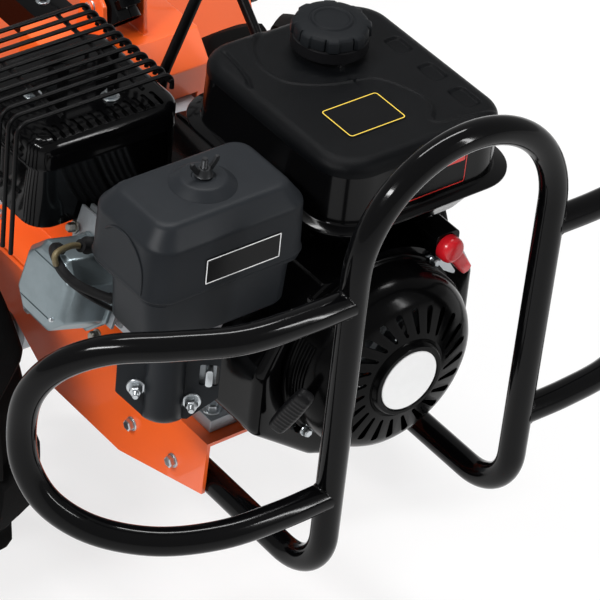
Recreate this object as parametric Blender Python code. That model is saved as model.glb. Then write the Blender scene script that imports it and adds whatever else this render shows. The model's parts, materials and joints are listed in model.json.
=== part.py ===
"""Rear-tine garden tiller: engine on a folded bed, tube guards, driven wheels, tines under a hood.

Metres. +X forward, +Y to the machine's left, +Z up. Every length below is measured from the crank axis,
at the place where it passes over the engine bed's middle, and the empty "machine" sets that point above the ground.
"""
import math

import bmesh
import bpy
from mathutils import Matrix, Vector

# Clearances
GAP = 0.0003
RUNNING_GAP = 0.0004
LOOSE_GAP = 0.0015

# Stance
CRANK_HEIGHT = 0.411
AXLE_X = -0.276
WHEEL_R = 0.205
AXLE_Z = WHEEL_R - CRANK_HEIGHT
GROUND_Z = -CRANK_HEIGHT

# Guard tubes
TUBE_R = 0.013
TUBE_WALL = 0.002
TUBE_SIDES = 8
HOOP_X = 0.223
HOOP_HALF = 0.109
HOOP_TOP = 0.287
LOWER_TUBE_Z = -0.162
LOWER_TUBE_REAR = -0.085
LOWER_BEND_R = 0.055
LOOP_HIGH_Z = 0.155
LOOP_LOW_Z = -0.060
LOOP_REACH = 0.365
LOOP_REAR_X = 0.112

# Bed
SHEET = 0.004
BED_HALF = HOOP_HALF + TUBE_R + GAP + SHEET
BED_FRONT = 0.070
BED_REAR = -0.330
ENGINE_BASE_Z = -0.106
DECK_Z = ENGINE_BASE_Z - GAP

# Engine
SHAFT_R = 0.0125
CASE_REAR = -0.072
CASE_FRONT = 0.058
CASE_RIGHT = -0.090
CASE_LEFT = 0.088
CASE_TOP = 0.062
FOOT_THICK = 0.014
FOOT_HALF = 0.115
CYLINDER_TILT = math.radians(16)
CYLINDER_X = -0.033
CYLINDER_SEAT = 0.148
HEAD_LONG = 0.048
HEAD_HALF_X = 0.042
HEAD_HALF_W = 0.040
COVER_DEEP = 0.053
SHROUD_REAR = 0.062
SHROUD_FRONT = 0.128
SHROUD_SHEET = 0.0016
STARTER_R = 0.092
STARTER_FACE_R = 0.034
STARTER_FRONT = 0.190
FLYWHEEL_R = 0.084
FLYWHEEL_BORE = 0.0106
TANK_REAR = -0.097
TANK_FRONT = 0.128
TANK_RIGHT = -0.054
TANK_LEFT = 0.146
TANK_TOP = 0.205
TANK_SEAM = 0.140
TANK_FLOOR = 0.097
TANK_SHEET = 0.0016
TANK_RECESS = 0.003
TANK_POCKET = 0.0055
POCKETS_X = ((-0.024, 0.000), (0.025, 0.050), (0.069, 0.098))
DISH_R = 0.063
NECK_X = -0.038
NECK_Y = 0.060
NECK_R = 0.024
CAP_R = 0.037
CAP_TALL = 0.028
FILTER_REAR = 0.015
FILTER_FRONT = 0.124
FILTER_RIGHT = -0.243
FILTER_LEFT = -0.074
FILTER_TOP = 0.200
FILTER_SEAM = 0.130
FILTER_FLOOR = 0.078
FILTER_WALL = 0.0025
FILTER_CHAMFER = 0.018
MUFFLER_FRONT = -0.078
MUFFLER_REAR = -0.220
MUFFLER_RIGHT = -0.225
MUFFLER_LEFT = -0.066
MUFFLER_FLOOR = 0.076
MUFFLER_TOP = 0.166
MUFFLER_SHEET = 0.0016
GUARD_WIRE_R = 0.0022
GUARD_TOP = 0.201
GUARD_BARS = 11

# Drive
CLUTCH_FRONT = -0.0725
CLUTCH_REAR = -0.196
CLUTCH_R = 0.082
CLUTCH_WALL = 0.005
GEARBOX_FRONT = -0.1965
GEARBOX_REAR = -0.345
GEARBOX_HALF = 0.056
GEARBOX_TOP = 0.040
AXLE_R = 0.0125
WHEEL_INNER = 0.200
TYRE_WIDE = 0.100
RIM_R = 0.101
MAST_COVER_HALF = 0.075
MAST_COVER_TOP = 0.100
TINE_X = -0.700
TINE_Z = -0.215
TINE_R = 0.176
TINE_SHAFT_R = 0.014
TINE_CASE_R = 0.052
TINE_CASE_HALF = 0.038
TINE_FLANGES = (0.118, 0.236)
TINE_SWEEP = 0.044
BLADES = 4

# Hood
HOOD_HALF = 0.350
HOOD_SHEET = 0.003
HOOD_FRONT_X = -0.483
HOOD_FRONT_Z = -0.160
HOOD_TOP_X = -0.567
HOOD_TOP_Z = 0.030
HOOD_BACK_X = -0.830
HOOD_HINGE_X = -0.950
HOOD_HINGE_Z = -0.050
FLAP_LONG = 0.270
STAKE_X = -0.885
STAKE_THICK = 0.012
STAKE_WIDE = 0.025
STAKE_TOP = 0.225

# Handlebar
MAST_R = 0.019
MAST_WALL = 0.0025
PIVOT_X = -0.285
PIVOT_Z = 0.134
HEAD_X = -0.660
HEAD_Z = 0.500
BAR_HALF = 0.290
BAR_R = 0.013
GRIP_REAR = -1.190
GRIP_FRONT = -1.070
GRIP_Z = 0.560
GRIP_R = 0.017

# The engine stands forward of the middle of the whole machine by this much.
ENGINE_X = (-GRIP_REAR - (HOOP_X + TUBE_R)) / 2

# Engine details
BARREL_HALF = 0.034
BARREL_FINS = 5
FIN_PITCH = 0.0095
FIN_THICK = 0.003
HEAD_FINS = 5
HEAD_ROOT = 0.003
HEAD_PITCH = (HEAD_LONG - FIN_THICK - HEAD_ROOT) / (HEAD_FINS - 1)
COVER_REAR = 0.043
COVER_FRONT = 0.036
COVER_LOW = 0.058
COVER_HIGH = 0.024
TANK_POSTS_X = (-0.045, 0.040)
TANK_POSTS_Y = (0.010, 0.070)
DIPSTICK_R = 0.011
DIPSTICK_AT = (-0.050, -0.070, -0.045)
DIPSTICK_OUT = (0.0, -0.94, 0.34)
PLUG_THREAD_R = 0.006
PLUG_X = 0.012
PLUG_W = 0.0315
PLUG_OUT = (0.20, 0.97, 0.16)
BOOT_R = 0.0095
LEAD_R = 0.0024
SHAFT_REAR = -0.131
CLUTCH_HUB_REAR = -0.124
FAN_VANES = 9
STARTER_SLOTS = 24
SLOT_HALF = 0.0018
ROPE_R = 0.0019
HANDLE_AT = (0.158, -0.107, -0.012)
PULL_OUT = (0.45, -0.86, -0.26)
HANDLE_ALONG = (0.50, 0.0, 0.866)
HANDLE_HALF = 0.0365
CAP_LOBES = 8
STUD_R = 0.003
CARB_AT = (0.080, -0.190, -0.010)
CARB_OUT = (0.8, -0.6, 0.0)
CARB_STUD_HALF = 0.025
CARB_STUD_DROP = 0.006
CARB_COVER_LOW = -0.027
CARB_COVER_HIGH = 0.062
CARB_COVER_LEFT = -0.043
CARB_COVER_RIGHT = 0.048
CARB_COVER_CLIP = 0.026
BULGE_R = 0.0155
BULGE_OUT = 0.020
VALVE_SLOT_LOW = (0.0300, 0.0125)
VALVE_SLOT_HIGH = (0.0470, 0.0355)
CARB_PLATE = 0.0025
NUT_SEAT = CARB_PLATE + 2 * GAP
VALVE_SEAT = -0.004
VALVE_PIVOT_Y = 0.0175
MUFFLER_CLEAR = 0.008
SHIELD_STUDS = ((-0.153, -0.183), (-0.116, -0.124))
GUARD_FOOT_X = -0.140
SHIELD_SLOTS = 13
GUARD_FRONT = -0.079
GUARD_REAR = -0.209
GUARD_RIGHT = -0.250
GUARD_LEFT = -0.084
GUARD_LOW = 0.062
GUARD_LEFT_LOW = 0.184
SWITCH_OUT = 0.012
SWITCH_LOW = (SHROUD_FRONT - 0.016, 0.057, 0.080)
SWITCH_HIGH = (SHROUD_FRONT + SWITCH_OUT, 0.084, 0.106)
SWITCH_AT = (SHROUD_FRONT + SWITCH_OUT + GAP, 0.0695, 0.0915)
SWITCH_ARM = (0.0, 0.59, -0.81)

# Drive details
INPUT_R = 0.010
GEARBOX_BOLTS_X = (-0.300, -0.215)
GEARBOX_BOLTS_Z = -0.138
AXLE_BOSS = 0.110
AXLE_END = 0.296
HUB_HALF = 0.032
HUB_R = 0.0225
RIM_HALF = 0.041
RIM_FLANGE_R = 0.110
TYRE_WALL = 0.008
LUG_TALL = 0.015
LUG_PAIRS = 8
LUG_LEAN = 0.22
MAST_COVER_FRONT = -0.225
MAST_COVER_REAR = -0.330
COVER_SHEET = 0.0025
EAR_THICK = 0.005
PIN_R = 0.006
DRIVE_TUBE_R = 0.030
TINE_SHAFT_END = 0.270
SLEEVE_R = 0.021
FLANGE_R = 0.056
HINGE_LUGS = (-0.315, 0.0, 0.315)
HINGE_ROD_R = 0.003
KNUCKLE_R = 0.0058
FLAP_SHEET = 0.002
BEAM_HALF = 0.022
BEAM_TALL = 0.036
SCREW_R = 0.005
SCREW_Z = 0.070
KNOB_X = -0.532
KNOB_Z = -0.108
KNOB_STUD_R = 0.004

# Control details
LEVER_X = -1.030
LEVER_DROP = 0.046
LEVER_PIN_R = 0.003
ROD_R = 0.0055
SHIFT_X = -0.2095
SHIFT_BALL_R = 0.008
DRIVE_PIVOT = (-0.225, -0.045)
DRIVE_ROD_Y = 0.187
CABLE_R = 0.0025
ANCHOR_LOW = -0.014
ANCHOR_HIGH = -0.005
# Routes in machine coordinates: along the mast, then free to the hand lever.
CLUTCH_ROUTE = (
    (-0.2667, 0.006, 0.1460), (-0.2760, 0.0062, 0.1551), (-0.2960, 0.022, 0.1770), (-0.3400, 0.085, 0.2150),
    (-0.4000, 0.150, 0.2620), (-0.5000, 0.208, 0.3250), (-0.6600, 0.250, 0.4000), (-0.8400, 0.272, 0.4650),
    (-1.0100, 0.2895, 0.4990),
)
THROTTLE_ROUTE = (
    (-0.2667, -0.006, 0.1460), (-0.3500, -0.006, 0.2271), (-0.4500, -0.006, 0.3247), (-0.5500, -0.012, 0.4200),
    (-0.6150, -0.050, 0.4720), (-0.7200, -0.130, 0.4960), (-0.8600, -0.222, 0.5020), (-1.0100, -0.2895, 0.4990),
)

LOOKS = {
    "gloss_black": ((0.010, 0.010, 0.011), 0.18, 0.0),
    "satin_black": ((0.020, 0.021, 0.023), 0.42, 0.0),
    "black_plastic": ((0.016, 0.017, 0.018), 0.55, 0.0),
    "orange": ((0.80, 0.115, 0.012), 0.38, 0.0),
    "cast_aluminium": ((0.52, 0.54, 0.56), 0.45, 1.0),
    "silver_paint": ((0.50, 0.54, 0.57), 0.32, 0.6),
    "zinc": ((0.70, 0.70, 0.68), 0.30, 1.0),
    "steel": ((0.45, 0.45, 0.46), 0.38, 1.0),
    "tyre_rubber": ((0.017, 0.018, 0.019), 0.80, 0.0),
    "grip_rubber": ((0.015, 0.015, 0.016), 0.70, 0.0),
    "red_plastic": ((0.55, 0.008, 0.012), 0.35, 0.0),
    "filter_foam": ((0.75, 0.66, 0.45), 0.90, 0.0),
    "cable_grey": ((0.34, 0.34, 0.35), 0.35, 0.0),
}


def clear_scene():
    for old in list(bpy.data.objects):
        bpy.data.objects.remove(old, do_unlink=True)


def material(look):
    found = bpy.data.materials.get(look)
    if found:
        return found
    made = bpy.data.materials.new(look)
    made.use_nodes = True
    shader = made.node_tree.nodes["Principled BSDF"]
    colour, roughness, metallic = LOOKS[look]
    shader.inputs["Base Color"].default_value = (*colour, 1.0)
    shader.inputs["Roughness"].default_value = roughness
    shader.inputs["Metallic"].default_value = metallic
    return made


def empty(name, at):
    made = bpy.data.objects.new(name, None)
    made.location = at
    bpy.context.collection.objects.link(made)
    return made


def piece(name, bm, look, at=(0.0, 0.0, 0.0)):
    """A finished object from a bmesh in machine coordinates, with its origin at the point given."""
    bmesh.ops.remove_doubles(bm, verts=bm.verts, dist=1e-6)
    bmesh.ops.recalc_face_normals(bm, faces=bm.faces)
    bmesh.ops.translate(bm, verts=bm.verts, vec=-Vector(at))
    mesh = bpy.data.meshes.new(name)
    bm.to_mesh(mesh)
    bm.free()
    mesh.materials.append(material(look))
    mesh.shade_smooth()
    mesh.set_sharp_from_angle(angle=math.radians(32))
    made = bpy.data.objects.new(name, mesh)
    bpy.context.collection.objects.link(made)
    made.parent = bpy.data.objects["machine"]
    made.location = at
    return made


def combine(target, bm, operation):
    """A Boolean on the target with a hidden helper shape."""
    label = f"{operation.lower()}_{len(target.modifiers)}_{target.name}"
    helper = piece(label, bm, "steel")
    helper.hide_render = True
    helper.display_type = "WIRE"
    step = target.modifiers.new(label, "BOOLEAN")
    step.operation = operation
    step.object = helper
    step.solver = "EXACT"
    step.use_self = True


def cut(target, bm):
    combine(target, bm, "DIFFERENCE")


def join(target, bm):
    combine(target, bm, "UNION")


def axis_frame(origin, direction):
    """A matrix that carries local +Z onto a direction, with its origin at a point."""
    turn = Vector((0, 0, 1)).rotation_difference(Vector(direction).normalized())
    return Matrix.Translation(Vector(origin)) @ turn.to_matrix().to_4x4()


def add_box(bm, low, high, frame=None):
    corners = []
    for x in (low[0], high[0]):
        for y in (low[1], high[1]):
            for z in (low[2], high[2]):
                corners.append(Vector((x, y, z)))
    if frame is not None:
        corners = [frame @ corner for corner in corners]
    verts = [bm.verts.new(corner) for corner in corners]
    for quad in ((0, 1, 3, 2), (4, 6, 7, 5), (0, 4, 5, 1), (2, 3, 7, 6), (0, 2, 6, 4), (1, 5, 7, 3)):
        bm.faces.new([verts[i] for i in quad])


def add_loft(bm, loops):
    """A closed solid through loops that have the same number of points."""
    rings = [[bm.verts.new(point) for point in loop] for loop in loops]
    count = len(rings[0])
    for near, far in zip(rings, rings[1:]):
        for i in range(count):
            j = (i + 1) % count
            bm.faces.new((near[i], near[j], far[j], far[i]))
    bm.faces.new(rings[0])
    bm.faces.new(rings[-1])


def along_axis(axis, u, v, w):
    """A point from its two coordinates across an axis and its place along it."""
    if axis == "X":
        return Vector((w, u, v))
    if axis == "Y":
        return Vector((u, w, v))
    return Vector((u, v, w))


def add_prism(bm, outline, axis, low, high, frame=None):
    loops = []
    for w in (low, high):
        loop = [along_axis(axis, u, v, w) for u, v in outline]
        if frame is not None:
            loop = [frame @ point for point in loop]
        loops.append(loop)
    add_loft(bm, loops)


def add_turned(bm, profile, origin, direction, steps=24):
    """A solid turned about a line from a closed outline of (radius, distance along the line)."""
    frame = axis_frame(origin, direction)
    columns = []
    for radius, along in profile:
        if radius == 0:
            columns.append([bm.verts.new(frame @ Vector((0, 0, along)))])
            continue
        ring = []
        for k in range(steps):
            angle = 2 * math.pi * k / steps
            spot = Vector((radius * math.cos(angle), radius * math.sin(angle), along))
            ring.append(bm.verts.new(frame @ spot))
        columns.append(ring)
    for a, b in zip(columns, columns[1:] + columns[:1]):
        if len(a) == 1 and len(b) == 1:
            continue
        for i in range(steps):
            j = (i + 1) % steps
            corners = (a[i % len(a)], a[j % len(a)], b[j % len(b)], b[i % len(b)])
            bm.faces.new(list(dict.fromkeys(corners)))


def add_cylinder(bm, radius, start, end, steps=16):
    start, end = Vector(start), Vector(end)
    length = (end - start).length
    add_turned(bm, ((0, 0), (radius, 0), (radius, length), (0, length)), start, end - start, steps)


def add_bore(bm, radius, start, end, steps=12):
    """A cutter whose flats, not its corners, lie at the radius given."""
    add_cylinder(bm, radius / math.cos(math.pi / steps), start, end, steps)


def add_tube(bm, points, radius, wall=0.0, sides=10):
    """A bent tube that is open at its ends, or a solid rod where it has no wall."""
    points = [Vector(point) for point in points]
    tangents = []
    for i in range(len(points)):
        before = points[max(i - 1, 0)]
        after = points[min(i + 1, len(points) - 1)]
        tangents.append((after - before).normalized())
    side = tangents[0].orthogonal().normalized()
    skins = [[] for _ in range(2 if wall else 1)]
    for i, (point, tangent) in enumerate(zip(points, tangents)):
        if i:
            side = tangents[i - 1].rotation_difference(tangent) @ side
        side = (side - tangent * side.dot(tangent)).normalized()
        other = tangent.cross(side)
        for skin, size in zip(skins, (radius, radius - wall)):
            ring = []
            for k in range(sides):
                angle = 2 * math.pi * k / sides
                away = side * math.cos(angle) + other * math.sin(angle)
                ring.append(bm.verts.new(point + size * away))
            skin.append(ring)
    for skin in skins:
        for near, far in zip(skin, skin[1:]):
            for k in range(sides):
                m = (k + 1) % sides
                bm.faces.new((near[k], near[m], far[m], far[k]))
    for end in (0, -1):
        if not wall:
            bm.faces.new(skins[0][end])
            continue
        for k in range(sides):
            m = (k + 1) % sides
            bm.faces.new((skins[0][end][k], skins[0][end][m], skins[1][end][m], skins[1][end][k]))


def bent_path(corners, radius, steps=6):
    """Points along straight runs whose corners are rounded to one bend radius."""
    corners = [Vector(corner) for corner in corners]
    path = [corners[0]]
    for before, corner, after in zip(corners, corners[1:], corners[2:]):
        back = (before - corner).normalized()
        ahead = (after - corner).normalized()
        half = back.angle(ahead) / 2
        centre = corner + (back + ahead).normalized() * (radius / math.sin(half))
        reach = radius / math.tan(half)
        first = corner + back * reach - centre
        last = corner + ahead * reach - centre
        for k in range(steps + 1):
            path.append(centre + first.normalized().slerp(last.normalized(), k / steps).normalized() * radius)
    path.append(corners[-1])
    return path


def smooth_curve(points, per_span=5):
    """Points on one smooth curve through the points given."""
    points = [Vector(point) for point in points]
    padded = [points[0] * 2 - points[1]] + points + [points[-1] * 2 - points[-2]]
    path = []
    for a, b, c, d in zip(padded, padded[1:], padded[2:], padded[3:]):
        for k in range(per_span):
            t = k / per_span
            path.append(
                0.5 * (2 * b + (c - a) * t + (2 * a - 5 * b + 4 * c - d) * t**2 + (3 * b - a - 3 * c + d) * t**3)
            )
    path.append(points[-1])
    return path


def rounded_rectangle(low_u, high_u, low_v, high_v, radius, steps=4):
    outline = []
    centres = (
        (high_u - radius, high_v - radius, 0),
        (low_u + radius, high_v - radius, 90),
        (low_u + radius, low_v + radius, 180),
        (high_u - radius, low_v + radius, 270),
    )
    for u, v, start in centres:
        for k in range(steps + 1):
            angle = math.radians(start + 90 * k / steps)
            outline.append((u + radius * math.cos(angle), v + radius * math.sin(angle)))
    return outline


def rounded_corners(outline, radius, steps=3):
    """An outline in a plane whose corners are rounded."""
    count = len(outline)
    rounded = []
    for i in range(count):
        before = Vector((*outline[i - 1], 0))
        corner = Vector((*outline[i], 0))
        after = Vector((*outline[(i + 1) % count], 0))
        bend = bent_path((before, corner, after), radius, steps)[1:-1]
        rounded += [(point.x, point.y) for point in bend]
    return rounded


# Frame and guards


def bed_outline(inset=0.0):
    """The side plate seen from the side, from its deck edge round the lower edge."""
    return [
        (BED_FRONT + inset, DECK_Z - inset),
        (BED_REAR - inset, DECK_Z - inset),
        (BED_REAR - inset, DECK_Z - 0.055),
        (-0.245, DECK_Z - 0.062),
        (-0.176, DECK_Z - 0.102),
        (-0.061, DECK_Z - 0.101),
        (BED_FRONT + inset - 0.002, DECK_Z - 0.061),
    ]


def engine_bed():
    bm = bmesh.new()
    add_prism(bm, bed_outline(), "Y", -BED_HALF, BED_HALF)
    bed = piece("engine_bed", bm, "orange")
    inner = BED_HALF - SHEET
    hollow = bmesh.new()
    add_box(hollow, (BED_REAR - SHEET, -inner, DECK_Z - 0.15), (BED_FRONT + SHEET, inner, DECK_Z - SHEET))
    cut(bed, hollow)
    notch = bmesh.new()
    notch_front = CLUTCH_FRONT + 0.004
    add_box(notch, (BED_REAR - SHEET, -0.098, DECK_Z - 0.01), (notch_front, 0.098, DECK_Z + 0.01))
    cut(bed, notch)
    lug = bmesh.new()
    x, z = DRIVE_PIVOT
    outline = ((x - 0.022, DECK_Z - 0.010), (x + 0.022, DECK_Z - 0.010), (x + 0.014, z + 0.006), (x + 0.007, z + 0.014),
               (x - 0.007, z + 0.014), (x - 0.014, z + 0.006))
    add_prism(lug, outline, "Y", inner, BED_HALF)
    join(bed, lug)
    eye = bmesh.new()
    add_bore(eye, ROD_R + RUNNING_GAP, (x, inner - SHEET, z), (x, BED_HALF + SHEET, z), 12)
    cut(bed, eye)
    return bed


def hoop_path():
    """From the rear end of the right lower tube, up, over the engine and back under the left side."""
    low_right = (LOWER_TUBE_REAR, -HOOP_HALF, LOWER_TUBE_Z)
    corner = (HOOP_X, -HOOP_HALF, LOWER_TUBE_Z)
    arch_z = HOOP_TOP - HOOP_HALF
    rise = bent_path((low_right, corner, (HOOP_X, -HOOP_HALF, arch_z)), LOWER_BEND_R, 3)
    arch = []
    for k in range(1, 9):
        angle = math.pi * (1 - k / 9)
        arch.append(Vector((HOOP_X, HOOP_HALF * math.cos(angle), arch_z + HOOP_HALF * math.sin(angle))))
    fall = [Vector((point.x, -point.y, point.z)) for point in reversed(rise)]
    return rise + arch + fall


def front_hoop():
    """The hoop tube, whose two lower runs lie against the bed's side plates."""
    bm = bmesh.new()
    add_tube(bm, hoop_path(), TUBE_R, TUBE_WALL, TUBE_SIDES)
    return piece("front_hoop", bm, "gloss_black")


def side_loop(name, side):
    middle = (LOOP_HIGH_Z + LOOP_LOW_Z) / 2
    half = (LOOP_HIGH_Z - LOOP_LOW_Z) / 2
    plan = [(HOOP_X, -HOOP_HALF), (HOOP_X, -0.165), (0.217, -0.222), (0.195, -0.275)]
    upper = [Vector((x, y, LOOP_HIGH_Z)) for x, y in plan]
    start = upper[-1]
    tip = Vector((LOOP_REAR_X, -LOOP_REACH, middle))
    arc = []
    for k in range(1, 8):
        angle = math.pi / 2 * (1 - k / 4)
        spread = math.cos(angle)
        x = start.x + (tip.x - start.x) * spread
        y = start.y + (tip.y - start.y) * (1 - (1 - spread) ** 1.35)
        arc.append(Vector((x, y, middle + half * math.sin(angle))))
    lower = [Vector((x, y, LOOP_LOW_Z)) for x, y in reversed(plan)]
    corners = upper + arc + lower
    path = [Vector((point.x, point.y * side, point.z)) for point in corners]
    bm = bmesh.new()
    add_tube(bm, path, TUBE_R, TUBE_WALL, TUBE_SIDES)
    loop = piece(name, bm, "gloss_black")
    cope = bmesh.new()
    leg_low = (HOOP_X, -HOOP_HALF * side, LOOP_LOW_Z - 2 * TUBE_R)
    leg_high = (HOOP_X, -HOOP_HALF * side, LOOP_HIGH_Z + 2 * TUBE_R)
    add_bore(cope, TUBE_R + GAP * 2, leg_low, leg_high, 12)
    cut(loop, cope)
    return loop


# Engine


def cylinder_frame():
    """Local X stays the machine's X, local Y runs out along the cylinder and local Z stands square to it."""
    out = Vector((0, -math.cos(CYLINDER_TILT), math.sin(CYLINDER_TILT)))
    up = Vector((0, math.sin(CYLINDER_TILT), math.cos(CYLINDER_TILT)))
    frame = Matrix.Identity(4)
    for row in range(3):
        frame[row][0] = (1, 0, 0)[row]
        frame[row][1] = out[row]
        frame[row][2] = up[row]
    frame.translation = Vector((CYLINDER_X, 0, 0))
    return frame


def crankcase():
    bm = bmesh.new()
    outline = rounded_rectangle(CASE_RIGHT, CASE_LEFT, ENGINE_BASE_Z, CASE_TOP, 0.018, 2)
    add_prism(bm, outline, "X", CASE_REAR, CASE_FRONT)
    case = piece("crankcase", bm, "cast_aluminium")
    foot = bmesh.new()
    add_box(foot, (CASE_REAR, -FOOT_HALF, ENGINE_BASE_Z), (CASE_FRONT, FOOT_HALF, ENGINE_BASE_Z + FOOT_THICK))
    join(case, foot)
    posts = bmesh.new()
    for x in TANK_POSTS_X:
        for y in TANK_POSTS_Y:
            add_box(posts, (x - 0.008, y - 0.008, CASE_TOP - 0.006), (x + 0.008, y + 0.008, TANK_FLOOR - GAP))
    join(case, posts)
    barrel = bmesh.new()
    frame = cylinder_frame()
    half = BARREL_HALF
    add_box(barrel, (-half, 0.040, -half), (half, CYLINDER_SEAT, half), frame)
    join(case, barrel)
    fins = bmesh.new()
    for k in range(BARREL_FINS):
        along = CYLINDER_SEAT - 0.006 - FIN_PITCH * k
        low = (-HEAD_HALF_X, along - FIN_THICK, -HEAD_HALF_W)
        add_box(fins, low, (HEAD_HALF_X, along, HEAD_HALF_W), frame)
    join(case, fins)
    bore = bmesh.new()
    add_bore(bore, SHAFT_R + RUNNING_GAP, (CASE_REAR - 0.02, 0, 0), (CASE_FRONT + 0.02, 0, 0), 12)
    cut(case, bore)
    filler = bmesh.new()
    add_bore(filler, DIPSTICK_R + GAP, DIPSTICK_AT, Vector(DIPSTICK_AT) + Vector(DIPSTICK_OUT) * 0.08, 12)
    cut(case, filler)
    return case


def oil_dipstick():
    """The screw-in filler plug with its thin stick, and the ribbed grip outside the case."""
    out = Vector(DIPSTICK_OUT).normalized()
    bm = bmesh.new()
    seat = (CASE_RIGHT - DIPSTICK_AT[1]) / out.y
    lip = seat + 0.0075
    add_turned(
        bm,
        ((0, 0.002), (DIPSTICK_R, 0.002), (DIPSTICK_R, lip), (0.016, lip), (0.016, lip + 0.004),
         (0.0125, lip + 0.006), (0.0125, lip + 0.012), (0, lip + 0.012)),
        DIPSTICK_AT,
        out,
        14,
    )
    return piece("oil_dipstick", bm, "black_plastic", DIPSTICK_AT)


def cylinder_head():
    frame = cylinder_frame()
    low = CYLINDER_SEAT + GAP
    high = low + HEAD_LONG
    bm = bmesh.new()
    add_box(bm, (-BARREL_HALF, low, -BARREL_HALF + 0.002), (BARREL_HALF, high, BARREL_HALF - 0.002), frame)
    head = piece("cylinder_head", bm, "cast_aluminium")
    fins = bmesh.new()
    for k in range(HEAD_FINS):
        along = high - HEAD_PITCH * k
        low = (-HEAD_HALF_X, along - FIN_THICK, -HEAD_HALF_W)
        add_box(fins, low, (HEAD_HALF_X, along, HEAD_HALF_W), frame)
    join(head, fins)
    hole = bmesh.new()
    add_bore(hole, PLUG_THREAD_R + GAP, plug_point(-0.020), plug_point(0.030), 10)
    cut(head, hole)
    return head


def plug_point(along):
    """A point on the plug's axis, measured out from the head's end face."""
    frame = cylinder_frame()
    start = Vector((PLUG_X, CYLINDER_SEAT + GAP + HEAD_LONG, PLUG_W))
    return frame @ (start + Vector(PLUG_OUT).normalized() * along)


def spark_plug():
    bm = bmesh.new()
    start = plug_point(-0.018)
    end = plug_point(0.030)
    add_turned(
        bm,
        ((0, 0), (PLUG_THREAD_R, 0), (PLUG_THREAD_R, 0.0225), (0.0085, 0.0225), (0.0085, 0.0285),
         (0.0045, 0.0290), (0.0045, 0.044), (0, 0.044)),
        start,
        end - start,
        12,
    )
    return piece("spark_plug", bm, "steel")


def plug_boot():
    """The rubber boot over the plug's insulator, bored for it and for the lead."""
    bm = bmesh.new()
    start = plug_point(0.0112)
    end = plug_point(0.050)
    reach = (end - start).length
    add_turned(
        bm,
        ((0.0050, 0), (BOOT_R, 0), (BOOT_R, 0.010), (0.0075, 0.014), (0.0075, 0.028), (0.0062, reach),
         (0.0026, reach), (0.0026, 0.022), (0.0050, 0.0205)),
        start,
        end - start,
        12,
    )
    return piece("plug_boot", bm, "grip_rubber")


def ht_lead():
    """The ignition lead from the boot, over the barrel and into the fan housing's coil."""
    start = plug_point(0.0503)
    ahead = plug_point(0.066)
    route = (
        start,
        ahead,
        (0.004, -0.262, 0.118),
        (0.004, -0.250, 0.090),
        (0.008, -0.215, 0.052),
        (0.026, -0.180, 0.030),
        (0.044, -0.150, 0.020),
        (SHROUD_REAR - 0.004, -0.118, 0.012),
        (SHROUD_REAR + 0.012, -0.1105, 0.010),
    )
    bm = bmesh.new()
    add_tube(bm, smooth_curve(route, 3), LEAD_R, 0.0, 6)
    return piece("ht_lead", bm, "grip_rubber")


def valve_cover():
    """The cast cap on the head's end: a thin flange, eight-sided walls and a bevelled flat face."""
    frame = cylinder_frame()
    low = CYLINDER_SEAT + HEAD_LONG + 2 * GAP
    layers = ((0.0, 0.0), (0.003, 0.0), (0.0031, 0.002), (COVER_DEEP - 0.004, 0.003), (COVER_DEEP, 0.006))
    loops = []
    for along, inset in layers:
        outline = rounded_rectangle(
            -COVER_REAR + inset, COVER_FRONT - inset, -COVER_LOW + inset, COVER_HIGH - inset, 0.020, 1
        )
        loops.append([frame @ Vector((u, low + along, v)) for u, v in outline])
    bm = bmesh.new()
    add_loft(bm, loops)
    return piece("valve_cover", bm, "silver_paint")


def crankshaft():
    bm = bmesh.new()
    rear = SHAFT_REAR
    add_turned(
        bm,
        ((0, rear), (0.0095, rear), (0.0095, CLUTCH_HUB_REAR), (SHAFT_R, CLUTCH_HUB_REAR),
         (SHAFT_R, CASE_FRONT + 0.003), (0.010, CASE_FRONT + 0.003), (0.010, 0.116), (0, 0.116)),
        (0, 0, 0),
        (1, 0, 0),
        16,
    )
    return piece("crankshaft", bm, "steel")


def flywheel():
    """Flywheel disc with its cooling vanes and the slotted starter cup in one turning piece."""
    bm = bmesh.new()
    add_turned(
        bm,
        ((FLYWHEEL_BORE, 0.068), (0.030, 0.068), (0.030, 0.074), (FLYWHEEL_R, 0.074), (FLYWHEEL_R, 0.092), (0.038, 0.092),
         (0.038, 0.112), (0.030, 0.112), (0.030, 0.096), (FLYWHEEL_BORE, 0.096)),
        (0, 0, 0),
        (1, 0, 0),
        18,
    )
    wheel = piece("flywheel", bm, "cast_aluminium")
    vanes = bmesh.new()
    for k in range(FAN_VANES):
        turn = Matrix.Rotation(2 * math.pi * k / FAN_VANES, 4, "X")
        lean = Matrix.Rotation(math.radians(24), 4, "X")
        place = turn @ Matrix.Translation((0, 0.062, 0)) @ lean
        add_box(vanes, (0.0905, -0.016, -0.0012), (0.114, 0.016, 0.0012), place)
    join(wheel, vanes)
    return wheel


def shroud_outline(inset):
    """The fan housing seen from the front: a rounded body with cut corners and a flat top under the tank."""
    corners = [
        (-0.020, -0.126), (0.048, -0.126), (0.104, -0.088), (0.124, -0.030), (0.122, 0.040), (0.096, 0.086),
        (-0.050, 0.086), (-0.098, 0.056), (-0.124, 0.008), (-0.124, -0.058), (-0.052, -0.113),
    ]
    centre = Vector((0.0, -0.018))
    rounded = rounded_corners(corners, 0.018, 1)
    shrunk = []
    for u, v in rounded:
        away = Vector((u, v)) - centre
        shrunk.append(tuple(centre + away * (1 - inset / away.length)))
    return shrunk


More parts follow.
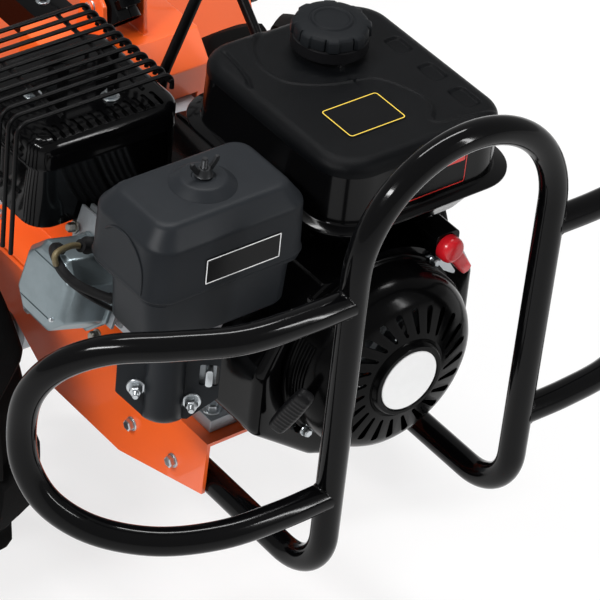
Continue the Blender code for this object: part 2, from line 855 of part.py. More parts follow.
def fan_shroud():
    """Pressed housing round the fan: open at the back, with the starter's round window in front."""
    bm = bmesh.new()
    edge = 0.010
    outer = [
        [Vector((SHROUD_REAR, u, v)) for u, v in shroud_outline(0)],
        [Vector((SHROUD_FRONT - edge, u, v)) for u, v in shroud_outline(0)],
        [Vector((SHROUD_FRONT - edge * 0.3, u, v)) for u, v in shroud_outline(edge * 0.3)],
        [Vector((SHROUD_FRONT, u, v)) for u, v in shroud_outline(edge)],
    ]
    add_loft(bm, outer)
    shroud = piece("fan_shroud", bm, "gloss_black")
    hollow = bmesh.new()
    wall = SHROUD_SHEET
    inner = [
        [Vector((SHROUD_REAR - 0.005, u, v)) for u, v in shroud_outline(wall)],
        [Vector((SHROUD_FRONT - edge, u, v)) for u, v in shroud_outline(wall)],
        [Vector((SHROUD_FRONT - wall, u, v)) for u, v in shroud_outline(edge)],
    ]
    add_loft(hollow, inner)
    cut(shroud, hollow)
    window = bmesh.new()
    add_cylinder(window, STARTER_R - 0.014, (SHROUD_FRONT - 0.02, 0, 0), (SHROUD_FRONT + 0.02, 0, 0), 20)
    cut(shroud, window)
    lead_hole = bmesh.new()
    add_box(lead_hole, (SHROUD_REAR - 0.01, -0.130, 0.0), (SHROUD_REAR + 0.018, -0.104, 0.020))
    cut(shroud, lead_hole)
    bed_room = bmesh.new()
    add_box(bed_room, (SHROUD_REAR - 0.01, -0.2, -0.2), (BED_FRONT + LOOSE_GAP, 0.2, ENGINE_BASE_Z + LOOSE_GAP))
    cut(shroud, bed_room)
    box = bmesh.new()
    outline = rounded_rectangle(SWITCH_LOW[1], SWITCH_HIGH[1], SWITCH_LOW[2], SWITCH_HIGH[2], 0.006, 2)
    add_prism(box, outline, "X", SWITCH_LOW[0], SWITCH_HIGH[0])
    join(shroud, box)
    return shroud


def recoil_cover():
    """The dished starter cover: slots all round its slope, louvres in its rim and a plain disc in the middle."""
    wall = 0.0018
    rear = SHROUD_FRONT + GAP
    bm = bmesh.new()
    outer = [
        (STARTER_R + 0.004, rear), (STARTER_R + 0.004, rear + 0.003), (STARTER_R, rear + 0.003),
        (STARTER_R - 0.001, STARTER_FRONT - 0.034), (STARTER_R - 0.016, STARTER_FRONT - 0.014),
        (STARTER_FACE_R + 0.006, STARTER_FRONT - 0.005), (STARTER_FACE_R + 0.002, STARTER_FRONT), (0, STARTER_FRONT),
    ]
    inner = [
        (0, STARTER_FRONT - wall), (STARTER_FACE_R, STARTER_FRONT - wall),
        (STARTER_FACE_R + 0.004, STARTER_FRONT - 0.005 - wall), (STARTER_R - 0.0170, STARTER_FRONT - 0.014 - wall),
        (STARTER_R - 0.001 - wall, STARTER_FRONT - 0.035), (STARTER_R - wall, rear),
    ]
    add_turned(bm, outer + inner, (0, 0, 0), (1, 0, 0), STARTER_SLOTS)
    cover = piece("recoil_cover", bm, "gloss_black")
    slots = bmesh.new()
    for k in range(STARTER_SLOTS):
        turn = Matrix.Rotation(2 * math.pi * (k + 0.5) / STARTER_SLOTS, 4, "X")
        low = (STARTER_FRONT - 0.030, STARTER_FACE_R + 0.010, -SLOT_HALF)
        high = (STARTER_FRONT + 0.010, STARTER_R - 0.022, SLOT_HALF)
        add_box(slots, low, high, turn)
    cut(cover, slots)
    eye = bmesh.new()
    add_bore(eye, ROPE_R + RUNNING_GAP, rope_point(-0.060), rope_point(-0.010), 8)
    cut(cover, eye)
    return cover


def rope_point(along):
    return Vector(HANDLE_AT) + Vector(PULL_OUT).normalized() * along


def recoil_handle():
    """The pull grip and the end of its rope, which runs in through the cover's eye."""
    along = Vector(HANDLE_ALONG).normalized()
    centre = Vector(HANDLE_AT)
    bm = bmesh.new()
    loops = []
    away = Vector(PULL_OUT).normalized()
    across = along.cross(away).normalized()
    flat = across.cross(along).normalized()
    end = HANDLE_HALF
    for t, wide, thick in ((-end, 0.0055, 0.0045), (-end + 0.003, 0.0080, 0.0065), (-0.012, 0.0090, 0.0070),
                           (0.012, 0.0090, 0.0070), (end - 0.003, 0.0080, 0.0065), (end, 0.0055, 0.0045)):
        outline = rounded_rectangle(-wide, wide, -thick, thick, thick * 0.6, 2)
        loops.append([centre + along * t + across * u + flat * v for u, v in outline])
    add_loft(bm, loops)
    handle = piece("recoil_handle", bm, "black_plastic", HANDLE_AT)
    rope = bmesh.new()
    add_cylinder(rope, ROPE_R, rope_point(-0.050), rope_point(0.0), 8)
    join(handle, rope)
    return handle


def tank_loops(layers):
    loops = []
    for z, grow, radius in layers:
        outline = rounded_rectangle(
            TANK_REAR - grow, TANK_FRONT + grow, TANK_RIGHT - grow, TANK_LEFT + grow, radius, 3
        )
        loops.append([Vector((u, v, z)) for u, v in outline])
    return loops


def fuel_tank():
    """Two pressings that meet in a flanged seam, hollow, filled through a neck in the top."""
    bm = bmesh.new()
    flange = 0.0115
    add_loft(bm, tank_loops((
        (TANK_FLOOR, -0.030, 0.020), (TANK_FLOOR + 0.004, -0.021, 0.028), (TANK_SEAM - 0.012, -0.004, 0.038),
        (TANK_SEAM - 0.0015, -0.001, 0.040), (TANK_SEAM - 0.0015, flange, 0.046), (TANK_SEAM + 0.0015, flange, 0.046),
        (TANK_SEAM + 0.0015, 0.000, 0.040), (TANK_TOP - 0.012, -0.001, 0.039), (TANK_TOP - 0.003, -0.005, 0.036),
        (TANK_TOP, -0.013, 0.028),
    )))
    tank = piece("fuel_tank", bm, "gloss_black")
    hollow = bmesh.new()
    s = TANK_SHEET
    inner_top = TANK_TOP - TANK_POCKET - s
    add_loft(hollow, tank_loops((
        (TANK_FLOOR + s, -0.031, 0.019), (TANK_FLOOR + 0.005, -0.023, 0.026), (TANK_SEAM - 0.012, -0.004 - s, 0.036),
        (TANK_TOP - 0.015, -0.001 - s, 0.037), (inner_top - 0.003, -0.005 - s, 0.034), (inner_top, -0.012, 0.028),
    )))
    cut(tank, hollow)
    dish = bmesh.new()
    add_prism(dish, low_top_outline(), "Z", TANK_TOP - TANK_RECESS, TANK_TOP + 0.01)
    cut(tank, dish)
    pockets = bmesh.new()
    for rear, front in POCKETS_X:
        low = (rear, TANK_LEFT - 0.034, TANK_TOP - TANK_POCKET)
        add_box(pockets, low, (front, TANK_LEFT - 0.018, TANK_TOP + 0.01))
    cut(tank, pockets)
    neck = bmesh.new()
    add_turned(
        neck,
        ((NECK_R - 0.002, inner_top - 0.003), (NECK_R, inner_top - 0.003), (NECK_R, TANK_TOP + 0.012),
         (NECK_R - 0.002, TANK_TOP + 0.012)),
        (NECK_X, NECK_Y, 0),
        (0, 0, 1),
        16,
    )
    mouth = bmesh.new()
    add_bore(mouth, NECK_R - 0.001, (NECK_X, NECK_Y, TANK_TOP - 0.02), (NECK_X, NECK_Y, TANK_TOP + 0.02), 16)
    cut(tank, mouth)
    join(tank, neck)
    return tank


def low_top_outline():
    """The lower part of the tank's top: round about the neck, then along the left edge to the front."""
    outline = []
    steps = 8
    for k in range(steps + 1):
        angle = math.radians(180 + 190 * k / steps)
        outline.append((NECK_X + DISH_R * math.cos(angle), NECK_Y + DISH_R * math.sin(angle)))
    for short, inside in ((0.083, 0.062), (0.061, 0.058), (0.043, 0.062), (0.029, 0.072), (0.022, 0.046),
                          (0.020, -0.010)):
        outline.append((TANK_FRONT - short, TANK_LEFT - inside))
    outline.append((TANK_REAR - 0.020, TANK_LEFT + 0.010))
    return outline


def fuel_cap():
    """A lobed cap: skirt over the neck, scalloped grip and a round ring on top."""
    base = TANK_TOP + 0.003
    loops = []
    layers = (
        (base, 0.000, 0.0), (base + CAP_TALL * 0.24, 0.000, 0.0), (base + CAP_TALL * 0.28, -0.001, 1.0),
        (base + CAP_TALL * 0.86, -0.002, 1.0), (base + CAP_TALL, -0.005, 0.8),
    )
    for z, grow, depth in layers:
        loop = []
        for k in range(CAP_LOBES * 4):
            angle = 2 * math.pi * k / (CAP_LOBES * 4)
            scallop = 0.0022 * depth * (math.cos(angle * CAP_LOBES) - 1)
            radius = CAP_R + grow + scallop
            loop.append(Vector((NECK_X + radius * math.cos(angle), NECK_Y + radius * math.sin(angle), z)))
        loops.append(loop)
    bm = bmesh.new()
    add_loft(bm, loops)
    cap = piece("fuel_cap", bm, "black_plastic", (NECK_X, NECK_Y, base))
    bore = bmesh.new()
    add_bore(bore, NECK_R + 0.001, (NECK_X, NECK_Y, base - 0.01), (NECK_X, NECK_Y, TANK_TOP + 0.0125), 16)
    cut(cap, bore)
    top = base + CAP_TALL
    dish = bmesh.new()
    ring = ((CAP_R * 0.56, top - 0.0025), (CAP_R * 0.66, top - 0.0025), (CAP_R * 0.66, top + 0.005),
            (CAP_R * 0.56, top + 0.005))
    add_turned(dish, ring, (NECK_X, NECK_Y, 0), (0, 0, 1), 16)
    cut(cap, dish)
    return cap


def filter_outline(inset, radius=0.022):
    return rounded_rectangle(
        FILTER_REAR + inset, FILTER_FRONT - inset, FILTER_RIGHT + inset, FILTER_LEFT - inset, radius, 3
    )


def filter_centre():
    return Vector(((FILTER_REAR + FILTER_FRONT) / 2, (FILTER_RIGHT + FILTER_LEFT) / 2, 0))


def air_filter_base():
    """The pan under the filter with its centre stud, the duct down to the carburettor and the rear corner cut away."""
    bm = bmesh.new()
    add_prism(bm, filter_outline(0.001), "Z", FILTER_SEAM - 0.005, FILTER_SEAM - GAP)
    base = piece("air_filter_base", bm, "black_plastic")
    duct = bmesh.new()
    loops = []
    for z, inset in ((FILTER_FLOOR, 0.010), (FILTER_FLOOR + 0.006, 0.004), (FILTER_SEAM - 0.003, 0.003)):
        outline = rounded_rectangle(
            FILTER_REAR + 0.030 + inset, FILTER_FRONT - inset, FILTER_RIGHT + inset, FILTER_LEFT - 0.012 - inset,
            0.018, 3
        )
        loops.append([Vector((u, v, z)) for u, v in outline])
    add_loft(duct, loops)
    join(base, duct)
    stud = bmesh.new()
    centre = filter_centre()
    add_cylinder(stud, STUD_R, centre + Vector((0, 0, FILTER_SEAM - 0.003)),
                 centre + Vector((0, 0, FILTER_TOP + 0.026)), 10)
    join(base, stud)
    return base


def air_filter_element():
    bm = bmesh.new()
    centre = filter_centre()
    add_turned(
        bm,
        ((0.022, FILTER_SEAM + GAP), (0.043, FILTER_SEAM + GAP), (0.043, FILTER_TOP - 0.018),
         (0.022, FILTER_TOP - 0.018)),
        centre,
        (0, 0, 1),
        20,
    )
    return piece("air_filter_element", bm, "filter_foam")


def air_filter_cover():
    """A moulded lid, open below, with a wide chamfer round its top and a raised boss for the nut."""
    chamfer = FILTER_CHAMFER
    bm = bmesh.new()
    low = FILTER_SEAM
    layers = (
        (low, 0.000, 0.023), (FILTER_TOP - chamfer - 0.002, 0.001, 0.023),
        (FILTER_TOP - chamfer + 0.002, 0.002, 0.022),
        (FILTER_TOP - 0.002, 0.012, 0.016), (FILTER_TOP, 0.015, 0.014),
    )
    add_loft(bm, [[Vector((u, v, z)) for u, v in filter_outline(inset, radius)] for z, inset, radius in layers])
    cover = piece("air_filter_cover", bm, "satin_black")
    boss = bmesh.new()
    centre = filter_centre()
    add_turned(
        boss,
        ((0, FILTER_TOP - 0.004), (0.029, FILTER_TOP - 0.004), (0.026, FILTER_TOP + 0.003),
         (0.019, FILTER_TOP + 0.007), (0, FILTER_TOP + 0.008)),
        centre,
        (0, 0, 1),
        24,
    )
    join(cover, boss)
    wall = FILTER_WALL
    hollow = bmesh.new()
    layers = (
        (low - 0.004, wall, 0.022), (FILTER_TOP - chamfer - 0.003, wall + 0.001, 0.022),
        (FILTER_TOP - 0.003 - wall, 0.013 + wall * 0.6, 0.016),
    )
    add_loft(hollow, [[Vector((u, v, z)) for u, v in filter_outline(inset, radius)] for z, inset, radius in layers])
    cut(cover, hollow)
    hole = bmesh.new()
    add_bore(hole, STUD_R + LOOSE_GAP, centre + Vector((0, 0, FILTER_TOP - 0.012)),
                 centre + Vector((0, 0, FILTER_TOP + 0.02)), 10)
    cut(cover, hole)
    return cover


def filter_wing_nut():
    centre = filter_centre()
    seat = FILTER_TOP + 0.008 + GAP
    bm = bmesh.new()
    add_turned(
        bm,
        ((STUD_R + GAP, seat), (0.0075, seat), (0.0055, seat + 0.008), (STUD_R + GAP, seat + 0.008)),
        centre,
        (0, 0, 1),
        12,
    )
    nut = piece("filter_wing_nut", bm, "black_plastic", centre + Vector((0, 0, seat)))
    wings = bmesh.new()
    for side in (-1, 1):
        outline = [(0.0045, 0.001), (0.0100, 0.005), (0.0150, 0.014), (0.0120, 0.0165), (0.0080, 0.010),
                   (0.0045, 0.0075)]
        shape = [(centre.y + side * u, seat + v) for u, v in outline]
        add_prism(wings, shape, "X", centre.x - 0.0012, centre.x + 0.0012)
    join(nut, wings)
    return nut


def carb_frame():
    """Local Z points out of the carburettor's flange, local X runs between its studs."""
    out = Vector(CARB_OUT).normalized()
    across = Vector((-out.y, out.x, 0))
    frame = Matrix.Identity(4)
    for row in range(3):
        frame[row][0] = across[row]
        frame[row][1] = (0, 0, 1)[row]
        frame[row][2] = out[row]
    frame.translation = Vector(CARB_AT)
    return frame


def carburettor():
    """Body and float bowl between the head and the filter's duct, with two studs that hold the cover."""
    frame = carb_frame()
    bm = bmesh.new()
    add_box(bm, (-0.0285, -0.018, -0.034), (0.0285, 0.022, 0.0), frame)
    carb = piece("carburettor", bm, "cast_aluminium")
    bowl = bmesh.new()
    centre = frame @ Vector((0, 0, -0.022))
    add_turned(
        bowl,
        ((0, -0.042), (0.012, -0.042), (0.019, -0.036), (0.020, -0.012), (0, -0.012)),
        centre,
        (0, 0, 1),
        12,
    )
    join(carb, bowl)
    throat = bmesh.new()
    top = FILTER_FLOOR - GAP
    add_cylinder(throat, 0.016, (centre.x, centre.y, centre.z + 0.010), (centre.x, centre.y, top), 12)
    join(carb, throat)
    valve = bmesh.new()
    add_box(valve, (0.020, 0.008, -0.028), (0.045, 0.030, VALVE_SEAT), frame)
    join(carb, valve)
    intake = bmesh.new()
    inlet = Vector((CYLINDER_X + HEAD_HALF_X + GAP, centre.y + 0.014, 0.040))
    add_tube(intake, bent_path((inlet, (centre.x - 0.012, centre.y + 0.014, 0.040),
                                (centre.x - 0.002, centre.y, centre.z + 0.004)), 0.008, 2), 0.011, 0.0, 8)
    join(carb, intake)
    studs = bmesh.new()
    for side in (-1, 1):
        local = Vector((side * CARB_STUD_HALF, -side * CARB_STUD_DROP, 0))
        root = frame @ (local + Vector((0, 0, -0.012)))
        add_cylinder(studs, STUD_R, root, frame @ (local + Vector((0, 0, NUT_SEAT + 0.014))), 6)
    join(carb, studs)
    return carb


def carb_cover():
    """A black moulding over the carburettor: a flat flange each side and a round bulge between, open behind."""
    frame = carb_frame()
    middle = [(-BULGE_R - 0.0005, 0.0)]
    steps = 8
    for k in range(steps + 1):
        angle = math.pi * (1 - k / steps)
        middle.append((BULGE_R * math.cos(angle), 0.002 + BULGE_OUT * math.sin(angle)))
    middle.append((BULGE_R + 0.0005, 0.0))
    outline = [(CARB_COVER_LEFT, 0.0)] + middle + [(CARB_COVER_RIGHT, 0.0)]
    thinner = 1 - CARB_PLATE / 0.03
    front = [(u, GAP + w + CARB_PLATE) for u, w in outline]
    back = [(u * (thinner if abs(u) <= BULGE_R + 0.0005 else 1), GAP + w) for u, w in outline]
    ring = front + list(reversed(back))
    bm = bmesh.new()
    add_loft(bm, [[frame @ Vector((u, v, w)) for u, w in ring] for v in (CARB_COVER_LOW, CARB_COVER_HIGH)])
    cover = piece("carb_cover", bm, "black_plastic")
    holes = bmesh.new()
    for side in (-1, 1):
        local = Vector((side * CARB_STUD_HALF, -side * CARB_STUD_DROP, 0))
        start = frame @ (local - Vector((0, 0, 0.02)))
        end = frame @ (local + Vector((0, 0, 0.02)))
        add_bore(holes, STUD_R + 2 * GAP, start, end, 6)
    cut(cover, holes)
    corners = bmesh.new()
    clip = CARB_COVER_CLIP
    for side, reach in ((-1, CARB_COVER_LEFT), (1, CARB_COVER_RIGHT)):
        outside = reach + side * 0.01
        outline = [(outside, CARB_COVER_LOW - 0.01), (reach - side * clip, CARB_COVER_LOW - 0.01),
                   (outside, CARB_COVER_LOW + clip)]
        add_prism(corners, outline, "Z", -0.01, 0.03, frame)
    cut(cover, corners)
    slot = bmesh.new()
    add_box(slot, (*VALVE_SLOT_LOW, -0.01), (*VALVE_SLOT_HIGH, 0.02), frame)
    cut(cover, slot)
    return cover


def fuel_valve_lever():
    """The small lever of the fuel tap, which swings in the cover's slot."""
    frame = carb_frame()
    bm = bmesh.new()
    low = VALVE_SEAT + GAP
    add_box(bm, (0.0350, 0.0140, low), (0.0420, 0.0325, CARB_PLATE + 0.005), frame)
    pivot = frame @ Vector((0.0385, VALVE_PIVOT_Y, low))
    return piece("fuel_valve_lever", bm, "zinc", pivot)


def muffler_loops(layers):
    loops = []
    for z, inset, radius in layers:
        outline = rounded_rectangle(
            MUFFLER_REAR + inset, MUFFLER_FRONT - inset, MUFFLER_RIGHT + inset, MUFFLER_LEFT - inset, radius, 3
        )
        loops.append([Vector((u, v, z)) for u, v in outline])
    return loops


def muffler():
    """A pressed box, hollow, with a pipe from the head, an outlet at the rear and two studs for its shield."""
    floor = MUFFLER_FLOOR + MUFFLER_CLEAR
    top = MUFFLER_TOP - MUFFLER_SHEET - GAP
    grow = MUFFLER_CLEAR
    bm = bmesh.new()
    add_loft(bm, muffler_loops((
        (floor, grow + 0.010, 0.010), (floor + 0.010, grow, 0.016), (top - 0.012, grow, 0.016),
        (top, grow + 0.010, 0.010),
    )))
    box = piece("muffler", bm, "satin_black")
    s = MUFFLER_SHEET
    hollow = bmesh.new()
    add_loft(hollow, muffler_loops((
        (floor + s, grow + 0.011, 0.009), (floor + 0.011, grow + s, 0.014), (top - 0.013, grow + s, 0.014),
        (top - s, grow + 0.011, 0.009),
    )))
    cut(box, hollow)
    outlet = bmesh.new()
    middle = (MUFFLER_RIGHT + MUFFLER_LEFT) / 2
    height = top - 0.030
    add_bore(outlet, 0.009, (MUFFLER_REAR - 0.02, middle, height), (MUFFLER_REAR + 0.02, middle, height), 12)
    cut(box, outlet)
    pipe = bmesh.new()
    frame = cylinder_frame()
    port_u = CYLINDER_SEAT + HEAD_LONG - HEAD_PITCH * 2 - FIN_THICK / 2
    port = frame @ Vector((-HEAD_HALF_X - GAP, port_u, 0.016))
    turn = Vector((port.x - 0.032, port.y, port.z))
    add_tube(pipe, bent_path((port, turn, (turn.x, turn.y, floor + 0.0012)), 0.015, 4), 0.0105, 0, 12)
    join(box, pipe)
    studs = bmesh.new()
    for x, y in SHIELD_STUDS:
        add_cylinder(studs, STUD_R, (x, y, top - 0.001), (x, y, MUFFLER_TOP + 0.012), 6)
    join(box, studs)
    return box


def muffler_shield():
    """The heat shield: a sheet box over the muffler, open below, slotted along its top edge and its right side."""
    bm = bmesh.new()
    add_loft(bm, muffler_loops((
        (MUFFLER_FLOOR, 0.000, 0.022), (MUFFLER_TOP - 0.010, 0.000, 0.022), (MUFFLER_TOP - 0.003, 0.003, 0.019),
        (MUFFLER_TOP, 0.010, 0.014),
    )))
    shield = piece("muffler_shield", bm, "gloss_black")
    s = MUFFLER_SHEET
    hollow = bmesh.new()
    add_loft(hollow, muffler_loops((
        (MUFFLER_FLOOR - 0.01, s, 0.020), (MUFFLER_TOP - 0.010, s, 0.020), (MUFFLER_TOP - 0.003 - s, 0.003 + s, 0.017),
        (MUFFLER_TOP - s, 0.010 + s * 0.6, 0.013),
    )))
    cut(shield, hollow)
    slots = bmesh.new()
    span = MUFFLER_LEFT - MUFFLER_RIGHT - 0.044
    for k in range(SHIELD_SLOTS):
        y = MUFFLER_RIGHT + 0.022 + span * k / (SHIELD_SLOTS - 1)
        add_box(slots, (MUFFLER_FRONT - 0.026, y - 0.0022, MUFFLER_TOP - 0.007),
                (MUFFLER_FRONT - 0.008, y + 0.0022, MUFFLER_TOP + 0.01))
    cut(shield, slots)
    louvres = bmesh.new()
    for k in range(5):
        x = MUFFLER_REAR + 0.026 + 0.013 * k
        add_box(louvres, (x - 0.0022, MUFFLER_RIGHT - 0.01, MUFFLER_FLOOR + 0.018),
                (x + 0.0022, MUFFLER_RIGHT + 0.005, MUFFLER_TOP - 0.022))
    cut(shield, louvres)
    ports = bmesh.new()
    middle = (MUFFLER_RIGHT + MUFFLER_LEFT) / 2
    height = MUFFLER_TOP - MUFFLER_SHEET - GAP - 0.030
    add_cylinder(ports, 0.013, (MUFFLER_REAR - 0.02, middle, height), (MUFFLER_REAR + 0.006, middle, height), 16)
    for x, y in SHIELD_STUDS:
        add_bore(ports, STUD_R + GAP * 2, (x, y, MUFFLER_TOP - 0.006), (x, y, MUFFLER_TOP + 0.01), 6)
    cut(shield, ports)
    return shield


def muffler_guard():
    """Bent wires side by side over the muffler, welded to cross wires along the rear, the top and both sides."""
    bm = bmesh.new()
    span = GUARD_FRONT - GUARD_REAR
    for k in range(GUARD_BARS):
        x = GUARD_REAR + span * k / (GUARD_BARS - 1)
        path = bent_path(
            ((x, GUARD_RIGHT, GUARD_LOW), (x, GUARD_RIGHT, GUARD_TOP), (x, GUARD_LEFT, GUARD_TOP),
             (x, GUARD_LEFT, GUARD_LEFT_LOW)),
            0.012,
            1,
        )
        add_tube(bm, path, GUARD_WIRE_R, 0.0, 4)
    guard = piece("muffler_guard", bm, "satin_black")
    cross = bmesh.new()
    inner = GUARD_WIRE_R * 1.2
    for y, z in (
        (GUARD_RIGHT + inner, (GUARD_LOW + GUARD_TOP) / 2),
        (GUARD_RIGHT + 0.045, GUARD_TOP - inner),
        (GUARD_LEFT - 0.035, GUARD_TOP - inner),
        (GUARD_LEFT - inner, GUARD_LEFT_LOW + 0.010),
    ):
        add_tube(cross, ((GUARD_REAR - 0.004, y, z), (GUARD_FRONT + 0.004, y, z)), GUARD_WIRE_R, 0.0, 4)
    join(guard, cross)
    feet = bmesh.new()
    for y in (MUFFLER_RIGHT + 0.060, MUFFLER_LEFT - 0.045):
        add_box(feet, (GUARD_FOOT_X - 0.008, y - 0.006, MUFFLER_TOP + GAP), (GUARD_FOOT_X + 0.008, y + 0.006, GUARD_TOP))
    join(guard, feet)
    return guard


def engine_switch():
    """The red stop switch: a round boss with a flat lever to one side."""
    bm = bmesh.new()
    add_turned(bm, ((0, 0), (0.0125, 0), (0.0125, 0.009), (0.009, 0.012), (0, 0.013)), SWITCH_AT, (1, 0, 0), 20)
    knob = piece("engine_switch", bm, "red_plastic", SWITCH_AT)
    arm = Vector(SWITCH_ARM).normalized()
    across = Vector((1, 0, 0)).cross(arm)
    outline = [(0.0, -0.0060), (0.034, -0.0050), (0.037, 0.0), (0.034, 0.0050), (0.0, 0.0060)]
    loops = []
    for out in (0.0015, 0.0105):
        loops.append([Vector(SWITCH_AT) + Vector((out, 0, 0)) + arm * u + across * v for u, v in outline])
    bar = bmesh.new()
    add_loft(bar, loops)
    join(knob, bar)
    return knob


# Drive


def clutch_housing():
    """A cast bell between the crankcase and the gearbox, hollow round the clutch."""
    wall = CLUTCH_WALL
    bm = bmesh.new()
    add_turned(
        bm,
        ((CLUTCH_R, CLUTCH_FRONT), (CLUTCH_R, CLUTCH_FRONT - 0.010), (CLUTCH_R - 0.008, CLUTCH_FRONT - 0.014),
         (CLUTCH_R - 0.014, CLUTCH_REAR + 0.020), (CLUTCH_R - 0.030, CLUTCH_REAR), (INPUT_R + 0.004, CLUTCH_REAR),
         (INPUT_R + 0.004, CLUTCH_REAR + wall), (CLUTCH_R - 0.032, CLUTCH_REAR + wall),
         (CLUTCH_R - 0.014 - wall, CLUTCH_REAR + 0.022), (CLUTCH_R - 0.008 - wall, CLUTCH_FRONT)),
        (0, 0, 0),
        (1, 0, 0),
        22,
    )
    return piece("clutch_housing", bm, "cast_aluminium")


def clutch_drum():
    bore = (SHAFT_R + GAP) / math.cos(math.pi / 16)
    bm = bmesh.new()
    add_turned(
        bm,
        ((bore, -0.122), (0.058, -0.122), (0.058, -0.085), (0.054, -0.085), (0.054, -0.117), (0.024, -0.117),
         (0.024, -0.086), (bore, -0.086)),
        (0, 0, 0),
        (1, 0, 0),
        16,
    )
    return piece("clutch_drum", bm, "steel")


def gearbox():
    """The reduction case: input at the front, the axle's bearings at the sides, the tine drive at the rear."""
    outline = rounded_corners(
        ((GEARBOX_FRONT, GEARBOX_TOP), (GEARBOX_REAR, GEARBOX_TOP), (GEARBOX_REAR, -0.258), (-0.330, -0.268),
         (-0.240, -0.268), (GEARBOX_FRONT, -0.232)),
        0.008,
        2,
    )
    bm = bmesh.new()
    add_prism(bm, outline, "Y", -GEARBOX_HALF, GEARBOX_HALF)
    case = piece("gearbox", bm, "cast_aluminium")
    bosses = bmesh.new()
    add_cylinder(bosses, 0.030, (AXLE_X, -AXLE_BOSS, AXLE_Z), (AXLE_X, AXLE_BOSS, AXLE_Z), 14)
    for x in GEARBOX_BOLTS_X:
        reach = BED_HALF - SHEET - GAP
        add_cylinder(bosses, 0.013, (x, -reach, GEARBOX_BOLTS_Z), (x, reach, GEARBOX_BOLTS_Z), 8)
    join(case, bosses)
    outside = bmesh.new()
    add_cylinder(outside, INPUT_R, (GEARBOX_FRONT - 0.006, 0, 0), (SHAFT_REAR - 0.004, 0, 0), 10)
    add_turned(
        outside,
        ((0, -0.004), (0.0123, -0.004), (0.0123, 0.006), (0.0105, 0.012), (0, 0.012)),
        (SHIFT_X, 0, GEARBOX_TOP),
        (0, 0, 1),
        12,
    )
    join(case, outside)
    bore = bmesh.new()
    add_bore(bore, AXLE_R + 2 * RUNNING_GAP, (AXLE_X, -0.2, AXLE_Z), (AXLE_X, 0.2, AXLE_Z), 12)
    cut(case, bore)
    socket = bmesh.new()
    add_bore(socket, SHIFT_BALL_R + RUNNING_GAP, (SHIFT_X, 0, GEARBOX_TOP - 0.010),
                 (SHIFT_X, 0, GEARBOX_TOP + 0.03), 12)
    cut(case, socket)
    return case


def wheel_axle():
    """The axle shaft, with a spacer between the gearbox and each wheel's hub and a clip outside it."""
    middle = WHEEL_INNER + TYRE_WIDE / 2
    inner = middle - HUB_HALF - GAP
    outer = middle + HUB_HALF + GAP
    collar = AXLE_R + 0.005
    half = [
        (collar, AXLE_BOSS + GAP), (collar, inner), (AXLE_R, inner), (AXLE_R, outer), (collar, outer),
        (collar, outer + 0.006), (AXLE_R, outer + 0.006), (AXLE_R, AXLE_END), (0, AXLE_END),
    ]
    half.insert(0, (AXLE_R, AXLE_BOSS + GAP))
    mirrored = [(radius, -along) for radius, along in reversed(half)]
    bm = bmesh.new()
    add_turned(bm, mirrored + half, (AXLE_X, 0, AXLE_Z), (0, 1, 0), 10)
    return piece("wheel_axle", bm, "steel", (AXLE_X, 0, AXLE_Z))


def wheel_rim(name, side):
    """A pressed wheel: hub tube, flat disc with holes, barrel and two turned flanges."""
    s = 0.0025
    bore = (AXLE_R + GAP) / math.cos(math.pi / 16)
    half = RIM_HALF
    centre = (AXLE_X, side * (WHEEL_INNER + TYRE_WIDE / 2), AXLE_Z)
    bm = bmesh.new()
    add_turned(
        bm,
        ((bore, -HUB_HALF), (HUB_R, -HUB_HALF), (HUB_R, -s / 2), (RIM_R - s, -s / 2), (RIM_R - s, -half + s),
         (RIM_FLANGE_R, -half), (RIM_FLANGE_R, -half + s), (RIM_R, -half + 2 * s), (RIM_R, half - 2 * s),
         (RIM_FLANGE_R, half - s), (RIM_FLANGE_R, half), (RIM_R - s, half - s), (RIM_R - s, s / 2),
         (HUB_R, s / 2), (HUB_R, HUB_HALF), (bore, HUB_HALF)),
        centre,
        (0, side, 0),
        16,
    )
    rim = piece(name, bm, "silver_paint", centre)
    holes = bmesh.new()
    for k in range(4):
        angle = math.radians(45 + 90 * k)
        x = AXLE_X + 0.056 * math.cos(angle)
        z = AXLE_Z + 0.056 * math.sin(angle)
        add_bore(holes, 0.014, (x, centre[1] - 0.01, z), (x, centre[1] + 0.01, z), 6)
    cut(rim, holes)
    return rim


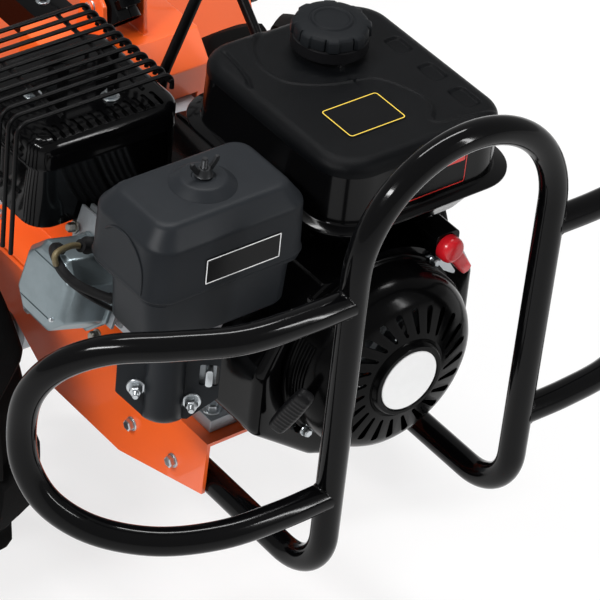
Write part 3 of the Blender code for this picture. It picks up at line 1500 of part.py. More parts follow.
def tyre(name, side):
    """A lugged tyre: one hollow skin whose beads sit inside the rim's flanges, with staggered leaning lugs."""
    bead = RIM_HALF - 0.0062
    bore = (RIM_R + GAP) / math.cos(math.pi / (LUG_PAIRS * 4))
    crown = WHEEL_R - LUG_TALL
    half = TYRE_WIDE / 2
    wall = TYRE_WALL
    section = (
        (bore, bore, -bead), (RIM_FLANGE_R + 0.002, RIM_FLANGE_R + 0.002, -bead - 0.001),
        (RIM_FLANGE_R + 0.010, RIM_FLANGE_R + 0.010, -half + 0.003), (0.170, 0.184, -half),
        (crown, WHEEL_R, -half + 0.012), (crown, WHEEL_R, -0.002), (crown, WHEEL_R, 0.002),
        (crown, WHEEL_R, half - 0.012), (0.170, 0.184, half),
        (RIM_FLANGE_R + 0.010, RIM_FLANGE_R + 0.010, half - 0.003),
        (RIM_FLANGE_R + 0.002, RIM_FLANGE_R + 0.002, bead + 0.001), (bore, bore, bead), (bore, bore, bead - 0.009),
        (RIM_FLANGE_R + 0.022, RIM_FLANGE_R + 0.022, half - wall), (crown - wall, crown - wall, half - 0.022),
        (crown - wall, crown - wall, 0.022 - half), (RIM_FLANGE_R + 0.022, RIM_FLANGE_R + 0.022, wall - half),
        (bore, bore, 0.009 - bead),
    )
    centre = (AXLE_X, side * (WHEEL_INNER + half), AXLE_Z)
    columns = []
    steps = LUG_PAIRS * 4
    bm = bmesh.new()
    for k in range(steps):
        column = []
        for valley, crest, along in section:
            hand = 1 if along > 0 else -1
            on_lug = (k % 4 < 2) == (hand > 0)
            radius = crest if on_lug else valley
            lean = LUG_LEAN * abs(along) / half if crest > valley else 0.0
            angle = 2 * math.pi * k / steps + lean
            column.append(bm.verts.new((
                centre[0] + radius * math.cos(angle),
                centre[1] + side * along,
                centre[2] + radius * math.sin(angle),
            )))
        columns.append(column)
    for near, far in zip(columns, columns[1:] + columns[:1]):
        for i in range(len(section)):
            j = (i + 1) % len(section)
            bm.faces.new((near[i], near[j], far[j], far[i]))
    return piece(name, bm, "tyre_rubber", centre)


def transmission_cover():
    """Folded sheet over the gearbox: sloped front edge, feet on the bed's rails, ears for the handlebar's pivot."""
    low = DECK_Z + GAP
    outline = ((MAST_COVER_FRONT, low), (MAST_COVER_FRONT, MAST_COVER_TOP - 0.028),
               (MAST_COVER_FRONT - 0.024, MAST_COVER_TOP), (MAST_COVER_REAR, MAST_COVER_TOP), (MAST_COVER_REAR, low))
    bm = bmesh.new()
    add_prism(bm, outline, "Y", -MAST_COVER_HALF, MAST_COVER_HALF)
    cover = piece("transmission_cover", bm, "orange")
    s = COVER_SHEET
    inner_outline = ((MAST_COVER_FRONT - s, low - 0.01), (MAST_COVER_FRONT - s, MAST_COVER_TOP - 0.029),
                     (MAST_COVER_FRONT - 0.0245 - s * 0.4, MAST_COVER_TOP - s),
                     (MAST_COVER_REAR - 0.01, MAST_COVER_TOP - s), (MAST_COVER_REAR - 0.01, low - 0.01))
    hollow = bmesh.new()
    add_prism(hollow, inner_outline, "Y", -MAST_COVER_HALF + s, MAST_COVER_HALF - s)
    cut(cover, hollow)
    gap_front = bmesh.new()
    add_box(gap_front, (MAST_COVER_FRONT - 0.01, -GEARBOX_HALF - 0.006, low - 0.01),
            (MAST_COVER_FRONT + 0.01, GEARBOX_HALF + 0.006, GEARBOX_TOP + LOOSE_GAP))
    cut(cover, gap_front)
    feet = bmesh.new()
    for side in (-1, 1):
        inner = side * (MAST_COVER_HALF - s)
        outer = side * (BED_HALF - SHEET)
        add_box(feet, (MAST_COVER_REAR, min(inner, outer), low), (MAST_COVER_FRONT, max(inner, outer), low + s))
    join(cover, feet)
    ears = bmesh.new()
    for side in (-1, 1):
        inner = MAST_R + LOOSE_GAP
        face = [
            (PIVOT_X - 0.024, MAST_COVER_TOP - s / 2), (PIVOT_X + 0.024, MAST_COVER_TOP - s / 2),
            (PIVOT_X + 0.018, PIVOT_Z + 0.008), (PIVOT_X + 0.008, PIVOT_Z + 0.018),
            (PIVOT_X - 0.008, PIVOT_Z + 0.018), (PIVOT_X - 0.018, PIVOT_Z + 0.008),
        ]
        add_prism(ears, face, "Y", side * inner, side * (inner + EAR_THICK))
    join(cover, ears)
    pin = bmesh.new()
    reach = MAST_R + LOOSE_GAP + EAR_THICK
    add_cylinder(pin, PIN_R, (PIVOT_X, -reach - 0.004, PIVOT_Z), (PIVOT_X, reach + 0.004, PIVOT_Z), 10)
    join(cover, pin)
    return cover


# Tines and hood


def tine_gearcase():
    """The tine drive: a tube from the gearbox, the worm case round the tine shaft and a post under the hood."""
    front = GEARBOX_REAR - GAP
    bm = bmesh.new()
    add_turned(
        bm,
        ((0, 0), (0.040, 0), (0.040, 0.010), (DRIVE_TUBE_R, 0.014), (DRIVE_TUBE_R, 0.300), (0.036, 0.318),
         (0.036, front - TINE_X + 0.02), (0, front - TINE_X + 0.02)),
        (front, 0, TINE_Z),
        (-1, 0, 0),
        14,
    )
    case = piece("tine_gearcase", bm, "cast_aluminium")
    drum = bmesh.new()
    half = TINE_CASE_HALF
    add_turned(
        drum,
        ((0, -half), (TINE_CASE_R - 0.014, -half), (TINE_CASE_R, -half + 0.012), (TINE_CASE_R, half - 0.012),
         (TINE_CASE_R - 0.014, half), (0, half)),
        (TINE_X, 0, TINE_Z),
        (0, 1, 0),
        18,
    )
    join(case, drum)
    post = bmesh.new()
    add_box(post, (TINE_X - 0.014, -0.012, TINE_Z + TINE_CASE_R - 0.010), (TINE_X + 0.014, 0.012, HOOD_TOP_Z - 0.006))
    add_box(post, (TINE_X - 0.040, -0.030, HOOD_TOP_Z - HOOD_SHEET - GAP - 0.005),
            (TINE_X + 0.040, 0.030, HOOD_TOP_Z - HOOD_SHEET - GAP))
    join(case, post)
    bore = bmesh.new()
    add_bore(bore, TINE_SHAFT_R + RUNNING_GAP, (TINE_X, -0.06, TINE_Z), (TINE_X, 0.06, TINE_Z), 20)
    cut(case, bore)
    return case


def tine_shaft():
    bm = bmesh.new()
    add_cylinder(bm, TINE_SHAFT_R, (TINE_X, -TINE_SHAFT_END, TINE_Z), (TINE_X, TINE_SHAFT_END, TINE_Z), 12)
    return piece("tine_shaft", bm, "steel", (TINE_X, 0, TINE_Z))


def blade_loops(angle, y, bend):
    """One L-shaped blade: a flat arm out from the flange, then a tip that sweeps sideways and back."""
    radial = Vector((math.cos(angle), 0, math.sin(angle)))
    along = Vector((-math.sin(angle), 0, math.cos(angle)))
    centre = Vector((TINE_X, y, TINE_Z))
    stations = (
        (0.030, 0.000, 0.000, 0.019, 0.003), (0.120, 0.006, 0.000, 0.018, 0.003), (0.146, 0.010, 0.004, 0.017, 0.003),
        (0.163, 0.014, 0.016, 0.016, 0.003), (0.170, 0.018, TINE_SWEEP, 0.010, 0.0025),
    )
    loops = []
    for index, (radius, trail, out, half, thick) in enumerate(stations):
        middle = centre + radial * radius + along * trail + Vector((0, bend * out, 0))
        if index < 2:
            face = Vector((0, 1, 0))
        elif index == 2:
            face = (Vector((0, 1, 0)) - radial * bend * 0.45).normalized()
        elif index == 3:
            face = (Vector((0, 0.55, 0)) - radial * bend).normalized()
        else:
            face = (Vector((0, 0.2, 0)) - radial * bend).normalized()
        loops.append([
            middle - along * half - face * thick, middle + along * half - face * thick,
            middle + along * half + face * thick, middle - along * half + face * thick,
        ])
    return loops


def tine_gang(name, side):
    """One side's rotor: a sleeve pinned on the shaft, two flanges, and L-shaped blades bent both ways."""
    inner = TINE_CASE_HALF + LOOSE_GAP
    outer = TINE_FLANGES[1] + 0.026
    bore = (TINE_SHAFT_R + GAP) / math.cos(math.pi / 12)
    bm = bmesh.new()
    profile = [(bore, inner), (SLEEVE_R, inner)]
    for y in TINE_FLANGES:
        profile += [(SLEEVE_R, y - 0.0035), (FLANGE_R, y - 0.0035), (FLANGE_R, y + 0.0035), (SLEEVE_R, y + 0.0035)]
    profile += [(SLEEVE_R, outer), (bore, outer)]
    add_turned(bm, profile, (TINE_X, 0, TINE_Z), (0, side, 0), 12)
    gang = piece(name, bm, "steel", (TINE_X, 0, TINE_Z))
    blades = bmesh.new()
    for row, y in enumerate(TINE_FLANGES):
        for k in range(BLADES):
            angle = 2 * math.pi * (k + 0.5 * row + (0.25 if side > 0 else 0)) / BLADES
            bend = side * (1 if k % 2 else -1)
            add_loft(blades, blade_loops(angle, side * y, bend))
    join(gang, blades)
    return gang


def hood_rear_edge():
    """Direction down the side plates' rear edges, and the outward direction square to it."""
    down = Vector((-0.040, 0, -0.150)).normalized()
    out = Vector((down.z, 0, -down.x))
    return down, out


def hinge_point():
    return Vector((HOOD_HINGE_X - 0.008, 0, HOOD_HINGE_Z - 0.006))


def tine_hood():
    """Folded sheet over the tines with side plates, a slot for the depth stake and the flap's hinge rod."""
    outer = (
        (HOOD_FRONT_X, HOOD_FRONT_Z), (HOOD_TOP_X, HOOD_TOP_Z), (HOOD_BACK_X, HOOD_TOP_Z),
        (HOOD_HINGE_X, HOOD_HINGE_Z), (HOOD_HINGE_X - 0.040, HOOD_HINGE_Z - 0.150), (-0.900, -0.250), (-0.560, -0.250),
        (-0.500, -0.215),
    )
    bm = bmesh.new()
    add_prism(bm, outer, "Y", -HOOD_HALF, HOOD_HALF)
    hood = piece("tine_hood", bm, "orange")
    s = HOOD_SHEET
    steep = s * 1.095
    inner = (
        (HOOD_FRONT_X + 0.08, HOOD_FRONT_Z), (HOOD_FRONT_X - steep, HOOD_FRONT_Z),
        (HOOD_TOP_X - steep + s * 0.44, HOOD_TOP_Z - s), (HOOD_BACK_X + 0.001, HOOD_TOP_Z - s),
        (HOOD_HINGE_X + 0.0025, HOOD_HINGE_Z - 0.0019), (HOOD_HINGE_X - 0.06, HOOD_HINGE_Z - 0.0019),
        (HOOD_HINGE_X - 0.06, -0.32), (HOOD_FRONT_X + 0.08, -0.32),
    )
    hollow = bmesh.new()
    add_prism(hollow, inner, "Y", -HOOD_HALF + s, HOOD_HALF - s)
    cut(hood, hollow)
    slot = bmesh.new()
    add_box(slot, (STAKE_X - STAKE_THICK / 2 - 0.003, -STAKE_WIDE / 2 - 0.003, -0.06),
            (STAKE_X + STAKE_THICK / 2 + 0.003, STAKE_WIDE / 2 + 0.003, 0.06))
    for side in (-1, 1):
        add_bore(slot, KNOB_STUD_R + GAP, (KNOB_X, side * (HOOD_HALF - 0.01), KNOB_Z),
                     (KNOB_X, side * (HOOD_HALF + 0.01), KNOB_Z), 10)
    cut(hood, slot)
    hinge = hinge_point()
    ribs = bmesh.new()
    for side in (-1, 1):
        add_box(ribs, (HOOD_BACK_X + 0.01, side * 0.200 - 0.012, HOOD_TOP_Z - 0.001),
                (HOOD_TOP_X - 0.01, side * 0.200 + 0.012, HOOD_TOP_Z + 0.004))
    for y in HINGE_LUGS:
        add_box(ribs, (hinge.x - 0.005, y - 0.009, hinge.z - 0.005), (HOOD_HINGE_X + 0.006, y + 0.009, HOOD_HINGE_Z + 0.001))
    join(hood, ribs)
    rod = bmesh.new()
    reach = HINGE_LUGS[-1] + 0.006
    add_cylinder(rod, HINGE_ROD_R, (hinge.x, -reach, hinge.z), (hinge.x, reach, hinge.z), 12)
    join(hood, rod)
    return hood


def rear_flap():
    """The trailing flap: two knuckles round the hinge rod and a sheet that rests on the side plates' edges."""
    hinge = hinge_point()
    down, out = hood_rear_edge()
    offset = (hinge - Vector((HOOD_HINGE_X, 0, HOOD_HINGE_Z))).dot(out) - GAP
    frame = Matrix.Identity(4)
    for row in range(3):
        frame[row][0] = out[row]
        frame[row][1] = (0, 1, 0)[row]
        frame[row][2] = down[row]
    frame.translation = hinge
    bm = bmesh.new()
    add_box(bm, (-offset, -HOOD_HALF, 0.012), (-offset + FLAP_SHEET, HOOD_HALF, FLAP_LONG), frame)
    flap = piece("rear_flap", bm, "orange", hinge)
    knuckles = bmesh.new()
    for side in (-1, 1):
        low, high = 0.030, 0.290
        ends = (side * low, side * high)
        add_box(knuckles, (-offset, min(ends), -0.001), (-offset + FLAP_SHEET, max(ends), 0.020), frame)
    add_box(knuckles, (-offset + 0.001, -HOOD_HALF + 0.010, FLAP_LONG - 0.004),
            (-offset + FLAP_SHEET + 0.008, HOOD_HALF - 0.010, FLAP_LONG - 0.001), frame)
    join(flap, knuckles)
    barrels = bmesh.new()
    for side in (-1, 1):
        add_cylinder(barrels, KNUCKLE_R, (hinge.x, side * 0.030, hinge.z), (hinge.x, side * 0.290, hinge.z), 12)
    join(flap, barrels)
    bore = bmesh.new()
    add_bore(bore, HINGE_ROD_R + RUNNING_GAP, (hinge.x, -0.4, hinge.z), (hinge.x, 0.4, hinge.z), 12)
    cut(flap, bore)
    return flap


def rear_beam():
    """Box beam over the hood that carries the depth stake's socket and its clamp screw's boss."""
    low = HOOD_TOP_Z + GAP
    front = GEARBOX_REAR - GAP
    bm = bmesh.new()
    add_box(bm, (STAKE_X - 0.022, -BEAM_HALF, low), (front, BEAM_HALF, low + BEAM_TALL))
    beam = piece("rear_beam", bm, "gloss_black")
    hollow = bmesh.new()
    wall = 0.003
    add_box(hollow, (STAKE_X + 0.022, -BEAM_HALF + wall, low + wall), (front + 0.01, BEAM_HALF - wall, low + BEAM_TALL - wall))
    cut(beam, hollow)
    boss = bmesh.new()
    add_box(boss, (STAKE_X - 0.022, -BEAM_HALF, low), (STAKE_X + 0.022, BEAM_HALF, low + BEAM_TALL + 0.014))
    join(beam, boss)
    slot = bmesh.new()
    add_box(slot, (STAKE_X - STAKE_THICK / 2 - RUNNING_GAP, -STAKE_WIDE / 2 - RUNNING_GAP, low - 0.02),
            (STAKE_X + STAKE_THICK / 2 + RUNNING_GAP, STAKE_WIDE / 2 + RUNNING_GAP, low + 0.08))
    cut(beam, slot)
    thread = bmesh.new()
    add_bore(thread, SCREW_R + RUNNING_GAP, (STAKE_X - 0.04, 0, SCREW_Z), (STAKE_X, 0, SCREW_Z), 12)
    cut(beam, thread)
    return beam


def stake_screw():
    """The T-handled clamp screw that pinches the depth stake in its socket."""
    bm = bmesh.new()
    tip = STAKE_X - STAKE_THICK / 2 - GAP
    add_turned(
        bm,
        ((0, 0), (SCREW_R, 0), (SCREW_R, 0.040), (0.008, 0.042), (0.008, 0.054), (0, 0.054)),
        (tip, 0, SCREW_Z),
        (-1, 0, 0),
        12,
    )
    screw = piece("stake_screw", bm, "zinc", (tip, 0, SCREW_Z))
    bar = bmesh.new()
    add_cylinder(bar, 0.004, (tip - 0.048, -0.030, SCREW_Z), (tip - 0.048, 0.030, SCREW_Z), 10)
    join(screw, bar)
    return screw


def depth_stake():
    """A flat bar with a row of holes, pointed forward into a small ground shoe at its foot."""
    half = STAKE_THICK / 2
    bm = bmesh.new()
    add_box(bm, (STAKE_X - half, -STAKE_WIDE / 2, GROUND_Z + 0.004), (STAKE_X + half, STAKE_WIDE / 2, STAKE_TOP))
    stake = piece("depth_stake", bm, "steel", (STAKE_X, 0, SCREW_Z))
    shoe = bmesh.new()
    outline = ((STAKE_X + 0.040, GROUND_Z + 0.012), (STAKE_X + 0.030, GROUND_Z), (STAKE_X - 0.050, GROUND_Z),
               (STAKE_X - 0.050, GROUND_Z + 0.005), (STAKE_X + 0.026, GROUND_Z + 0.006), (STAKE_X + 0.034, GROUND_Z + 0.016))
    add_prism(shoe, outline, "Y", -0.030, 0.030)
    join(stake, shoe)
    holes = bmesh.new()
    for k in range(5):
        z = STAKE_TOP - 0.018 - 0.024 * k
        add_bore(holes, 0.0045, (STAKE_X - 0.02, 0, z), (STAKE_X + 0.02, 0, z), 10)
    cut(stake, holes)
    return stake


def hood_knob(name, side):
    """A black hand knob that pins the hood's side: stud through the plate, lobed head outside."""
    bm = bmesh.new()
    face = HOOD_HALF + GAP
    back = HOOD_HALF - HOOD_SHEET - GAP
    add_turned(
        bm,
        ((0, back - 0.005), (0.007, back - 0.005), (0.007, back), (KNOB_STUD_R, back), (KNOB_STUD_R, face),
         (0.012, face), (0.012, face + 0.008), (0.018, face + 0.010), (0.018, face + 0.022), (0.015, face + 0.025),
         (0, face + 0.025)),
        (KNOB_X, 0, KNOB_Z),
        (0, side, 0),
        12,
    )
    return piece(name, bm, "black_plastic", (KNOB_X, side * face, KNOB_Z))


# Handlebar and controls


def mast_direction():
    return (Vector((HEAD_X, 0, HEAD_Z)) - Vector((PIVOT_X, 0, PIVOT_Z))).normalized()


def bar_corners(side):
    return (
        Vector((GRIP_REAR + 0.004, side * BAR_HALF, GRIP_Z)),
        Vector((GRIP_FRONT + 0.140, side * BAR_HALF, GRIP_Z - 0.010)),
        Vector((HEAD_X, side * 0.060, HEAD_Z)),
    )


def handlebar():
    """One bent tube from grip to grip, the mast welded below its middle, and the two levers' brackets."""
    right = bar_corners(-1)
    left = bar_corners(1)
    bm = bmesh.new()
    add_tube(bm, bent_path(right + tuple(reversed(left)), 0.050, 3), BAR_R, TUBE_WALL, 8)
    bar = piece("handlebar", bm, "gloss_black", (PIVOT_X, 0, PIVOT_Z))
    along = mast_direction()
    foot = Vector((PIVOT_X, 0, PIVOT_Z)) - along * 0.024
    head = Vector((HEAD_X, 0, HEAD_Z)) - along * (BAR_R - 0.003)
    mast = bmesh.new()
    add_tube(mast, (foot, head), MAST_R, MAST_WALL, 10)
    join(bar, mast)
    bore = bmesh.new()
    add_bore(bore, PIN_R + RUNNING_GAP, (PIVOT_X, -0.05, PIVOT_Z), (PIVOT_X, 0.05, PIVOT_Z), 12)
    cut(bar, bore)
    out = Vector((along.z, 0, -along.x))
    top = Vector((HEAD_X, 0, HEAD_Z))
    gusset = bmesh.new()
    for side in (-1, 1):
        sheet = (
            top - along * 0.060 + Vector((0, side * MAST_R * 0.9, 0)),
            top + Vector((0, side * 0.052, -0.003)),
            top - along * 0.012 + Vector((0, side * 0.016, 0)),
        )
        add_loft(gusset, [[corner + out * thick for corner in sheet] for thick in (-0.002, 0.002)])
    join(bar, gusset)
    anchor = bmesh.new()
    pivot = Vector((PIVOT_X, 0, PIVOT_Z))
    loops = []
    for reach in (ANCHOR_LOW, ANCHOR_HIGH):
        base = pivot + along * reach
        loops.append([base + out * lift + Vector((0, y, 0))
                      for y, lift in ((-0.011, 0.016), (0.011, 0.016), (0.011, 0.026), (-0.011, 0.026))])
    add_loft(anchor, loops)
    join(bar, anchor)
    brackets = bmesh.new()
    for side in (-1, 1):
        base = side * BAR_HALF
        ends = (base - side * 0.009, base - side * 0.003)
        z = bar_height(LEVER_X)
        face = ((LEVER_X - 0.012, z - BAR_R + 0.001), (LEVER_X + 0.012, z - BAR_R + 0.001),
                (LEVER_X + 0.007, z - LEVER_DROP - 0.008), (LEVER_X - 0.007, z - LEVER_DROP - 0.008))
        add_prism(brackets, face, "Y", min(ends), max(ends))
        add_cylinder(brackets, LEVER_PIN_R, (LEVER_X, base - side * 0.006, z - LEVER_DROP),
                     (LEVER_X, base + side * 0.006, z - LEVER_DROP), 10)
        add_cylinder(brackets, LEVER_PIN_R + 0.003, (LEVER_X, base + side * (0.0035 + GAP), z - LEVER_DROP),
                     (LEVER_X, base + side * 0.007, z - LEVER_DROP), 10)
    join(bar, brackets)
    return bar


def bar_height(x):
    """Height of the handlebar's straight end at a place along it."""
    rear, front, _ = bar_corners(1)
    share = (x - rear.x) / (front.x - rear.x)
    return rear.z + (front.z - rear.z) * share


def bar_line():
    rear, front, _ = bar_corners(1)
    return (Vector((front.x, 0, front.z)) - Vector((rear.x, 0, rear.z))).normalized()


def grip(name, side):
    """A rubber sleeve over the bar's end, closed behind, with a collar at its front."""
    rear = bar_corners(side)[0]
    length = GRIP_FRONT - GRIP_REAR
    bore = (BAR_R + GAP) / math.cos(math.pi / 12)
    profile = [
        (0, -0.004), (GRIP_R - 0.002, -0.004), (GRIP_R, -0.002), (GRIP_R - 0.0005, length - 0.012),
        (GRIP_R + 0.004, length - 0.010), (GRIP_R + 0.004, length - 0.005), (bore, length - 0.005), (bore, -GAP),
        (0, -GAP),
    ]
    bm = bmesh.new()
    add_turned(bm, profile, rear, bar_line(), 12)
    return piece(name, bm, "grip_rubber", rear)


def hand_lever(name, look, side, reach):
    """A flat lever that hangs under the grip and turns on its bracket's pin."""
    z = bar_height(LEVER_X) - LEVER_DROP
    base = side * BAR_HALF
    ends = (base - side * (0.003 - GAP), base + side * 0.0035)
    centre = []
    for t, drop in ((0.0, 0.0), (0.25, -0.010), (0.6, -0.006), (1.0, -0.001)):
        centre.append((LEVER_X - reach * t, z + drop))
    top = [(x, height + 0.006) for x, height in centre]
    bottom = [(x, height - 0.006) for x, height in reversed(centre)]
    nose = [(LEVER_X + 0.016, z - 0.003), (LEVER_X + 0.016, z + 0.004)]
    bm = bmesh.new()
    add_prism(bm, top + bottom + nose, "Y", min(ends), max(ends))
    lever = piece(name, bm, look, (LEVER_X, base, z))
    bore = bmesh.new()
    add_bore(bore, LEVER_PIN_R + RUNNING_GAP, (LEVER_X, base - 0.02, z), (LEVER_X, base + 0.02, z), 12)
    cut(lever, bore)
    return lever


def shift_lever():
    """The gear lever: a ball in the gearbox's socket, a rod that bends rearward, and a round knob."""
    start = Vector((SHIFT_X, 0, GEARBOX_TOP + 0.004))
    corners = (start, (SHIFT_X + 0.006, 0.004, 0.100), (SHIFT_X + 0.008, 0.056, 0.225), (-0.500, 0.085, 0.400))
    bm = bmesh.new()
    add_tube(bm, bent_path(corners, 0.030, 3), ROD_R, 0.0, 8)
    lever = piece("shift_lever", bm, "satin_black", (SHIFT_X, 0, GEARBOX_TOP + 0.004))
    ball = bmesh.new()
    add_ball(ball, start, SHIFT_BALL_R)
    add_ball(ball, corners[-1], 0.017)
    join(lever, ball)
    return lever


def add_ball(bm, centre, radius, rings=3, steps=10):
    profile = []
    for k in range(rings * 2 + 1):
        angle = -math.pi / 2 + math.pi * k / (rings * 2)
        profile.append((max(0.0, radius * math.cos(angle)) if 0 < k < rings * 2 else 0, radius * math.sin(angle)))
    add_turned(bm, profile, centre, (0, 0, 1), steps)


def drive_lever():
    """The drive lever: a shaft through the bed's lug, then a long rod up along the machine's left side."""
    inner = (DRIVE_PIVOT[0], BED_HALF - SHEET - 0.004, DRIVE_PIVOT[1])
    corner = (DRIVE_PIVOT[0], DRIVE_ROD_Y, DRIVE_PIVOT[1])
    bm = bmesh.new()
    corners = (inner, corner, (-0.300, DRIVE_ROD_Y, 0.032), (-0.600, DRIVE_ROD_Y, 0.310))
    add_tube(bm, bent_path(corners, 0.012, 3), ROD_R, 0.0, 8)
    lever = piece("drive_lever", bm, "satin_black", (DRIVE_PIVOT[0], BED_HALF, DRIVE_PIVOT[1]))
    ends = bmesh.new()
    add_ball(ends, corners[-1], 0.016)
    add_cylinder(ends, ROD_R + 0.004, (DRIVE_PIVOT[0], BED_HALF - SHEET - 0.007, DRIVE_PIVOT[1]),
                 (DRIVE_PIVOT[0], BED_HALF - SHEET - GAP, DRIVE_PIVOT[1]), 12)
    add_cylinder(ends, ROD_R + 0.004, (DRIVE_PIVOT[0], BED_HALF + GAP, DRIVE_PIVOT[1]),
                 (DRIVE_PIVOT[0], BED_HALF + 0.006, DRIVE_PIVOT[1]), 12)
    join(lever, ends)
    return lever


def cable(name, route):
    bm = bmesh.new()
    add_tube(bm, smooth_curve(route, 4), CABLE_R, 0.0, 6)
    return piece(name, bm, "cable_grey")


def main():
    clear_scene()
    empty("machine", (ENGINE_X, 0.0, CRANK_HEIGHT))
    engine_bed()
    front_hoop()
    side_loop("side_loop_right", 1)
    side_loop("side_loop_left", -1)
    crankcase()
    oil_dipstick()
    cylinder_head()
    spark_plug()
    plug_boot()
    ht_lead()
    valve_cover()
    crankshaft()
    flywheel()
    fan_shroud()
    recoil_cover()
    recoil_handle()
    fuel_tank()
    fuel_cap()
    air_filter_base()
    air_filter_element()
    air_filter_cover()
    filter_wing_nut()
    carburettor()
    carb_cover()
    fuel_valve_lever()
    muffler()
    muffler_shield()
    muffler_guard()
    engine_switch()
    clutch_housing()
    clutch_drum()
    gearbox()
    wheel_axle()
    wheel_rim("wheel_rim_right", -1)
    wheel_rim("wheel_rim_left", 1)
    tyre("tyre_right", -1)
    tyre("tyre_left", 1)
    transmission_cover()
    tine_gearcase()
    tine_shaft()
    tine_gang("tine_gang_right", -1)
    tine_gang("tine_gang_left", 1)
    tine_hood()
    rear_flap()
    rear_beam()
    stake_screw()
    depth_stake()
    hood_knob("hood_knob_right", -1)
    hood_knob("hood_knob_left", 1)
    handlebar()
    grip("grip_right", -1)
    grip("grip_left", 1)
    hand_lever("clutch_lever", "satin_black", 1, 0.120)
    hand_lever("throttle_lever", "black_plastic", -1, 0.050)
    shift_lever()
    drive_lever()
    cable("clutch_cable", CLUTCH_ROUTE)
    cable("throttle_cable", THROTTLE_ROUTE)


main()
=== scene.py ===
"""Looks of a rear-tine garden tiller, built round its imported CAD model.

Metres. Sizes are measured from the crank axis over the middle of the engine bed, as in the CAD source,
and MACHINE moves them to the model's frame: +X forward, +Y to the machine's left, +Z up.
"""
import itertools
import json
import math

import bmesh
import bpy
import numpy as np
from mathutils import Matrix, Vector


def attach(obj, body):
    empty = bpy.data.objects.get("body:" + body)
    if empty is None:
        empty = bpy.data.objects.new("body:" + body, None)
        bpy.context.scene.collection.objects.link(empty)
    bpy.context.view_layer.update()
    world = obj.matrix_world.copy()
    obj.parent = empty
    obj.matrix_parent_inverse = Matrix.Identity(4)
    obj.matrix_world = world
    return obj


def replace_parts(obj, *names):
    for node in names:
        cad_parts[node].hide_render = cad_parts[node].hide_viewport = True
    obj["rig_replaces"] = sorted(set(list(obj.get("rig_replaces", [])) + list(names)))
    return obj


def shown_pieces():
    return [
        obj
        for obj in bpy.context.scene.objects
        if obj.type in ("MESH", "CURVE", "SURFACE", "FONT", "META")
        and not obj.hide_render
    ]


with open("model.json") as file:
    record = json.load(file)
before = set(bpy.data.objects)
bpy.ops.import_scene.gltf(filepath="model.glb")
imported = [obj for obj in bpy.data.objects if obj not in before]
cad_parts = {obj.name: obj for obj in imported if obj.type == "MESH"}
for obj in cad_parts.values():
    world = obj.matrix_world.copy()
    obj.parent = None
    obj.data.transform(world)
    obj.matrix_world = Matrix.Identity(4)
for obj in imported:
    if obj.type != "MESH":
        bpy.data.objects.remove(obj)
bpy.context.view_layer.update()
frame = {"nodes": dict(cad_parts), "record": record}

# Machine
MACHINE = Vector((0.477, 0.0, 0.411))
GAP = 0.0003
STUD_R = 0.003
TUBE_R = 0.013
SEAM_SET_IN = 0.0024
TUBE_WALL = 0.002
HOOP_X = 0.223
HOOP_HALF = 0.109
HOOP_TOP = 0.287
LOWER_TUBE_Z = -0.162
LOWER_TUBE_REAR = -0.085
LOWER_BEND_R = 0.055
LOOP_HIGH_Z = 0.155
LOOP_LOW_Z = -0.06
LOOP_REACH = 0.365
LOOP_REAR_X = 0.112
BED_HALF = 0.1263
CASE_FOOT_Z = -0.106
CASE_FOOT_TALL = 0.014
BARREL_OUT = 0.148
HEAD_DEEP = 0.048
CYLINDER_X = -0.033
CYLINDER_TILT = math.radians(16)
DRAIN_AT = (0.06, -0.084, -0.088)
SHROUD_REAR = 0.062
SHROUD_FRONT = 0.128
STARTER_R = 0.092
STARTER_FACE_R = 0.034
STARTER_FRONT = 0.19
HANDLE_AT = (0.158, -0.107, -0.012)
PULL_OUT = (0.45, -0.86, -0.26)
HANDLE_ALONG = (0.5, 0.0, 0.866)
HANDLE_HALF = 0.0365
SWITCH_LOW = (SHROUD_FRONT - 0.016, 0.057, 0.08)
SWITCH_HIGH = (SHROUD_FRONT + 0.012, 0.084, 0.106)
SWITCH_AT = (SHROUD_FRONT + 0.0123, 0.0695, 0.0915)
SWITCH_ARM = (0.0, 0.59, -0.81)
TANK_REAR = -0.097
TANK_FRONT = 0.128
TANK_RIGHT = -0.054
TANK_LEFT = 0.146
TANK_TOP = 0.205
TANK_SEAM = 0.14
TANK_FLOOR = 0.097
TANK_RECESS = 0.003
TANK_POCKET = 0.0055
POCKETS_X = ((-0.024, 0.0), (0.025, 0.05), (0.069, 0.098))
NECK_X = -0.038
NECK_Y = 0.06
NECK_R = 0.024
CAP_R = 0.037
CAP_TALL = 0.028
CAP_LOBES = 8
FILTER_REAR = 0.015
FILTER_FRONT = 0.124
FILTER_RIGHT = -0.243
FILTER_LEFT = -0.074
FILTER_TOP = 0.2
FILTER_SEAM = 0.13
FILTER_FLOOR = 0.078
FILTER_CHAMFER = 0.018
MUFFLER_FRONT = -0.078
MUFFLER_REAR = -0.22
MUFFLER_RIGHT = -0.225
MUFFLER_LEFT = -0.066
MUFFLER_FLOOR = 0.076
MUFFLER_TOP = 0.166
GUARD_FRONT = -0.079
GUARD_REAR = -0.209
GUARD_RIGHT = -0.25
GUARD_LEFT = -0.084
GUARD_LOW = 0.062
GUARD_LEFT_LOW = 0.184
GUARD_TOP = 0.201
GUARD_WIRE_R = 0.0022
MUFFLER_SHEET = 0.0016
SHIELD_STUDS = ((-0.153, -0.183), (-0.116, -0.124))
CLUTCH_FRONT = -0.0725
CLUTCH_REAR = -0.196
CLUTCH_R = 0.082
WHEEL_INNER = 0.2
TYRE_WIDE = 0.1
AXLE_R = 0.0125
AXLE_BOSS = 0.11
AXLE_END = 0.296
HUB_HALF = 0.032
HUB_R = 0.0225
RIM_R = 0.101
RIM_HALF = 0.041
RIM_FLANGE_R = 0.11
LUG_TALL = 0.015
LUG_PAIRS = 8
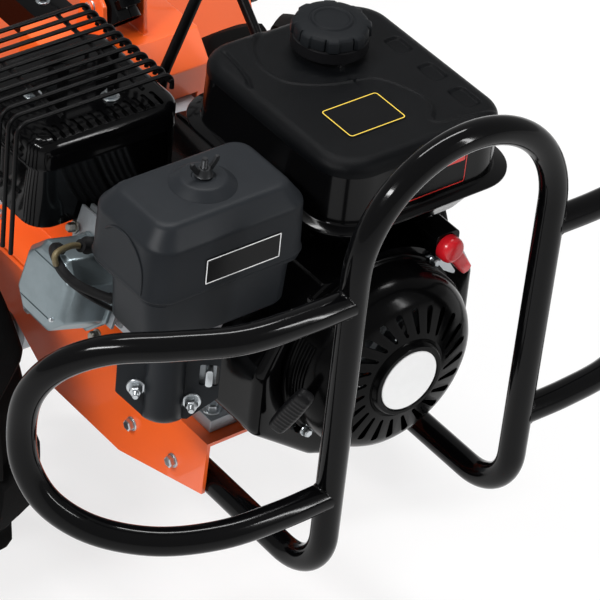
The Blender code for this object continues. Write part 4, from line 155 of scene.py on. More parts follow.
LUG_LEAN = 0.22
AXLE_X = -0.276
WHEEL_R = 0.205
AXLE_Z = -0.206
TINE_X = -0.7
TINE_Z = -0.215
TINE_FLANGES = (0.118, 0.236)
TINE_SWEEP = 0.044
TINE_CASE_HALF = 0.038
TINE_SHAFT_R = 0.014
BLADES = 4
HOOD_HALF = 0.35
KNOB_AT = (-0.532, -0.108)
ROD_R = 0.0055
SHIFT_X = -0.2095
DRIVE_PIVOT = (-0.225, -0.045)
DRIVE_ROD_Y = 0.187
LEVER_X = -1.03
LEVER_DROP = 0.046
STAKE_X = -0.885
SCREW_Z = 0.07
PIVOT_X = -0.285
PIVOT_Z = 0.134
HEAD_X = -0.66
HEAD_Z = 0.5
BAR_HALF = 0.29
BAR_R = 0.013
MAST_R = 0.019
GRIP_REAR = -1.19
GRIP_FRONT = -1.07
GRIP_Z = 0.56
GRIP_R = 0.017

# Camera, fitted to the picture in machine coordinates
CAMERA_AT = Vector((2.03713, -1.74742, 2.02007))
CAMERA_RIGHT = Vector((0.60141, 0.79401, 0.0886))
CAMERA_UP = Vector((-0.52868, 0.31237, 0.78925))
LENS = 218.585


# Shading


def new_group(name, mask, **inputs):
    """A shader node group with named numbers in; roughness, normal and a mask out; and its input sockets."""
    tree = bpy.data.node_groups.new(name, "ShaderNodeTree")
    for label, value in inputs.items():
        socket = tree.interface.new_socket(name=spaced(label), in_out="INPUT", socket_type="NodeSocketFloat")
        socket.default_value = value
    for label, kind in (("Roughness", "Float"), ("Normal", "Vector"), (mask, "Float")):
        tree.interface.new_socket(name=label, in_out="OUTPUT", socket_type="NodeSocket" + kind)
    return tree, node(tree, "NodeGroupInput").outputs


def node(tree, kind, inputs=None, **settings):
    """A node with its settings; an input is a plain value, or the socket that feeds it."""
    made = tree.nodes.new(kind)
    for key, value in settings.items():
        setattr(made, key, value)
    for label, value in (inputs or {}).items():
        if isinstance(value, bpy.types.NodeSocket):
            feed(tree, value, made.inputs[label])
        else:
            made.inputs[label].default_value = value
    return made


def feed(tree, source, target):
    tree.links.new(source, target)


def spaced(label):
    """A socket's name from a keyword."""
    return label.replace("_", " ")


def maths(tree, operation, *values, **settings):
    """The result of a Math node on numbers and sockets."""
    made = node(tree, "ShaderNodeMath", dict(enumerate(values)), operation=operation, **settings)
    return made.outputs["Value"]


def between(tree, value, low, high):
    """Where a value stands between two levels, from 0 to 1."""
    levels = {"Value": value, "From Min": low, "From Max": high}
    return node(tree, "ShaderNodeMapRange", levels).outputs["Result"]


def relief(tree, height, strength, distance):
    """The normal of a surface that a height changes."""
    inputs = {"Height": height, "Strength": strength, "Distance": distance}
    return node(tree, "ShaderNodeBump", inputs).outputs["Normal"]


def noise(tree, scale, detail=3.0, rough=0.55):
    """Noise that reads the piece's own coordinates."""
    where = node(tree, "ShaderNodeTexCoord").outputs["Object"]
    inputs = {"Vector": where, "Scale": scale, "Detail": detail, "Roughness": rough}
    return node(tree, "ShaderNodeTexNoise", inputs).outputs["Fac"]


def paint_skin_group():
    """Sprayed paint: a slow wave of orange peel, with dust specks and wiped patches that dull the gloss."""
    tree, given = new_group(
        "paint_skin", "Dust Mask", Peel_Size=260.0, Peel=0.05, Gloss=0.16, Smudge=0.12, Dust=0.0
    )
    peel = noise(tree, given["Peel Size"], 1.5)
    wiped = between(tree, noise(tree, 9.0, 5.0, 0.6), 0.38, 0.72)
    specks = between(tree, noise(tree, 55.0, 8.0, 0.75), 0.52, 0.8)
    dulled = maths(tree, "MULTIPLY_ADD", wiped, given["Smudge"], given["Gloss"])
    dust = maths(tree, "MULTIPLY", specks, given["Dust"])
    node(tree, "NodeGroupOutput", {
        "Roughness": maths(tree, "ADD", dulled, dust, use_clamp=True),
        "Normal": relief(tree, peel, given["Peel"], 0.0006),
        "Dust Mask": dust,
    })
    return tree


def grain_group():
    """Moulded or cast grain: two sizes of bump, a mottle for the colour and a change of roughness with it."""
    tree, given = new_group(
        "surface_grain", "Mottle", Coarse_Size=300.0, Fine_Size=1400.0, Depth=0.3, Base_Roughness=0.5,
        Change=0.15
    )
    height = maths(tree, "ADD", noise(tree, given["Coarse Size"], 3.0), noise(tree, given["Fine Size"], 2.0))
    patches = noise(tree, 28.0, 6.0, 0.65)
    node(tree, "NodeGroupOutput", {
        "Roughness": maths(tree, "MULTIPLY_ADD", patches, given["Change"], given["Base Roughness"]),
        "Normal": relief(tree, height, given["Depth"], 0.0005),
        "Mottle": patches,
    })
    return tree


def brushed_group():
    """Turned or rolled metal: long fine scratches along one axis."""
    tree, given = new_group(
        "brushed", "Streak", Along_X=40.0, Along_Y=40.0, Along_Z=900.0, Depth=0.12, Base_Roughness=0.3
    )
    where = node(tree, "ShaderNodeTexCoord").outputs["Object"]
    stretch = node(tree, "ShaderNodeCombineXYZ", {axis: given["Along " + axis] for axis in "XYZ"})
    factors = {0: where, 1: stretch.outputs["Vector"]}
    scaled = node(tree, "ShaderNodeVectorMath", factors, operation="MULTIPLY")
    scratches = {"Vector": scaled.outputs["Vector"], "Scale": 1.0, "Detail": 4.0}
    streak = node(tree, "ShaderNodeTexNoise", scratches).outputs["Fac"]
    node(tree, "NodeGroupOutput", {
        "Roughness": maths(tree, "MULTIPLY_ADD", streak, 0.22, given["Base Roughness"]),
        "Normal": relief(tree, streak, given["Depth"], 0.0003),
        "Streak": streak,
    })
    return tree


PAINT_SKIN = paint_skin_group()
GRAIN = grain_group()
BRUSHED = brushed_group()


def blank_material(name):
    made = bpy.data.materials.new(name)
    made.use_nodes = True
    return made, made.node_tree, made.node_tree.nodes["Principled BSDF"]


def surfaced(name, group, mask, colours, values, plain):
    """A material whose mix of two colours, roughness and relief come from a surface group."""
    made, tree, shader = blank_material(name)
    given = {spaced(label): value for label, value in values.items()}
    surface = node(tree, "ShaderNodeGroup", given, node_tree=group).outputs
    first, second = colours
    mixed = {"Factor": surface[mask], "A": (*first, 1.0), "B": (*second, 1.0)}
    feed(
        tree, node(tree, "ShaderNodeMix", mixed, data_type="RGBA").outputs["Result"],
        shader.inputs["Base Color"]
    )
    for label in ("Roughness", "Normal"):
        feed(tree, surface[label], shader.inputs[label])
    for label, value in plain.items():
        shader.inputs[label].default_value = value
    return made


def painted(name, colour, dust_colour, coat=0.5, specular=0.5, **skin):
    """Enamel over metal: its colour with dust in the specks, and the sprayed skin."""
    plain = {"Coat Weight": coat, "Coat Roughness": 0.04, "Specular IOR Level": specular}
    return surfaced(name, PAINT_SKIN, "Dust Mask", (colour, dust_colour), skin, plain)


def grained(name, dark, light, metallic=0.0, specular=0.5, **grain):
    """Moulded plastic, rubber or casting: a mottled colour with its grain."""
    plain = {"Metallic": metallic, "Specular IOR Level": specular}
    return surfaced(name, GRAIN, "Mottle", (dark, light), grain, plain)


def machined(name, dark, light, **streaks):
    """Bare metal with the marks of its making."""
    return surfaced(name, BRUSHED, "Streak", (dark, light), streaks, {"Metallic": 1.0})


LOOKS = {
    "gloss_black": painted("gloss_black_enamel", (0.0014, 0.0014, 0.0016), (0.01, 0.01, 0.01), 0.05, 0.11,
                           Peel_Size=170.0, Peel=0.03, Gloss=0.1, Smudge=0.05, Dust=0.05),
    "tank_black": painted("tank_enamel", (0.0018, 0.0018, 0.002), (0.01, 0.01, 0.01), 0.05, 0.13,
                          Peel_Size=240.0, Peel=0.04, Gloss=0.11, Smudge=0.06, Dust=0.04),
    "textured_black": grained("tank_top_texture", (0.001, 0.0011, 0.0014), (0.003, 0.0034, 0.004), 0.0, 0.06,
                              Coarse_Size=650.0, Fine_Size=2400.0, Depth=0.4, Base_Roughness=0.27,
                              Change=0.2),
    "starter_black": painted("starter_enamel", (0.0009, 0.0009, 0.001), (0.006, 0.006, 0.006), 0.0, 0.07,
                             Peel_Size=320.0, Peel=0.06, Gloss=0.16, Smudge=0.06, Dust=0.05),
    "dark_bolt": grained("dark_bolt", (0.012, 0.012, 0.013), (0.04, 0.042, 0.045), 0.75,
                         Coarse_Size=240.0, Fine_Size=900.0, Depth=0.15, Base_Roughness=0.3, Change=0.2),
    "rocker_silver": grained("rocker_silver", (0.13, 0.16, 0.172), (0.27, 0.32, 0.34), 0.85,
                             Coarse_Size=160.0, Fine_Size=1100.0, Depth=0.12, Base_Roughness=0.26,
                             Change=0.12),
    "woven_sleeve": grained("woven_sleeve", (0.055, 0.042, 0.02), (0.16, 0.125, 0.06), 0.35,
                            Coarse_Size=900.0, Fine_Size=1800.0, Depth=0.5, Base_Roughness=0.34, Change=0.2),
    "satin_black": painted("satin_black_paint", (0.0016, 0.0016, 0.0018), (0.01, 0.01, 0.01), 0.0, 0.1,
                           Peel_Size=420.0, Peel=0.12, Gloss=0.3, Smudge=0.14, Dust=0.1),
    "orange": painted("orange_enamel", (0.74, 0.098, 0.01), (0.55, 0.15, 0.06), 0.35,
                      Peel_Size=210.0, Peel=0.06, Gloss=0.3, Smudge=0.1, Dust=0.06),
    "silver_paint": painted("silver_enamel", (0.42, 0.46, 0.49), (0.34, 0.35, 0.35), 0.2,
                            Peel_Size=520.0, Peel=0.22, Gloss=0.3, Smudge=0.1, Dust=0.1),
    "cast_alloy": grained("cast_alloy", (0.26, 0.28, 0.3), (0.42, 0.44, 0.46), 0.85,
                          Coarse_Size=420.0, Fine_Size=1500.0, Depth=0.5, Base_Roughness=0.34, Change=0.22),
    "filter_cover": grained("charcoal_moulding", (0.0098, 0.0112, 0.0132), (0.0135, 0.0152, 0.0176),
                            0.0, 0.085,
                            Coarse_Size=900.0, Fine_Size=3200.0, Depth=0.16, Base_Roughness=0.3, Change=0.16),
    "black_plastic": grained("black_moulding", (0.0028, 0.0028, 0.0032), (0.0062, 0.0062, 0.007), 0.0, 0.12,
                             Coarse_Size=700.0, Fine_Size=2600.0, Depth=0.2, Base_Roughness=0.36,
                             Change=0.16),
    "cap_plastic": grained("cap_moulding", (0.0046, 0.0054, 0.0064), (0.0082, 0.0092, 0.0106), 0.0, 0.07,
                           Coarse_Size=800.0, Fine_Size=2800.0, Depth=0.26, Base_Roughness=0.4, Change=0.16),
    "red_plastic": grained("red_moulding", (0.5, 0.006, 0.012), (0.6, 0.01, 0.018), 0.0,
                           Coarse_Size=300.0, Fine_Size=1200.0, Depth=0.06, Base_Roughness=0.2, Change=0.1),
    "black_rubber": grained("moulded_rubber", (0.003, 0.003, 0.0032), (0.0085, 0.0085, 0.009), 0.0, 0.12,
                            Coarse_Size=500.0, Fine_Size=1900.0, Depth=0.3, Base_Roughness=0.52, Change=0.2),
    "tyre_rubber": grained("tyre_rubber", (0.0016, 0.0016, 0.0018), (0.0055, 0.0054, 0.0053), 0.0, 0.05,
                           Coarse_Size=260.0, Fine_Size=1100.0, Depth=0.45, Base_Roughness=0.58, Change=0.26),
    "filter_foam": grained("filter_paper", (0.6, 0.5, 0.3), (0.78, 0.7, 0.48), 0.0,
                           Coarse_Size=300.0, Fine_Size=900.0, Depth=0.6, Base_Roughness=0.8, Change=0.1),
    "cable_sheath": grained("grey_sheath", (0.3, 0.3, 0.31), (0.42, 0.42, 0.43), 0.0,
                            Coarse_Size=400.0, Fine_Size=1400.0, Depth=0.1, Base_Roughness=0.26, Change=0.14),
    "zinc": machined("bright_zinc", (0.46, 0.49, 0.51), (0.6, 0.63, 0.65),
                     Along_X=90.0, Along_Y=90.0, Along_Z=110.0, Depth=0.02, Base_Roughness=0.2),
    "steel": machined("machined_steel", (0.34, 0.34, 0.35), (0.56, 0.56, 0.57),
                      Along_X=60.0, Along_Y=900.0, Along_Z=60.0, Depth=0.14, Base_Roughness=0.22),
    "zinc_dark": machined("yellowed_zinc", (0.16, 0.15, 0.13), (0.34, 0.32, 0.29),
                          Along_X=260.0, Along_Y=260.0, Along_Z=200.0, Depth=0.12, Base_Roughness=0.24),
    "label_black": grained("label_film", (0.002, 0.002, 0.0022), (0.0036, 0.0036, 0.004), 0.0, 0.1,
                           Coarse_Size=260.0, Fine_Size=1500.0, Depth=0.03, Base_Roughness=0.2, Change=0.06),
    "label_white": grained("printed_white", (0.72, 0.72, 0.72), (0.84, 0.84, 0.84), 0.0,
                           Coarse_Size=400.0, Fine_Size=1500.0, Depth=0.03, Base_Roughness=0.34, Change=0.06),
    "label_yellow": grained("printed_yellow", (0.62, 0.42, 0.04), (0.76, 0.54, 0.07), 0.0,
                            Coarse_Size=400.0, Fine_Size=1500.0, Depth=0.03, Base_Roughness=0.34,
                            Change=0.06),
    "label_red": grained("printed_red", (0.45, 0.014, 0.01), (0.6, 0.022, 0.014), 0.0,
                         Coarse_Size=400.0, Fine_Size=1500.0, Depth=0.03, Base_Roughness=0.3, Change=0.06),
    "tine_steel": painted("dipped_steel", (0.013, 0.013, 0.013), (0.14, 0.12, 0.1), 0.0,
                          Peel_Size=330.0, Peel=0.2, Gloss=0.36, Smudge=0.24, Dust=0.3),
}


# Mesh making


def on_circle(radius, angle):
    """Both coordinates of a point on a circle."""
    return radius * math.cos(angle), radius * math.sin(angle)


def turns(count, shift=0.0):
    """Angles spread evenly once round."""
    return [2 * math.pi * (k + shift) / count for k in range(count)]


def cylinder_between(bm, radius, start, end, steps=32):
    start, end = Vector(start), Vector(end)
    length = (end - start).length
    turned(bm, ((0, 0), (radius, 0), (radius, length), (0, length)), start, end - start, steps)


def axis_frame(origin, direction):
    """A matrix that carries local +Z onto a direction, with its origin at a point."""
    turn = Vector((0, 0, 1)).rotation_difference(Vector(direction).normalized())
    return Matrix.Translation(Vector(origin)) @ turn.to_matrix().to_4x4()


def box(bm, low, high, place=None):
    corners = [Vector(corner) for corner in itertools.product(*zip(low, high))]
    if place is not None:
        corners = [place @ corner for corner in corners]
    verts = [bm.verts.new(corner) for corner in corners]
    for quad in ((0, 1, 3, 2), (4, 6, 7, 5), (0, 4, 5, 1), (2, 3, 7, 6), (0, 2, 6, 4), (1, 5, 7, 3)):
        bm.faces.new([verts[i] for i in quad])


def join_rings(bm, rings, closed=False):
    """Faces from each ring of points to the next, and from the last to the first if asked."""
    following = rings[1:] + rings[:1] if closed else rings[1:]
    for near, far in zip(rings, following):
        for i in range(len(near)):
            j = (i + 1) % len(near)
            bm.faces.new((near[i], near[j], far[j], far[i]))


def loft(bm, loops):
    """A skin through loops that have the same number of points, closed at both ends."""
    rings = [[bm.verts.new(point) for point in loop] for loop in loops]
    join_rings(bm, rings)
    bm.faces.new(list(reversed(rings[0])))
    bm.faces.new(rings[-1])


def ring_skin(bm, loops):
    """A closed skin whose last loop meets its first, as round a window."""
    join_rings(bm, [[bm.verts.new(point) for point in loop] for loop in loops], closed=True)


def along_axis(axis, u, v, w):
    """A point from its two coordinates across an axis and its place along it."""
    if axis == "X":
        return Vector((w, u, v))
    if axis == "Y":
        return Vector((u, w, v))
    return Vector((u, v, w))


def prism(bm, outline, axis, low, high, place=None):
    loops = []
    for w in (low, high):
        loop = [along_axis(axis, u, v, w) for u, v in outline]
        if place is not None:
            loop = [place @ point for point in loop]
        loops.append(loop)
    loft(bm, loops)


def turned(bm, profile, origin, direction, steps=64):
    """A solid turned about a line from a closed outline of (radius, distance along the line)."""
    place = axis_frame(origin, direction)
    columns = []
    for radius, along in profile:
        if radius == 0:
            columns.append([bm.verts.new(place @ Vector((0, 0, along)))])
            continue
        ring = []
        for angle in turns(steps):
            ring.append(bm.verts.new(place @ Vector((*on_circle(radius, angle), along))))
        columns.append(ring)
    for a, b in zip(columns, columns[1:] + columns[:1]):
        if len(a) == 1 and len(b) == 1:
            continue
        for i in range(steps):
            j = (i + 1) % steps
            corners = (a[i % len(a)], a[j % len(a)], b[j % len(b)], b[i % len(b)])
            bm.faces.new(list(dict.fromkeys(corners)))


def tube(bm, points, radius, wall=0.0, sides=32):
    """A bent tube that is open at its ends, or a solid rod where it has no wall."""
    points = [Vector(point) for point in points]
    tangents = []
    for i in range(len(points)):
        before = points[max(i - 1, 0)]
        after = points[min(i + 1, len(points) - 1)]
        tangents.append((after - before).normalized())
    side = tangents[0].orthogonal().normalized()
    skins = [[] for _ in range(2 if wall else 1)]
    for i, (point, tangent) in enumerate(zip(points, tangents)):
        if i:
            side = tangents[i - 1].rotation_difference(tangent) @ side
        side = (side - tangent * side.dot(tangent)).normalized()
        other = tangent.cross(side)
        for skin, size in zip(skins, (radius, radius - wall)):
            ring = []
            for angle in turns(sides):
                away = side * size * math.cos(angle) + other * size * math.sin(angle)
                ring.append(bm.verts.new(point + away))
            skin.append(ring)
    for skin in skins:
        join_rings(bm, skin)
    for end in (0, -1):
        if wall:
            join_rings(bm, [skins[0][end], skins[1][end]])
        else:
            bm.faces.new(skins[0][end])


def bent_path(corners, radius, steps=12):
    """Points along straight runs whose corners are rounded to one bend radius."""
    corners = [Vector(corner) for corner in corners]
    path = [corners[0]]
    for before, corner, after in zip(corners, corners[1:], corners[2:]):
        back = (before - corner).normalized()
        ahead = (after - corner).normalized()
        half = back.angle(ahead) / 2
        centre = corner + (back + ahead).normalized() * (radius / math.sin(half))
        reach = radius / math.tan(half)
        first = corner + back * reach - centre
        last = corner + ahead * reach - centre
        for k in range(steps + 1):
            path.append(centre + first.normalized().slerp(last.normalized(), k / steps).normalized() * radius)
    path.append(corners[-1])
    return path


def smooth_curve(points, per_span=10):
    """Points on one smooth curve through the points given."""
    points = [Vector(point) for point in points]
    padded = [points[0] * 2 - points[1]] + points + [points[-1] * 2 - points[-2]]
    path = []
    for a, b, c, d in zip(padded, padded[1:], padded[2:], padded[3:]):
        for k in range(per_span):
            t = k / per_span
            squared = (2 * a - 5 * b + 4 * c - d) * t**2
            cubed = (3 * b - a - 3 * c + d) * t**3
            path.append(0.5 * (2 * b + (c - a) * t + squared + cubed))
    path.append(points[-1])
    return path


def rounded_rectangle(low_u, high_u, low_v, high_v, radius, steps=8):
    outline = []
    centres = (
        (high_u - radius, high_v - radius, 0),
        (low_u + radius, high_v - radius, 90),
        (low_u + radius, low_v + radius, 180),
        (high_u - radius, low_v + radius, 270),
    )
    for u, v, start in centres:
        for k in range(steps + 1):
            angle = math.radians(start + 90 * k / steps)
            outline.append((u + radius * math.cos(angle), v + radius * math.sin(angle)))
    return outline


def rounded_corners(outline, radius, steps=6):
    """An outline in a plane whose corners are rounded."""
    count = len(outline)
    rounded = []
    for i in range(count):
        before = Vector((*outline[i - 1], 0))
        corner = Vector((*outline[i], 0))
        after = Vector((*outline[(i + 1) % count], 0))
        bend = bent_path((before, corner, after), radius, steps)[1:-1]
        rounded += [(point.x, point.y) for point in bend]
    return rounded


def inset_outline(outline, distance):
    """An outline moved inward by one distance along its own normals."""
    count = len(outline)
    area = sum(outline[i - 1][0] * outline[i][1] - outline[i][0] * outline[i - 1][1] for i in range(count))
    hand = 1 if area > 0 else -1
    moved = []
    for i in range(count):
        before = Vector(outline[i - 1])
        after = Vector(outline[(i + 1) % count])
        along = (after - before).normalized()
        moved.append((outline[i][0] - hand * along.y * distance, outline[i][1] + hand * along.x * distance))
    return moved


def thread(radius, depth, start, end, pitch, crest, root):
    """The saw-tooth outline of a rolled thread, as (radius, distance along it)."""
    teeth = []
    along = start
    while along < end:
        teeth += [(radius, along + crest), (radius - depth, along + root)]
        along += pitch
    return teeth


# Finishing


def plain_mesh(bm, name):
    bmesh.ops.remove_doubles(bm, verts=bm.verts, dist=1e-6)
    bmesh.ops.recalc_face_normals(bm, faces=bm.faces)
    bmesh.ops.translate(bm, verts=bm.verts, vec=MACHINE)
    mesh = bpy.data.meshes.new(name)
    bm.to_mesh(mesh)
    bm.free()
    return mesh


def carve(bm, cutter, operation="DIFFERENCE"):
    """The first shape after a Boolean with the second, both in machine coordinates."""
    objects = []
    for part in (bm, cutter):
        objects.append(bpy.data.objects.new("shaping", plain_mesh(part, "shaping")))
        bpy.context.collection.objects.link(objects[-1])
    step = objects[0].modifiers.new("carve", "BOOLEAN")
    step.operation = operation
    step.object = objects[1]
    step.solver = "EXACT"
    step.use_self = True
    graph = bpy.context.evaluated_depsgraph_get()
    made = bmesh.new()
    made.from_mesh(objects[0].evaluated_get(graph).data)
    bmesh.ops.translate(made, verts=made.verts, vec=-MACHINE)
    for old in objects:
        mesh = old.data
        bpy.data.objects.remove(old)
        bpy.data.meshes.remove(mesh)
    return made


def finished(name, mesh, look, body, slot=None, replaces=(), crease=32, edge=0.0, subdivide=0):
    """A finished piece: smooth-shaded, with softened edges where asked, riding on its body."""
    mesh.name = name
    mesh.materials.clear()
    mesh.materials.append(LOOKS[look])
    mesh.shade_smooth()
    mesh.set_sharp_from_angle(angle=math.radians(crease))
    made = bpy.data.objects.new(name, mesh)
    bpy.context.collection.objects.link(made)
    if edge:
        soften = made.modifiers.new("soft_edges", "BEVEL")
        soften.width = edge
        soften.segments = 2
        soften.limit_method = "ANGLE"
        soften.angle_limit = math.radians(crease)
        soften.harden_normals = True
    if subdivide:
        smooth = made.modifiers.new("smooth_form", "SUBSURF")
        smooth.levels = subdivide
        smooth.render_levels = subdivide
    if replaces:
        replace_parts(made, *replaces)
    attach(made, body)
    return made


def piece(name, bm, look, body, slot=None, replaces=(), **finish):
    return finished(name, plain_mesh(bm, name), look, body, slot, replaces, **finish)


def stand_in(name, bm, look, cad_node, **finish):
    """A piece that is shown in a CAD node's place."""
    return piece(name, bm, look, BODY_OF[cad_node], SLOT_OF[cad_node], (cad_node,), **finish)


def beside(name, bm, look, cad_node, **finish):
    """A piece that rides with a CAD node."""
    return piece(name, bm, look, BODY_OF[cad_node], SLOT_OF[cad_node], **finish)


def from_cad(cad_node, look, body, slot, edge=0.0008, crease=32):
    """The CAD node's own shape with its coplanar triangles joined and its edges softened."""
    bm = bmesh.new()
    bm.from_mesh(frame["nodes"][cad_node].data)
    bmesh.ops.remove_doubles(bm, verts=bm.verts, dist=2e-6)
    bmesh.ops.dissolve_limit(
        bm, angle_limit=math.radians(1.5), verts=bm.verts, edges=bm.edges, use_dissolve_boundaries=False
    )
    mesh = bpy.data.meshes.new(cad_node + "_look")
    bm.to_mesh(mesh)
    bm.free()
    return finished(cad_node + "_look", mesh, look, body, slot, (cad_node,), crease=crease, edge=edge)


BODY_OF = {
    member: body for body, members in frame["record"]["behaviour"]["bodies"].items() for member in members
}
SLOT_OF = {row["node"]: row["material_slot"] for row in frame["record"]["subparts"]}


# Geometry nodes


def tree_for(name, **numbers):
    """A geometry node tree that takes points, named numbers and a material, and its input sockets."""
    tree = bpy.data.node_groups.new(name, "GeometryNodeTree")
    tree.interface.new_socket(name="Geometry", in_out="INPUT", socket_type="NodeSocketGeometry")
    for label, value in numbers.items():
        kind = "NodeSocketInt" if isinstance(value, int) else "NodeSocketFloat"
        socket = tree.interface.new_socket(name=spaced(label), in_out="INPUT", socket_type=kind)
        socket.default_value = value
    tree.interface.new_socket(name="Material", in_out="INPUT", socket_type="NodeSocketMaterial")
    tree.interface.new_socket(name="Geometry", in_out="OUTPUT", socket_type="NodeSocketGeometry")
    return tree, node(tree, "NodeGroupInput").outputs


def end_tree(tree, given, shape, **more):
    """Every tree ends alike: the shape on each point, turned to its facing, made real, with its material."""
    facing = node(tree, "GeometryNodeInputNamedAttribute", {"Name": "facing"}, data_type="FLOAT_VECTOR")
    turn = node(tree, "FunctionNodeAlignRotationToVector", {"Vector": facing.outputs["Attribute"]}, axis="Z")
    inputs = {"Points": given["Geometry"], "Instance": shape, "Rotation": turn.outputs["Rotation"], **more}
    placed = node(tree, "GeometryNodeInstanceOnPoints", inputs).outputs["Instances"]
    real = node(tree, "GeometryNodeRealizeInstances", {"Geometry": placed}).outputs["Geometry"]
    coated = node(tree, "GeometryNodeSetMaterial", {"Geometry": real, "Material": given["Material"]})
    node(tree, "NodeGroupOutput", {"Geometry": coated.outputs["Geometry"]})


def grow(mesh, tree, **values):
    """The mesh that a tree makes from a mesh, with the tree's inputs set by name."""
    holder = bpy.data.objects.new("grown", mesh)
    bpy.context.collection.objects.link(holder)
    step = holder.modifiers.new("grown", "NODES")
    step.node_group = tree
    wanted = {spaced(label): value for label, value in values.items()}
    for socket in tree.interface.items_tree:
        if socket.in_out == "INPUT" and socket.name in wanted:
            step[socket.identifier] = wanted.pop(socket.name)
    assert not wanted, wanted
    graph = bpy.context.evaluated_depsgraph_get()
    made = bpy.data.meshes.new_from_object(holder.evaluated_get(graph))
    bpy.data.objects.remove(holder)
    return made


def placed_points(name, places):
    """A mesh of lone points in machine coordinates, each with the direction that its instance faces."""
    mesh = bpy.data.meshes.new(name)
    mesh.from_pydata([Vector(at) + MACHINE for at, _ in places], [], [])
    facing = mesh.attributes.new("facing", "FLOAT_VECTOR", "POINT")
    for item, (_, out) in zip(facing.data, places):
        item.vector = Vector(out).normalized()
    return mesh


def cone(tree, corners, top, bottom, depth):
    inputs = {"Vertices": corners, "Radius Top": top, "Radius Bottom": bottom, "Depth": depth}
    return node(tree, "GeometryNodeMeshCone", inputs).outputs["Mesh"]


def lifted(tree, shape, height):
    up = node(tree, "ShaderNodeCombineXYZ", {"Z": height}).outputs["Vector"]
    return node(tree, "GeometryNodeTransform", {"Geometry": shape, "Translation": up}).outputs["Geometry"]


def fastener_tree():
    """A flanged hex screw on every point: a tapered flange, a hexagon and its chamfered cap."""
    tree, given = tree_for(
        "flanged_screws", Across=0.01, Head_Height=0.005, Flange=0.013, Flange_Height=0.0015, Dome=0.75
    )
    seat = given["Flange Height"]
    flange_top = maths(tree, "MULTIPLY", given["Flange"], 0.46)
    flange = cone(tree, 32, flange_top, maths(tree, "MULTIPLY", given["Flange"], 0.5), seat)
    corner = maths(tree, "MULTIPLY", given["Across"], 0.5774)
    straight = maths(tree, "MULTIPLY", given["Head Height"], 0.82)
    head = cone(tree, 6, corner, corner, straight)
    cap_corner = maths(tree, "MULTIPLY", corner, given["Dome"])
    cap = cone(tree, 6, cap_corner, corner, maths(tree, "MULTIPLY", given["Head Height"], 0.18))
    whole = node(tree, "GeometryNodeJoinGeometry")
    for solid in (flange, lifted(tree, head, seat), lifted(tree, cap, maths(tree, "ADD", seat, straight))):
        feed(tree, solid, whole.inputs["Geometry"])
    end_tree(tree, given, whole.outputs["Geometry"])
    return tree


def weld_tree():
    """A weld bead: overlapping flattened drops, one on every point, turned to face out of the seam."""
    tree, given = tree_for("weld_bead", Drop_Radius=0.0028, Flatness=0.55, Seed=7)
    drop = node(tree, "GeometryNodeMeshIcoSphere", {"Subdivisions": 3, "Radius": given["Drop Radius"]})
    squash = node(tree, "ShaderNodeCombineXYZ", {"X": 1.0, "Y": 1.0, "Z": given["Flatness"]})
    shape = {"Geometry": drop.outputs["Mesh"], "Scale": squash.outputs["Vector"]}
    flat = node(tree, "GeometryNodeTransform", shape)
    vary = node(tree, "FunctionNodeRandomValue", {2: 0.85, 3: 1.18, "Seed": given["Seed"]}, data_type="FLOAT")
    end_tree(tree, given, flat.outputs["Geometry"], Scale=vary.outputs[1])
    return tree


FLANGED_SCREWS = fastener_tree()
WELD_BEAD = weld_tree()


def screws(
    name, places, look, body, slot, across=0.01, head=0.005, flange=0.013, flange_height=0.0015, dome=0.75
):
    """Flanged screws or nuts at (place, direction) pairs."""
    mesh = grow(
        placed_points(name, places), FLANGED_SCREWS, Across=across, Head_Height=head, Flange=flange,
        Flange_Height=flange_height, Dome=dome, Material=LOOKS[look],
    )
    return finished(name, mesh, look, body, slot, edge=across * 0.03)


def weld(name, places, look, body, slot, drop=0.0026, flatness=0.6):
    mesh = grow(
        placed_points(name, places), WELD_BEAD, Drop_Radius=drop, Flatness=flatness, Seed=11,
        Material=LOOKS[look]
    )
    return finished(name, mesh, look, body, slot, crease=60)


# Frame and guards


def hoop_path():
    """From the rear end of the right lower tube, up, over the engine and back under the left side."""
    low_right = (LOWER_TUBE_REAR, -HOOP_HALF, LOWER_TUBE_Z)
    corner = (HOOP_X, -HOOP_HALF, LOWER_TUBE_Z)
    arch_z = HOOP_TOP - HOOP_HALF
    rise = bent_path((low_right, corner, (HOOP_X, -HOOP_HALF, arch_z)), LOWER_BEND_R, 14)
    steps = 44
    arch = []
    for k in range(1, steps):
        angle = math.pi * (1 - k / steps)
        arch.append(Vector((HOOP_X, HOOP_HALF * math.cos(angle), arch_z + HOOP_HALF * math.sin(angle))))
    fall = [Vector((point.x, -point.y, point.z)) for point in reversed(rise)]
    return rise + arch + fall


def loop_path(side):
    """One side loop: out from the hoop, round its swept end and back in below."""
    middle = (LOOP_HIGH_Z + LOOP_LOW_Z) / 2
    half = (LOOP_HIGH_Z - LOOP_LOW_Z) / 2
    plan = ((HOOP_X, -HOOP_HALF - 0.004), (HOOP_X, -0.165), (0.217, -0.222), (0.195, -0.275))
    upper = [Vector((x, y, LOOP_HIGH_Z)) for x, y in plan]
    start = upper[-1]
    tip = Vector((LOOP_REAR_X, -LOOP_REACH, middle))
    arc = []
    for k in range(1, 8):
        angle = math.pi / 2 * (1 - k / 4)
        spread = math.cos(angle)
        x = start.x + (tip.x - start.x) * spread
        y = start.y + (tip.y - start.y) * (1 - (1 - spread) ** 1.35)
        arc.append(Vector((x, y, middle + half * math.sin(angle))))
    lower = [Vector((x, y, LOOP_LOW_Z)) for x, y in reversed(plan)]
    return [Vector((point.x, point.y * side, point.z)) for point in smooth_curve(upper + arc + lower, 8)]


